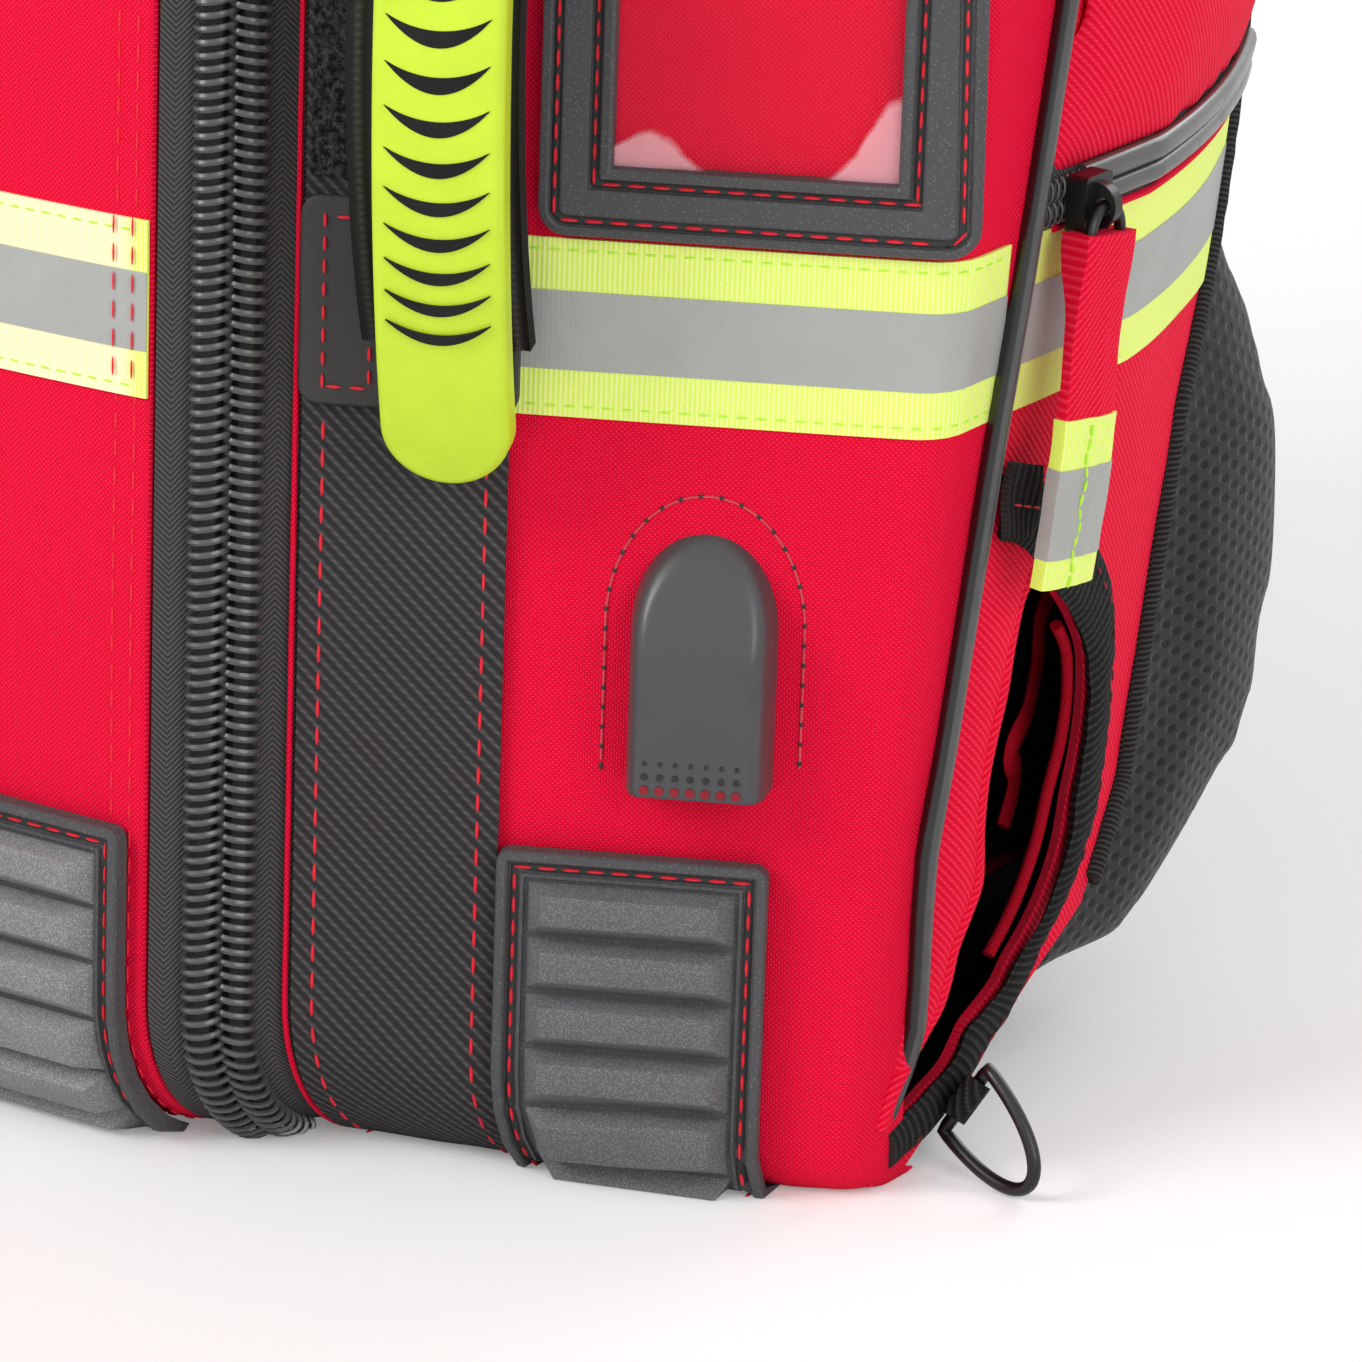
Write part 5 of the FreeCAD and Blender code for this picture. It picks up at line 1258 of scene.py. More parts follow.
card = moulded(ring_sheet("card_frame", card_outline, in_metres(CARD_PROFILE)), on_front, 0.8 * MM, 30)
both_sides(card, "card_frame", dark_rubber, "dark_rubber", node="id_frame_{}")
card_runs = [card_outline(inset) + card_outline(inset)[:1] for inset in CARD_GROOVES]
channels = joined("channels", [groove("channel", run, on_front, 0.75 * MM, 2.8 * MM) for run in card_runs])
both_sides(close_seams(channels), "card_channels", black_thread, "dark_rubber")
card_rows = [stitch_row("card_row", run, on_front, pitch=4.4, length=3.3, out=3.05 * MM) for run in card_runs]
both_sides(joined("card_rows", card_rows), "card_stitches", red_thread, "red_fabric")
corners = [(CARD_LEFT + FILM_INSET, CARD_LOW + FILM_INSET), (CARD_RIGHT - FILM_INSET, CARD_HIGH - FILM_INSET)]
card_film = strip("card_film", *corners, 2 * MM, 0.3 * MM, on_front, rise=film_rise)
both_sides(card_film, "card_film", film, "clear_film", node="id_windows")

# socket dome

DOME_MID = 73.2 * MM
DOME_LOW, DOME_HIGH = mm(78, 126)
DOME_HALF = 13.2 * MM
DOME_PROUD = 11.5 * MM
DOME_LEVEL, DOME_FALL = 0.56, 0.86
DOME_PROFILE = [
    (0, 0), (0.2, 0.2), (0.5, 0.45), (0.9, 0.68), (1.5, 0.84), (2.3, 0.93), (3.1, 0.985), (3.6, 1.0), (4.4, 1.01),
    (7, 1.01), (10, 1.01), (12, 1.01), (13.195, 1.01),
]
VENT_RADII = mm(0.85, 0.6, 0.4)
VENT_PITCH, VENT_ROW = mm(2.75, 2.5)


def arch(half, low, high):
    """Outline with a flat foot, straight sides and a round, slightly pointed crown."""
    spring = high - 1.35 * half
    points = [(-half + 2 * half * step / 12, low) for step in range(12)]
    points += [(half, low + (spring - low) * step / 20) for step in range(20)]
    turns = [math.pi * step / 32 for step in range(32)]
    points += [(half * math.cos(turn), spring + (high - spring) * math.sin(turn)) for turn in turns]
    points += [(-half, spring - (spring - low) * step / 20) for step in range(20)]
    return [(x + DOME_MID, y) for x, y in points]


def dome_outline(inset):
    return arch(DOME_HALF - inset, DOME_LOW + 0.35 * inset, DOME_HIGH - 1.15 * inset)


def dome_front(y):
    """Height of the dome's face: level below, sloping back to the cloth at the crown."""
    share = (y - DOME_LOW) / (DOME_HIGH - DOME_LOW)
    return DOME_PROUD * (1 - DOME_FALL * (max(0, share - DOME_LEVEL) / (1 - DOME_LEVEL)) ** 1.35)


def on_puff(x, y, out):
    return on_front(x, y, front_puff(x, y) + out)


dome = ring_sheet("socket_dome", dome_outline, [(inset * MM, share) for inset, share in DOME_PROFILE])
reshape(dome, lambda x, y, z: Vector((x, y, z * dome_front(y) + 0.2 * MM)))
reshape(flat_map(dome), on_front)
modify(dome, "SUBSURF", levels=1, render_levels=1)
done(smooth(dome, 60), dome_rubber, "dark_rubber", "pack", "usb_cover")

# flat discs on the dome's face stand for the vent openings; the lowest row's dark red is the red cloth behind, painted
# in shade
for name, finish, rows in (("dome_vents_low", vent_red_painted_shade, (0,)), ("dome_vents_high", black_plastic, (1, 2))):
    places = []
    for row in rows:
        y = DOME_LOW + 2.6 * MM + row * VENT_ROW
        for column in range(7):
            spot = (DOME_MID + (column - 3) * VENT_PITCH - 0.4 * MM, y)
            place = frame_on(on_front, spot, (1, 0), 1.01 * dome_front(y) + 0.35 * MM)
            places.append(place @ Matrix.Diagonal((VENT_RADII[row], VENT_RADII[row], 1, 1)))
    disc = fresh("vent", bpy.ops.mesh.primitive_cylinder_add, vertices=12, radius=1, depth=0.3 * MM)
    done(copies(name, disc, places), finish, "dark_rubber", "pack")

dome_run = arch(DOME_HALF + 4.6 * MM, DOME_LOW + 1 * MM, DOME_HIGH + 6.5 * MM)[14:]
marks = [
    frame_on(on_front, spot, heading, front_puff(*spot) + 0.1 * MM) for spot, heading in sampled(dome_run, 3.7 * MM)
]
mark = bead(0.75 * MM, 0.42 * MM, 0.3 * MM, turned=False)
done(copies("dome_marks", mark, marks), black_thread, "red_fabric", "pack")
thread_points = [spot for spot, _ in sampled(dome_run, 2 * MM)]
thread = tube_along("dome_thread", thread_points, on_puff, 0.24 * MM, 0.12 * MM, sides=6)
done(close_seams(thread), pink_thread, "red_fabric", "pack")

# --- side walls -------------------------------------------------------------------------------

HEEL, KNEE, WAIST = Vector((32, 36)) * MM, Vector((49, 55)) * MM, Vector((64, 125)) * MM
SHOULDER, BEND = Vector((94, 167.5)) * MM, Vector((113, 210)) * MM
FLANK_FRONT = -32 * MM
FLANK_SLOPE, FLANK_LEAN = 0.5625, 1.5


def rear_back(up):
    """How far back the pack reaches at one height: heel, waist, then out to the upper back."""
    if up <= HEEL.y:
        return HEEL.x
    for low, high in ((HEEL, KNEE), (KNEE, WAIST)):
        if up <= high.y:
            return low.x + (high.x - low.x) * (up - low.y) / (high.y - low.y)
    if up >= BEND.y:
        return BEND.x
    share = (up - WAIST.y) / (BEND.y - WAIST.y)
    bulge = SHOULDER.x - (WAIST.x + BEND.x) / 2
    return WAIST.x + (BEND.x - WAIST.x) * share + bulge * 4 * share * (1 - share)


def side_foot(back):
    """Lower edge of the side wall, where the slanted flank cuts it."""
    inward = corner_end(1).x - on_side(back, 1, 0).x
    return max(1 * MM, (FLANK_SLOPE * (back - FLANK_FRONT) - FLANK_LEAN * inward) / 0.906)


def along_curve(points, count):
    """Evenly spaced points along a smooth curve through the given flat points, in mm."""
    spots = [Vector(point) * MM for point in points]
    ends = [2 * spots[0] - spots[1]] + spots + [2 * spots[-1] - spots[-2]]
    fine = []
    for a, b, c, d in zip(ends, ends[1:], ends[2:], ends[3:]):
        second, third = 2 * a - 5 * b + 4 * c - d, 3 * b - a - 3 * c + d
        for t in [step / 12 for step in range(12)]:
            fine.append(0.5 * (2 * b + (c - a) * t + second * t ** 2 + third * t ** 3))
    fine.append(spots[-1])
    lengths = run_lengths(fine)
    even, place = [], 0
    for step in range(count):
        goal = lengths[-1] * step / (count - 1)
        while place < len(fine) - 2 and lengths[place + 1] < goal:
            place += 1
        share = (goal - lengths[place]) / max(1e-9, lengths[place + 1] - lengths[place])
        even.append(fine[place] + (fine[place + 1] - fine[place]) * share)
    return even


# the pocket mouth's front lip, and the inner and outer edges of its elastic hem, as (back, up) in mm

LIP = [
    (-42, 12.5), (-40, 19), (-36.5, 24), (-32, 29), (-28, 33), (-26, 38.5), (-25, 43.5), (-21.5, 49.5), (-19, 54.5),
    (-19.5, 60), (-20.5, 66), (-20.5, 75), (-19, 82.5), (-16.5, 91), (-15, 100), (-12.5, 108), (-8, 112),
]
HEM_INNER = [
    (-21, 121), (-14, 118.5), (-7, 113.5), (2, 105.5), (9, 98.5), (14.8, 90.8), (16.8, 84), (17.4, 77), (17, 69.4),
    (15.6, 62), (14.4, 52), (10.5, 43.6), (5.3, 37.7), (-0.4, 33.2), (-3.4, 30), (-8.8, 27.3), (-14.4, 24.8),
    (-17, 21.6), (-20.4, 18.2), (-27, 15.6), (-32, 13.7), (-36, 12.2), (-39.5, 11.2),
]
HEM_OUTER = [
    (-21, 134), (-14, 132.5), (-6, 128), (4, 121), (15, 111.5), (22.4, 101.5), (26, 95), (28.6, 81), (28.9, 71),
    (28.2, 61), (25.4, 55), (20.5, 47.3), (16.4, 41.3), (11, 35.7), (6.6, 29.6), (1.8, 25.2), (-1.2, 21.8), (-6.6, 18),
    (-11.2, 14), (-18, 9.6), (-24, 7.2), (-30, 5), (-38, 3.4),
]
MOUTH_TOP = 122 * MM


def side_rise(back, up):
    """The strip in front of the pocket mouth is puffed; the rest lies nearly flat."""
    puff = 0.4 * MM * ripple(back, up, 26 * MM, 21.0)
    if up < MOUTH_TOP:
        start, lip_back = piping_back(up), read_off([(level, back) for back, level in LIP], up)
        share = (back - start) / max(1 * MM, lip_back - start)
        height = min(1, up / (30 * MM)) * clamp((MOUTH_TOP - up) / (16 * MM))
        if 0 < share < 1.2:
            puff += 3.2 * MM * height * math.sin(math.pi * min(1, share) * 0.72) ** 1.2
    return puff


def outline_block(name, points, low, high):
    """A solid with a free outline, for cutting."""
    piece = fresh(name, bpy.ops.mesh.primitive_circle_add, vertices=len(points), radius=1, fill_type="NGON")
    for vertex, point in zip(piece.data.vertices, points):
        vertex.co = (point[0], point[1], low)
    edit(piece, whole=True)
    bpy.ops.mesh.extrude_region_move(TRANSFORM_OT_translate={"value": (0, 0, high - low)})
    face_outwards()
    return piece


def side_spot(x, y, z):
    """Flat place on the side wall from shares of its width and height."""
    low = 1 * MM
    for _ in range(8):
        back = piping_back(low) + (rear_back(low) - 1 * MM - piping_back(low)) * x
        low = side_foot(back)
    up = low + (PACK_HIGH - low) * y ** 1.3
    start = piping_back(up)
    return Vector((start + (rear_back(up) - 1 * MM - start) * x, up, 0))


def make_side_panel():
    """The side wall with the pocket's mouth cut out of it."""
    piece = unit_grid("side_panel", 64, 230)
    mouth = along_curve(LIP[1:], 60) + along_curve(HEM_INNER[3:-1], 90)[:-1]
    mouth = [Vector((max(spot.x + 0.6 * MM, piping_back(spot.y) + 2.2 * MM), spot.y)) for spot in mouth]
    reshape(piece, side_spot)
    reshape(piece, lambda x, y, z: Vector((x, y, side_rise(x, y))))
    modify(flat_map(piece), "SOLIDIFY", thickness=1.6 * MM, offset=-1)
    cutter = outline_block("mouth_cutter", mouth, -20 * MM, 20 * MM)
    modify(piece, "BOOLEAN", object=cutter, operation="DIFFERENCE", solver="EXACT")
    bpy.data.objects.remove(cutter)
    return smooth(reshape(piece, on_side))


both_sides(make_side_panel(), "side_panel_cloth", red_twill, "red_fabric", node="side_panel_{}")
lip_roll = tube_along(
    "lip", along_curve(LIP, 70), on_side, 1.6 * MM, lambda share: 0.4 * MM + 1.7 * MM * math.sin(math.pi * share) ** 0.6
)
both_sides(lip_roll, "pocket_lip", red_twill, "red_fabric")

# elastic hem round the mouth

HEM_COUNT = 120
HEM_WIDE = 11 * MM
hem_in, hem_out = along_curve(HEM_INNER, HEM_COUNT + 1), along_curve(HEM_OUTER, HEM_COUNT + 1)


def hem_spot(column, share):
    return hem_in[column] + (hem_out[column] - hem_in[column]) * share


def hem_height(along, share, roll):
    """The hem rolls over its elastic, and stands open along the middle of the mouth."""
    open_up = 1.6 * MM * math.sin(math.pi * clamp((along - 0.18) / 0.8)) * (1 - 0.75 * share)
    return open_up + roll * math.sqrt(max(0, 1 - (2 * share - 1) ** 2))


def make_hem():
    piece = unit_grid("hem", HEM_COUNT, 8)
    lengths = run_lengths([(near + far) / 2 for near, far in zip(hem_in, hem_out)])

    def place_hem(x, y, z):
        spot, share = hem_spot(round(z * HEM_COUNT), y / HEM_WIDE), y / HEM_WIDE
        pucker = 0.5 * MM * ripple(spot.x, spot.y, 6 * MM, 16.0)
        return Vector((spot.x, spot.y, 1.0 * MM + hem_height(z, share, 1.6 * MM) + pucker))

    reshape(piece, lambda x, y, z: Vector((lengths[round(x * HEM_COUNT)], y * HEM_WIDE, x)))
    reshape(flat_map(piece), place_hem)
    modify(piece, "SOLIDIFY", thickness=1.8 * MM, offset=-1)
    return smooth(reshape(piece, on_side), 60)


HEM_SEAM = 0.72


def hem_seam_height(x, y):
    columns = range(HEM_COUNT)
    near = min(columns, key=lambda column: (hem_spot(column, HEM_SEAM) - Vector((x, y))).length)
    return 1.15 * MM + hem_height(near / HEM_COUNT, HEM_SEAM, 1.5 * MM)


both_sides(make_hem(), "pocket_hem", knit_band, "black_webbing", node="pocket_binding")
seam_run = [hem_spot(column, HEM_SEAM) for column in range(4, HEM_COUNT - 3)]
hem_thread = stitch_row(
    "hem_thread", seam_run, on_side, pitch=4.4, length=2.6, radius=0.3, tall=0.25, out=hem_seam_height
)
both_sides(hem_thread, "hem_stitches", dark_red_thread, "red_fabric")

# pocket lining: a dark bowl behind the mouth, with a ribbon and a turned-in edge, their red painted dark for the shade
# inside the pocket

BOWL_MIDDLE, BOWL_HALF, BOWL_DEEP = Vector((2, 62)) * MM, Vector((44, 62)) * MM, 22 * MM
RIBBON = [(39, 101), (35, 94), (31, 90), (32, 81), (29, 72), (21, 66.5), (25, 61), (24.5, 56), (21.5, 51)]


def lining_rise(back, up):
    across, tall = (back - BOWL_MIDDLE.x) / BOWL_HALF.x, (up - BOWL_MIDDLE.y) / BOWL_HALF.y
    reach = max(0, 1 - across ** 2) * max(0, 1 - tall ** 2)
    return -2.2 * MM - BOWL_DEEP * reach ** 0.5 + 1.2 * MM * ripple(back, up, 14 * MM, 31.0)


lining = strip(
    "lining", mm(-42, 6), (46 * MM, MOUTH_TOP), 2.4 * MM, 0.8 * MM, on_side, rise=lining_rise,
    warp=lambda x, y, z: Vector((x, max(y, side_foot(x) + 3 * MM), z)),
)
both_sides(lining, "pocket_lining", lining_mesh, "red_fabric", node="side_pocket_{}")
ribbon = tube_along("ribbon", along_curve(RIBBON, 70), on_side, 3.2 * MM, -14 * MM, squash=0.3)
both_sides(ribbon, "pocket_ribbon", red_cloth_painted_shade, "red_fabric")
inner_points = [
    spot + Vector((-0.6 * MM + 1.6 * MM * math.sin(index * 0.16), 0.4 * MM))
    for index, spot in enumerate(along_curve(HEM_INNER, 90)[24:64])
]
inner_edge = tube_along("inner_edge", inner_points, on_side, 1.2 * MM, -3.4 * MM)
both_sides(inner_edge, "pocket_inner_edge", red_cloth_painted_shade, "red_fabric")

# overlocked seam along the rear edge, and piping between the front and the side

SEAM_RADIUS, PIPING_RADIUS = mm(2.5, 2.1)
PIPING_SHIFT = [
    (6, 2.4), (14, 3.2), (22, 4.0), (30, 3.8), (40, 2.3), (55, -0.6), (66, -2.2), (83, -1.3), (140, -1.0), (170, 0),
]


def on_piping(back, up, out):
    """The piping leans in and turns back a little towards its foot."""
    under = 5.5 * MM * max(0, 1 - up / (30 * MM))
    shifted = piping_back(up) + back + read_off(PIPING_SHIFT, up)
    return Vector((corner_end(up).x + PIPING_RADIUS - under + out, shifted, up))


seam_spots = [Vector((rear_back(spot.y) - 1.6 * MM, spot.y)) for spot in line((0, 39 * MM), (0, PACK_HIGH), 179)]
seam = tube_along(
    "seam", seam_spots, on_side, SEAM_RADIUS, 0.6 * MM, squash=0.8,
    wave=lambda column: 1 + 0.05 * math.sin(column * 2.4),
)
both_sides(seam, "rear_seam", overlock, "black_webbing", node="rear_binding")
piping = tube_along("piping", line((0, 6 * MM), (0, PACK_HIGH), 120), on_piping, PIPING_RADIUS, 0.0, sides=12)
both_sides(piping, "piping_cord", piping_plastic, "black_coil", node="side_piping")

# reflective tape and zipper on the side

SIDE_START, SIDE_END = mm(-21.0, 92)
SIDE_TAPE_GAP, SIDE_ZIP_GAP = mm(3.4, 2.6)
SIDE_ZIP_LOW, SIDE_ZIP_MID, SIDE_ZIP_HIGH = mm(178.4, 184, 190)


def side_strip(name, low, high, step, thickness, gap, rise):
    """A band across the side wall, from a gap behind the piping to the slanting rear edge."""

    def warp(x, y, z):
        start = piping_back(y) + gap
        share = (x - SIDE_START) / (SIDE_END - SIDE_START)
        return Vector((start + (rear_back(y) - 4.5 * MM - start) * share, y, z))

    return strip(
        name, (SIDE_START, low), (SIDE_END, high), step, thickness, on_side,
        rise=lambda x, y: side_rise(x, y) + rise(y), warp=warp,
    )


def zip_ridge(y):
    return 0.9 * MM + 1.3 * MM * math.exp(-((y - SIDE_ZIP_MID) / (2.2 * MM)) ** 2)


def to_rear(start, level):
    """Evenly spaced points back along the side at one height, which end short of the rear edge."""
    return line((start, level), (rear_back(level) - 5 * MM, level), 50)


lime = side_strip("tape", TAPE_LOW, TAPE_HIGH, 2.6 * MM, LIME_THICK, SIDE_TAPE_GAP, lambda y: LIME_THICK)
both_sides(lime, "side_tape_cloth", lime_cloth, "reflective_tape", node="side_tape")
stripe = side_strip("stripe", STRIPE_LOW, STRIPE_HIGH, 2.6 * MM, STRIPE_THICK, SIDE_TAPE_GAP, lambda y: 0.9 * MM)
both_sides(stripe, "side_tape_stripe", silver, "reflective_tape")
side_zip = side_strip("side_zip", SIDE_ZIP_LOW, SIDE_ZIP_HIGH, 1.9 * MM, 0.9 * MM, SIDE_ZIP_GAP, zip_ridge)
both_sides(side_zip, "side_zip_cloth", zip_cloth, "zip_tape", node="side_zips")

SIDE_COIL_START, SIDE_COIL_PITCH, SIDE_COIL_APART = mm(-20, 2.1, 2.2)
loop_spots = [
    (SIDE_COIL_START + step * SIDE_COIL_PITCH, SIDE_ZIP_MID + row * SIDE_COIL_APART)
    for step in range(7) for row in (-1, 1)
]
loop_places = [frame_on(on_side, spot, (0, 1), side_rise(*spot) + 2.6 * MM) for spot in loop_spots]
loops = copies("side_loops", wire_loop(12, 5, 1.9, 1.0, 1.8), loop_places)
both_sides(loops, "side_coil_loops", coil_plastic, "black_coil")
ridges = [
    tube_along("ridge", to_rear(-8 * MM, level), on_side, radius, 2.4 * MM, sides=12, squash=0.7)
    for level, radius in (mm(186.6, 2.3), mm(182.2, 1.9))
]
both_sides(smooth(joined("ridges", ridges), 60), "side_zip_ridges", coil_plastic, "black_coil")
edge_line = tube_along("edge", to_rear(-14 * MM, 178 * MM), on_side, 0.75 * MM, 1.2 * MM, sides=6)
both_sides(edge_line, "side_edge_line", red_cloth, "red_fabric")

# webbing band under the pull tab

BAND_FRONT, BAND_REAR, BAND_LOW, BAND_HIGH = mm(-23.5, -13, 120, 134)
BAND_SLANT = 0.25
elastic = strip(
    "elastic", (BAND_FRONT, BAND_LOW), (BAND_REAR, BAND_HIGH), 1.0 * MM, 1.6 * MM, on_side,
    rise=lambda x, y: 3.6 * MM + 0.5 * MM * math.sin((x + y) / (3 * MM)),
    warp=lambda x, y, z: Vector((x, y + BAND_SLANT * (BAND_REAR - x), z)),
)
both_sides(elastic, "elastic_band", knit_band, "black_webbing")
elastic_run = [mm(-23, 129), mm(-12, 125.5)]
elastic_thread = stitch_row("elastic_row", elastic_run, on_side, pitch=3.6, length=3.0, radius=0.24, out=4.1 * MM)
both_sides(elastic_thread, "elastic_thread", red_thread, "red_fabric")

# --- padded pieces ----------------------------------------------------------------------------


SWELL_FRAMES = 20


def swell(piece, cap, voxel, pressure, held):
    """Fills a closed cloth shape: remeshed, blown up as cloth, held back where it is sewn down."""
    modify(piece, "REMESH", mode="VOXEL", voxel_size=voxel, use_smooth_shade=True)
    start = [vertex.co.copy() for vertex in piece.data.vertices]
    activate(piece)
    cloth = piece.modifiers.new("Cloth", "CLOTH")
    cloth.settings.use_pressure = True
    cloth.settings.uniform_pressure_force = pressure
    cloth.settings.effector_weights.gravity = 0
    for step in range(1, SWELL_FRAMES + 1):
        bpy.context.scene.frame_set(step)
    bpy.ops.object.modifier_apply(modifier=cloth.name)
    bpy.context.scene.frame_set(1)
    for vertex, before in zip(piece.data.vertices, start):
        moved = vertex.co - before
        if held(before):
            moved = moved * 0.0
        if moved.length > cap:
            moved = moved.normalized() * cap
        vertex.co = before + moved
    modify(piece, "SMOOTH", factor=0.5, iterations=4)
    return modify(piece, "SUBSURF", levels=1, render_levels=1)


def block(name, columns, depth_rows, rows, spot):
    """A closed block over the unit cube, each point placed by a function of its three shares."""
    piece = box_between(name, (0, 0, 0), (1, 1, 1))
    for axis, cuts in enumerate((columns, depth_rows, rows)):
        for cut in range(1, cuts):
            edit(piece, whole=True)
            normal = [0, 0, 0]
            normal[axis] = 1
            bpy.ops.mesh.bisect(plane_co=[cut / cuts] * 3, plane_no=normal)
            leave_edit()
    return reshape(piece, spot)


def pad(name, columns, depth_rows, rows, spot, cap, held, sew, node):
    """A mesh-covered pad: a block with rounded rims, swelled, then sewn in along its channels."""
    piece = block(name, columns, depth_rows, rows, spot)
    edit(piece)
    choose(piece, "EDGE", lambda edge: edge.calc_face_angle(0) > math.radians(50))
    bpy.ops.mesh.bevel(offset=4 * MM, segments=3, profile=0.5, clamp_overlap=True)
    leave_edit()
    swell(close_seams(piece), cap, 5 * MM, 4.0, held)
    wrap_map(reshape(piece, sew))
    done(smooth(piece, 60), mesh_knit, "spacer_mesh", "pack", node)


PAD_HALF = 166 * MM
PAD_LOW, PAD_HIGH = mm(13, 159)
PAD_REAR = [
    (15, 60), (22, 84), (34, 96), (48, 105), (61, 109.5), (80, 112.5), (100, 113), (125, 110.5), (144, 104), (158, 90),
]
PAD_CHANNELS = mm(-54, 54)
CHANNEL_DEEP, CHANNEL_WIDE = mm(6, 5)
BACK_FACE = 113 * MM
UPPER_HALF = 110 * MM
UPPER_LOW, UPPER_HIGH = mm(218, 464)
UPPER_CHANNELS = mm(300, 382)


def lumbar_spot(x, y, z):
    """Lumbar pad: full in its upper half, its ends and rims drawn in."""
    up = PAD_LOW + (PAD_HIGH - PAD_LOW) * z
    front = rear_back(up) + 1.6 * MM
    rear = sum(read_off(PAD_REAR, up + step * 4 * MM) for step in range(-3, 4)) / 7 - 1.0 * MM
    wide = PAD_HALF - 5 * MM * abs(2 * z - 1) ** 3
    return Vector((wide * (2 * x - 1), front + (rear - front) * y, up))


def lumbar_sewn(x, y, z):
    """Two sewn channels that part the pad into three cushions."""
    deep = 0
    if y > rear_back(z) + 12 * MM:
        for channel in PAD_CHANNELS:
            deep += CHANNEL_DEEP * math.exp(-((x - channel) / CHANNEL_WIDE) ** 2)
    return Vector((x, max(rear_back(z) + 1.2 * MM, y - deep), z))


def upper_spot(x, y, z):
    across = 2 * x - 1
    thick = 12.5 * MM * (1 - 0.25 * abs(across) ** 6)
    return Vector((UPPER_HALF * across, BACK_FACE + 0.8 * MM + thick * y, UPPER_LOW + (UPPER_HIGH - UPPER_LOW) * z))


def upper_sewn(x, y, z):
    """One channel down the middle, and two that fall away from it to the sides."""
    deep = 0
    if y > BACK_FACE + 6 * MM:
        deep += CHANNEL_DEEP * math.exp(-(x / (6 * MM)) ** 2)
        for level in UPPER_CHANNELS:
            deep += 5 * MM * math.exp(-((z - level - 0.12 * abs(x)) / CHANNEL_WIDE) ** 2)
    return Vector((x, max(BACK_FACE + 1 * MM, y - min(deep, 7 * MM)), z))


pad(
    "lumbar_pad_cloth", 24, 5, 14, lumbar_spot, 3 * MM, lambda spot: spot.y < rear_back(spot.z) + 5 * MM,
    lumbar_sewn, "lumbar_pad",
)
pad(
    "upper_back_pad_cloth", 18, 2, 20, upper_spot, 4 * MM, lambda spot: spot.y < BACK_FACE + 3 * MM,
    upper_sewn, "upper_back_pad",
)

# upper side pockets: bulging cloth sewn down along the piping, the seam and the zipper

POCKET_LOW, POCKET_HIGH = mm(187, 476)
POCKET_FULL = 3.4 * MM
POCKET_UNDER = 1.2 * MM


def pocket_height(share, level):
    tall = POCKET_HIGH - POCKET_LOW
    height = POCKET_FULL
    for reach in (share / 0.34, (1 - share) / 0.28, level * tall / (34 * MM), (1 - level) * tall / (40 * MM)):
        height *= math.sin(math.pi / 2 * clamp(reach)) ** 0.9
    return height


def pocket_spot(x, y, z):
    up = POCKET_LOW + (POCKET_HIGH - POCKET_LOW) * y
    front, rear = piping_back(up) + 3.2 * MM, rear_back(up) - 16 * MM
    rise = 2.0 * MM + pocket_height(x, y) + POCKET_UNDER
    return on_side(front + (rear - front) * x, up, rise * z - POCKET_UNDER)


def pocket_held(spot):
    share = (spot.y - piping_back(spot.z)) / (92 * MM - piping_back(spot.z))
    return share < 0.06 or share > 0.94 or spot.z < POCKET_LOW + 6 * MM or spot.z > POCKET_HIGH - 8 * MM


pouch = close_seams(block("pouch", 28, 56, 2, pocket_spot))
swell(pouch, 1.2 * MM, 4 * MM, 3.0, pocket_held)
lay_map(pouch, lambda spot, facing: (spot.y, spot.z))
for piece in both_sides(smooth(pouch, 60), "upper_pocket_cloth", red_twill, "red_fabric", node="upper_pocket_{}"):
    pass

# shoulder straps

STRAP_LOW, STRAP_HIGH = mm(210, 492)
STRAP_MID, STRAP_HALF = mm(74, 31)
STRAP_STEPS = 60


def strap_arc(low_end, middle, high_end):
    """Points along an arc down the back, each end given as distance behind the back and height."""
    ends = [Vector((BACK_FACE + back, up)) for back, up in (high_end, middle, low_end)]
    centre, radius = circle_through(*ends)
    begin, finish = (math.atan2(spot.y - centre.y, spot.x - centre.x) for spot in (ends[0], ends[-1]))
    turns = [begin + (finish - begin) * step / STRAP_STEPS for step in range(STRAP_STEPS + 1)]
    return [centre + Vector((math.cos(turn), math.sin(turn))) * radius for turn in turns]


strap_inner = strap_arc((26.7 * MM, STRAP_LOW), mm(48, 351), (0, STRAP_HIGH))
strap_outer = strap_arc((38.7 * MM, STRAP_LOW), mm(60, 351), (0, STRAP_HIGH + 19.2 * MM))
strap_line = [(inner + outer) / 2 for inner, outer in zip(strap_inner, strap_outer)]


def strap_spot(x, y, z):
    """Padded strap: crowned across, thin at its bound edges, full along its middle."""
    index = round(z * STRAP_STEPS)
    across = 2 * x - 1
    edge = 0.5 + 0.5 * math.sqrt(max(0, 1 - abs(across) ** 5))
    end = min(1, (1 - z) * 14 + 0.35)
    spot = strap_line[index] + (strap_outer[index] - strap_inner[index]) * (y - 0.5) * edge * end
    return Vector((STRAP_MID + STRAP_HALF * across, spot.x, spot.y))


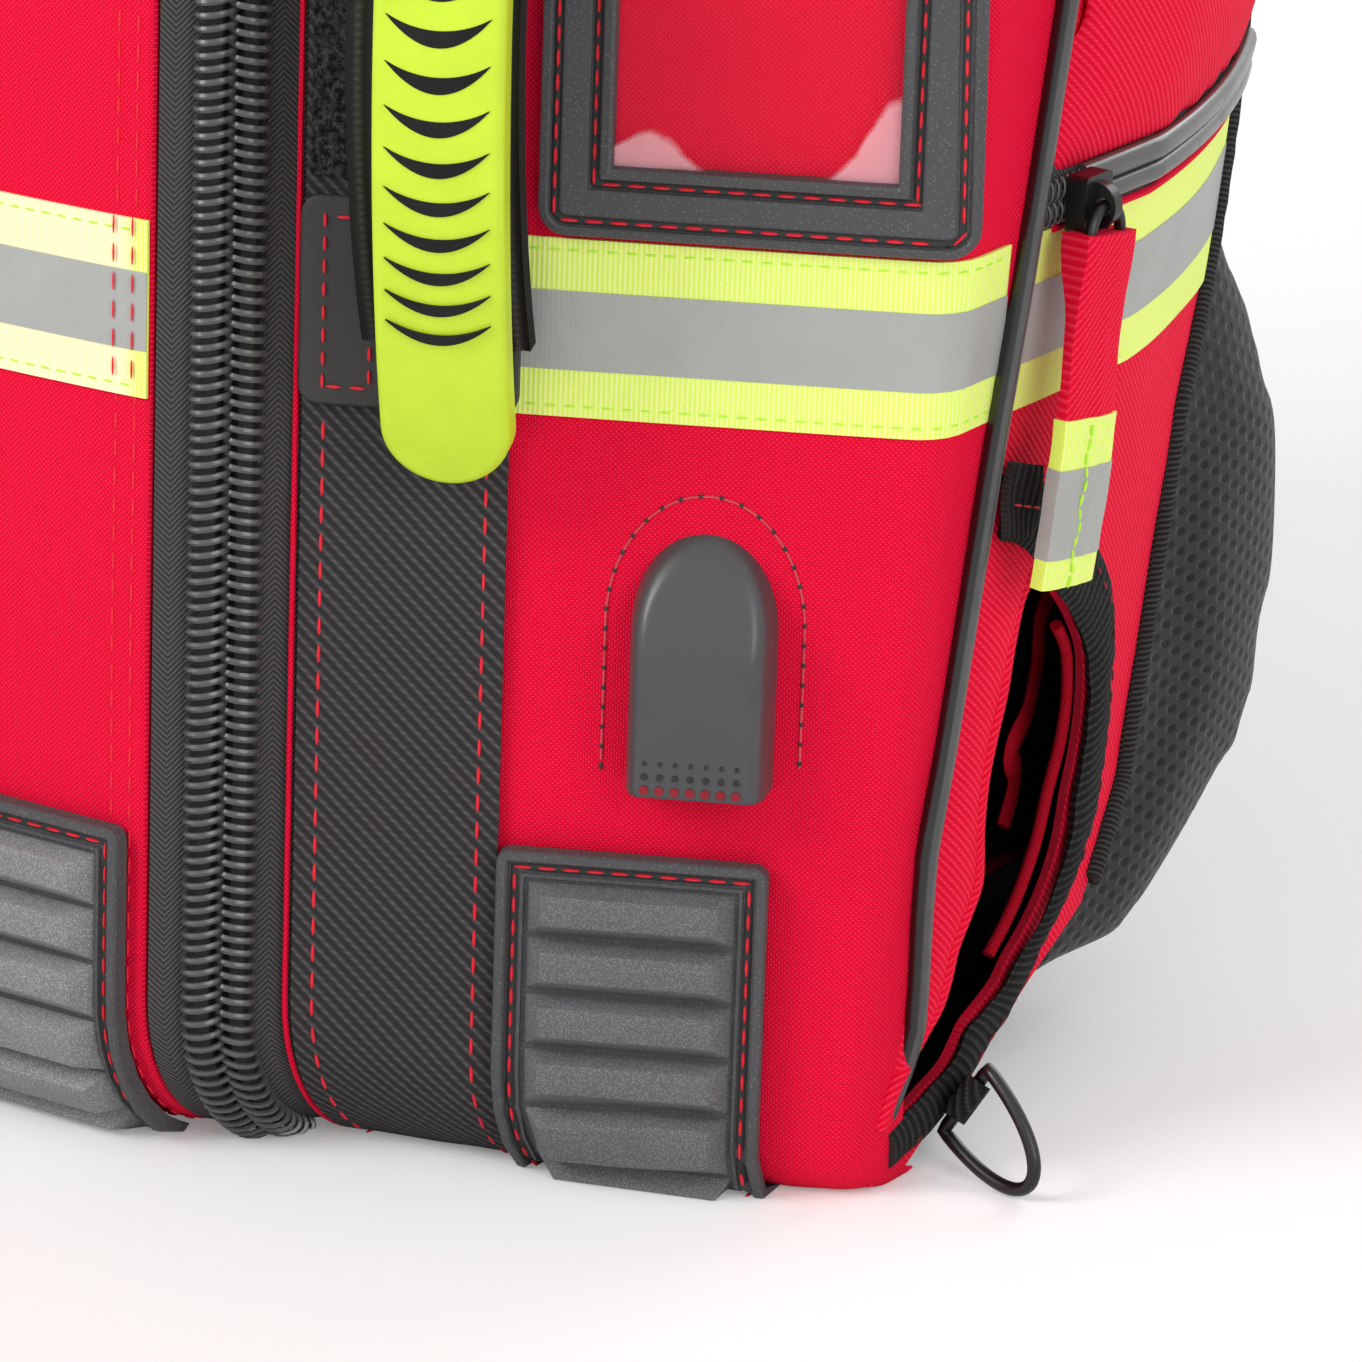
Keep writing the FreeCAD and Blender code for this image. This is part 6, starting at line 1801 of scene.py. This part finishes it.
strap = wrap_map(smooth(close_seams(block("strap", 14, 3, STRAP_STEPS, strap_spot)), 60))
for piece in both_sides(strap, "shoulder_strap_cloth", mesh_knit, "black_fabric", node="shoulder_strap_{}"):
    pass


def strap_edge(side):
    """Bound edge of the strap: webbing folded round its rim."""
    points = [Vector((STRAP_MID + side * (STRAP_HALF - 0.5 * MM), spot.x, spot.y)) for spot in strap_line]
    flat = [Vector((0, length)) for length in run_lengths(points)]

    def place(back, up, out):
        share = up / flat[-1].y * STRAP_STEPS
        low = min(STRAP_STEPS - 1, max(0, int(share)))
        spot = points[low] + (points[low + 1] - points[low]) * (share - low)
        ahead = (points[low + 1] - points[low]).normalized()
        across = Vector((1, 0, 0))
        return spot + across * (side * back) + across.cross(ahead) * (side * out)

    return close_seams(tube_along("strap_edge", flat, place, 2.8 * MM, 0.0, squash=1.3))


edges = joined("strap_edges", [strap_edge(side) for side in (-1, 1)])
both_sides(smooth(edges, 60), "strap_binding", overlock, "black_webbing")

# --- pull tabs, D-rings and grips -------------------------------------------------------------

TAB_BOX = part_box("pull_tab_right")
TAB_TOP = Vector(((TAB_BOX[0].x + TAB_BOX[1].x) / 2 + 1.2 * MM, -10 * MM, TAB_BOX[1].z - 1.0 * MM))
TAB_LONG, TAB_HALF = mm(62, 8.5)
TAB_TURN, TAB_LEAN = math.radians(7), math.radians(-0.2)
TAB_DOWN = Vector((-math.sin(TAB_LEAN), -math.sin(TAB_TURN), -math.cos(TAB_TURN)))
TAB_ACROSS = Vector((0, math.cos(TAB_TURN), -math.sin(TAB_TURN)))
TAB_OUT = Vector((1, 0, -math.sin(TAB_LEAN)))


def on_tab(across, down, out):
    """From flat to the hanging tab: across towards the back, down from the ring."""
    bow = 1.2 * MM * math.sin(math.pi * clamp(down / TAB_LONG))
    bow += 1.9 * MM * math.exp(-(down / (9 * MM)) ** 2) * (1 if out > 0 else -1)
    return TAB_TOP + TAB_DOWN * down + TAB_ACROSS * across + TAB_OUT * (out + bow)


def tab_piece(low, high, thick, half):
    """A length of the folded tab, drawn in at its edges, with a soft fold along its middle."""
    def rise(x, y):
        fold = 0.35 * MM * math.exp(-((x - 1.5 * MM) / (1.2 * MM)) ** 2)
        return thick / 2 - 0.8 * MM * (abs(x) / half) ** 6 + 0.25 * MM * ripple(x, y, 8 * MM, 8.0) + fold

    return close_seams(strip("tab", (-half, low), (half, high), 1.3 * MM, thick, on_tab, rise=rise, angle=50))


WRAP_TOP, STRIPE_TOP, STRIPE_FOOT = mm(31, 40, 56.5)
tab = tab_piece(-2.2 * MM, STRIPE_TOP, 2.4 * MM, TAB_HALF)
tabs = both_sides(tab, "pull_tab_cloth", red_twill, "red_fabric", "side_pull_{}", "pull_tab_{}")
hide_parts("pull_tab_right")
tab_wrap = tab_piece(WRAP_TOP, TAB_LONG, 3.2 * MM, TAB_HALF + 0.7 * MM)
both_sides(tab_wrap, "pull_tab_wrap", lime_cloth, "reflective_tape", "side_pull_{}")
tab_stripe = tab_piece(STRIPE_TOP, STRIPE_FOOT, 3.6 * MM, TAB_HALF + 0.8 * MM)
both_sides(tab_stripe, "pull_tab_stripe", silver, "reflective_tape", "side_pull_{}")
tab_run = [
    (-1.5 * MM + 0.5 * MM * math.sin(step * 0.9), WRAP_TOP + 1 * MM + (TAB_LONG - WRAP_TOP - 2 * MM) * step / 24)
    for step in range(25)
]
tab_thread = stitch_row("tab_row", tab_run, on_tab, pitch=2.6, length=2.4, out=1.95 * MM)
both_sides(tab_thread, "tab_thread", lime_thread, "reflective_tape", "side_pull_{}")

# D-rings: a straight bar and a bow, held by a webbing loop folded round the bar

BAR_MID = Vector((181.2, -25.0, 15.0)) * MM
BAR_WAY = Vector((-0.544, 0.077, -0.836)).normalized()
BOW_WAY = Vector((0.814, -0.191, -0.548)).normalized()
BAR_HALF, BOW_DEEP = mm(8.8, 20.3)
BOW_STEPS = 44
EYE_RADIUS, WIRE_RADIUS = mm(2.5, 1.3)
LOOP_ROOT = Vector((170.5, -9.0, 8.5)) * MM
LOOP_WIDE, LOOP_THICK = mm(10.4, 2.2)
LOOP_RUN = (BAR_MID - LOOP_ROOT).length
LOOP_WAY = (BAR_MID - LOOP_ROOT).normalized()


def on_ring(back, up, out):
    return BAR_MID + BAR_WAY * back + BOW_WAY * up + BAR_WAY.cross(BOW_WAY) * out


def loop_spot(x, y, z):
    """Folded webbing that thickens to an eye round the bar."""
    reach = y * (LOOP_RUN + EYE_RADIUS)
    past = reach - LOOP_RUN
    thick = max(LOOP_THICK if past < 0 else 0.8 * MM, 2 * math.sqrt(max(0, EYE_RADIUS ** 2 - past ** 2)))
    side = BAR_WAY.cross(LOOP_WAY).normalized()
    return LOOP_ROOT + LOOP_WAY * reach + BAR_WAY * (LOOP_WIDE * (x - 0.5)) + side * (thick * (z - 0.5))


bow_turns = [math.pi * step / BOW_STEPS for step in range(BOW_STEPS + 1)]
ring_spots = [Vector((BAR_HALF * share / 6, 0)) for share in range(0, -6, -1)]
ring_spots += [Vector((-BAR_HALF * math.cos(turn), BOW_DEEP * math.sin(turn) ** 0.92)) for turn in bow_turns]
ring_spots += [Vector((BAR_HALF * share / 6, 0)) for share in range(5, -1, -1)]
ring = tube_along("ring", ring_spots, on_ring, WIRE_RADIUS, 0.0, sides=14)
rings = both_sides(ring, "d_ring_wire", black_enamel, "black_metal", "d_ring_{}", "d_ring_{}")
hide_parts("d_ring_right")
ring_loop = wrap_map(smooth(close_seams(block("ring_loop", 5, 30, 2, loop_spot)), 60))
both_sides(ring_loop, "d_ring_loop", knit_band, "black_webbing", node="d_ring_tabs")

# the grips' thumb slots get flat black crescents, level with the grip's face: the black webbing behind the slots, with
# the shade inside them painted on

GRIP_LOW, GRIP_HIGH = (corner.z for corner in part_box("handle_grip_right"))
GRIP_MID = 28.5 * MM
GRIP_CENTRE, GRIP_HALF_RUN = (GRIP_LOW + GRIP_HIGH) / 2, (GRIP_HIGH - GRIP_LOW) / 2
GRIP_PROUD, GRIP_RISE = mm(38, 21.6)
SLOT_ROWS, SLOT_PITCH = 8, 8.25 * MM
SLOT_HALF, SLOT_HIGH = mm(9.2, 2.9)


def grip_height(up):
    """Outer face of the bowed grip above the panel."""
    radius = (GRIP_HALF_RUN ** 2 + GRIP_RISE ** 2) / (2 * GRIP_RISE)
    return GRIP_PROUD - radius + math.sqrt(radius ** 2 - (up - GRIP_CENTRE) ** 2)


def slot_floor(place, height):
    """A crescent hanging like a smile."""

    def slot_spot(x, y, z):
        across = 2 * x - 1
        crest = 1 - across ** 2
        up = place - 2.6 * MM * crest - (height + 0.2 * MM) * crest * (1 - y)
        return on_front(GRIP_MID + SLOT_HALF * across, up, grip_height(up) + 0.12 * MM)

    return reshape(unit_grid("slot_floor", 20, 3), slot_spot)


shade_crescents = []
for row in [step + 0.5 for step in range(SLOT_ROWS)]:
    apart, height = SLOT_PITCH * row * (1 - 0.021 * row), SLOT_HIGH * (1 - 0.5 * row / SLOT_ROWS)
    shade_crescents += [slot_floor(GRIP_CENTRE + side * apart, height) for side in (-1, 1)]
shade_crescents = modify(joined("slot_floors", shade_crescents), "SOLIDIFY", thickness=0.6 * MM, offset=-1)
both_sides(smooth(close_seams(shade_crescents)), "grip_slot_floors", slot_shade, "lime_grip")

# --- base, back and top -----------------------------------------------------------------------

FLOOR = 0.5 * MM
REAR_EDGE = 104 * MM
REAR_HALF = 60 * MM
BACK_FOOT, BACK_SPLIT, BACK_TOP = mm(1, 210, 514)
CORNER_FRONT = -42 * MM
front_line = [on_lid(LID_HALF * step / 23, -0.45 * TUCK_AT_LID, 0) for step in range(24)]
front_line += [on_zip(ZIP_RUN * step / 7, -0.45 * TUCK_AT_LID, 0) for step in range(8)]
for step in range(40):
    along = front_run(0) * step / 39
    front_line.append(on_front(along, -0.3 * tuck_radius(along), 0))


def front_at(x):
    """How far forward the base reaches at one distance from the middle."""
    for low, high in zip(front_line, front_line[1:]):
        if low.x <= x <= high.x and high.x > low.x:
            return low.y + (high.y - low.y) * (x - low.x) / (high.x - low.x)
    return front_line[-1].y if x > front_line[-1].x else front_line[0].y


def base_spot(x, y, z):
    across = 2 * x - 1
    far = abs(across) * corner_end(0).x
    start = front_at(far)
    back = start + (HEEL.x - 1 * MM - start) * y
    wall = on_side(back, side_foot(back), 0).x - 0.6 * MM if back > CORNER_FRONT else far
    far = min(far, wall)
    slant = FLANK_LEAN * (far - corner_end(0).x) + FLANK_SLOPE * (back - FLANK_FRONT)
    return Vector((math.copysign(far, across), back, max(FLOOR, slant + 0.2 * MM) + 1.6 * MM * z))


base = close_seams(block("base_cloth", 90, 60, 1, base_spot))
done(smooth(base, 50), black_cloth, "black_fabric", "pack", "base_panel")


def rear_spot(across, up):
    """Place on the back at one share of its width and one height."""
    edge = rear_back(up) - 1.6 * MM
    start = min(edge, REAR_EDGE)
    side = on_side(start, up, 0).x - 1.2 * MM
    slanting = corner_end(0).x + (up - FLANK_SLOPE * (edge - FLANK_FRONT)) / FLANK_LEAN - 0.4 * MM
    side = max(REAR_HALF, min(side, slanting))
    full = rear_back(up) if up < BEND.y else BACK_FACE
    flat = min(1, (1 - abs(across)) / 0.07)
    return Vector((side * across, start + (full - start) * math.sin(math.pi / 2 * flat), up))


def rear_piece(name, low, high, rows, puff, node):
    def spot(x, y, z):
        across = 2 * x - 1
        rise = puff * (1 - across ** 2) * (1 - (2 * z - 1) ** 4)
        place = rear_spot(across, low + (high - low) * z)
        return Vector((place.x, place.y + rise - 2 * MM * (1 - y), place.z))

    piece = wrap_map(close_seams(block(name, 46, 1, rows, spot)))
    done(smooth(piece, 50), black_cloth, "black_fabric", "pack", node)


rear_piece("lower_back_cloth", BACK_FOOT, BACK_SPLIT + 1 * MM, 70, 0.0, "lower_back_panel")
rear_piece("back_cloth", BACK_SPLIT, BACK_TOP, 60, 1.5 * MM, "back_panel")

plan = [on_lid(LID_HALF * step / 12, PACK_HIGH, 0) for step in range(12)]
plan += [on_zip(ZIP_RUN * step / 5, PACK_HIGH, 0) for step in range(5)]
plan += [on_front(front_run(PACK_HIGH) * step / 40, PACK_HIGH, 0) for step in range(40)]
plan += [on_side(spot.x, PACK_HIGH, 0) for spot in line((piping_back(PACK_HIGH), 0), (REAR_EDGE, 0), 30)[:-1]]
plan += [rear_spot(1 - step / 12, PACK_HIGH) for step in range(12)]
plan = [spot.to_2d() for spot in plan]
plan += [Vector((0, BACK_FACE))] + [Vector((-spot.x, spot.y)) for spot in reversed(plan[1:])]
PLAN_MID = Vector((0, 5 * MM))
TOP_PROFILE = [
    (0, 0), (0, 3.0), (0.6, 4.2), (2.4, 4.8), (5, 4.6), (12, 5.4), (26, 6.4), (44, 7.2), (66, 7.8), (90, 8.0),
]


def plan_ring(inset):
    return [PLAN_MID + (spot - PLAN_MID) * (1 - inset / (110 * MM)) for spot in plan]


top = ring_sheet("top_cloth", plan_ring, in_metres(TOP_PROFILE), PLAN_MID)
reshape(top, lambda x, y, z: Vector((x, y, PACK_HIGH + z + 0.4 * MM * ripple(x, y, 40 * MM, 4.0))))
done(smooth(wrap_map(top), 50), red_cloth, "red_fabric", "pack", "top_panel")


def on_rim(back, up, out):
    return Vector((back, up, PACK_HIGH + 2.0 * MM + out))


rim = tube_along("top_piping", plan + plan[:1], on_rim, 2.4 * MM, 0.0)
done(smooth(close_seams(rim), 60), overlock, "black_webbing", "pack")

HEADER_LOW = LID_TOP + 10 * MM
HEADER_STEP = 7.4 * MM
HEADER_HALF = LID_HALF + ZIP_RUN * 0.98


def on_header(across, up, out):
    if abs(across) <= LID_HALF:
        return on_lid(across, up, out)
    spot = on_zip(abs(across) - LID_HALF, up, out)
    return Vector((math.copysign(spot.x, across), spot.y, spot.z))


def header_drop(x, y, z):
    """Between the zippers the header reaches down to the lid."""
    share = (PACK_HIGH - y) / (PACK_HIGH - HEADER_LOW)
    inside = clamp((LID_HALF - abs(x)) / (2.5 * MM))
    return Vector((x, y - HEADER_STEP * inside * share, z))


header = strip(
    "header_cloth", (-HEADER_HALF, HEADER_LOW), (HEADER_HALF, PACK_HIGH), 3 * MM, 1.6 * MM, on_header,
    rise=lambda x, y: 0.6 * MM + 0.3 * MM * ripple(x, y, 30 * MM, 1.0), warp=header_drop,
)
done(header, red_cloth, "red_fabric", "pack", "header_panel")

# top handle and its sewn-down feet

FOOT_MID, FOOT_HALF = mm(64.5, 13)
FOOT_FRONT, FOOT_REAR, FOOT_THICK = mm(58, 82, 2.4)
HANDLE_BACK = 70 * MM
HANDLE_REACH, HANDLE_ARCH, HANDLE_THICK = mm(62, 24, 5.6)


def handle_spot(x, y, z):
    """Padded webbing handle over an arch, its ends sewn flat to the top."""
    turn = math.pi * x
    reach = HANDLE_REACH + 5 * MM * y
    lift = (HANDLE_ARCH + HANDLE_THICK * y) * math.sin(turn) ** 0.8
    across = 2 * z - 1
    half = 11 * MM + 3 * MM * math.exp(-((2 * x - 1) / 0.75) ** 8)
    crown = 1.0 * MM * (1 - across ** 2) * (1 if y > 0.5 else -1)
    up = PACK_TOP + 2.2 * MM + lift + crown * math.sin(turn)
    return Vector((-reach * math.cos(turn), HANDLE_BACK + half * across, up))


handle = close_seams(block("top_handle_cloth", 48, 1, 8, handle_spot))
modify(handle, "BEVEL", width=1.2 * MM, segments=2, limit_method="ANGLE")
done(smooth(wrap_map(handle), 60), black_twill, "black_webbing", "pack", "top_handle")

feet = []
for middle in (-FOOT_MID, FOOT_MID):
    corners = (middle - FOOT_HALF, FOOT_FRONT), (middle + FOOT_HALF, FOOT_REAR)
    foot = sheet_between("foot", *corners, 3 * MM, PACK_HIGH + 8.6 * MM)
    feet.append(modify(flat_map(foot), "SOLIDIFY", thickness=FOOT_THICK, offset=-1))
done(smooth(joined("top_handle_feet", feet)), black_twill, "black_webbing", "pack")

# webbing that joins the grips to the pack, bowed under each grip

HANDLE_LOW, HANDLE_HIGH = (corner.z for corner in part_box("handle_webbing"))
BAND_PROUD, BAND_BOW, BAND_RIB = mm(6.6, 23.8, 1.6)
BAND_LEFT, BAND_RIGHT = mm(11.4, 41.4)


def handle_rise(x, y):
    share = (y - HANDLE_LOW) / (HANDLE_HIGH - HANDLE_LOW)
    ribs = 0.25 * MM * math.cos(x / BAND_RIB * math.pi)
    return BAND_PROUD + BAND_BOW * 4 * share * (1 - share) + ribs


band = strip("band", (BAND_LEFT, HANDLE_LOW), (BAND_RIGHT, HANDLE_HIGH), 0.8 * MM, 2.2 * MM, on_front, rise=handle_rise)
both_sides(band, "handle_band", ribbed_webbing, "black_webbing", node="handle_webbing")

# strap webbing from the lower back up through the ladder locks

LOCK, WEB_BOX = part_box("ladder_locks"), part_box("strap_webbing")
TAIL_START = Vector((WEB_BOX[0].y + 0.4 * MM, WEB_BOX[0].z + 1.2 * MM))
TAIL_BEND = Vector((LOCK[0].y - 1.0 * MM, LOCK[0].z + 1 * MM))
TAIL_END = Vector((LOCK[0].y - 1.0 * MM, LOCK[1].z - 1 * MM))
TAIL_HALF = 12.5 * MM
TAIL_FIRST = (TAIL_BEND - TAIL_START).length
TAIL_LONG = TAIL_FIRST + (TAIL_END - TAIL_BEND).length


def on_tail(across, run, out):
    if run < TAIL_FIRST:
        start, way, past = TAIL_START, (TAIL_BEND - TAIL_START).normalized(), run
    else:
        start, way, past = TAIL_BEND, (TAIL_END - TAIL_BEND).normalized(), run - TAIL_FIRST
    spot = start + way * past + Vector((way.y, -way.x)) * out
    return Vector((STRAP_MID + across, spot.x, spot.y))


tail = close_seams(strip("tail", (-TAIL_HALF, 0), (TAIL_HALF, TAIL_LONG), 2 * MM, 1.5 * MM, on_tail))
both_sides(tail, "strap_webbing", black_twill, "black_webbing", node="strap_webbing")

# --- last update ------------------------------------------------------------------------------

bpy.context.view_layer.update()
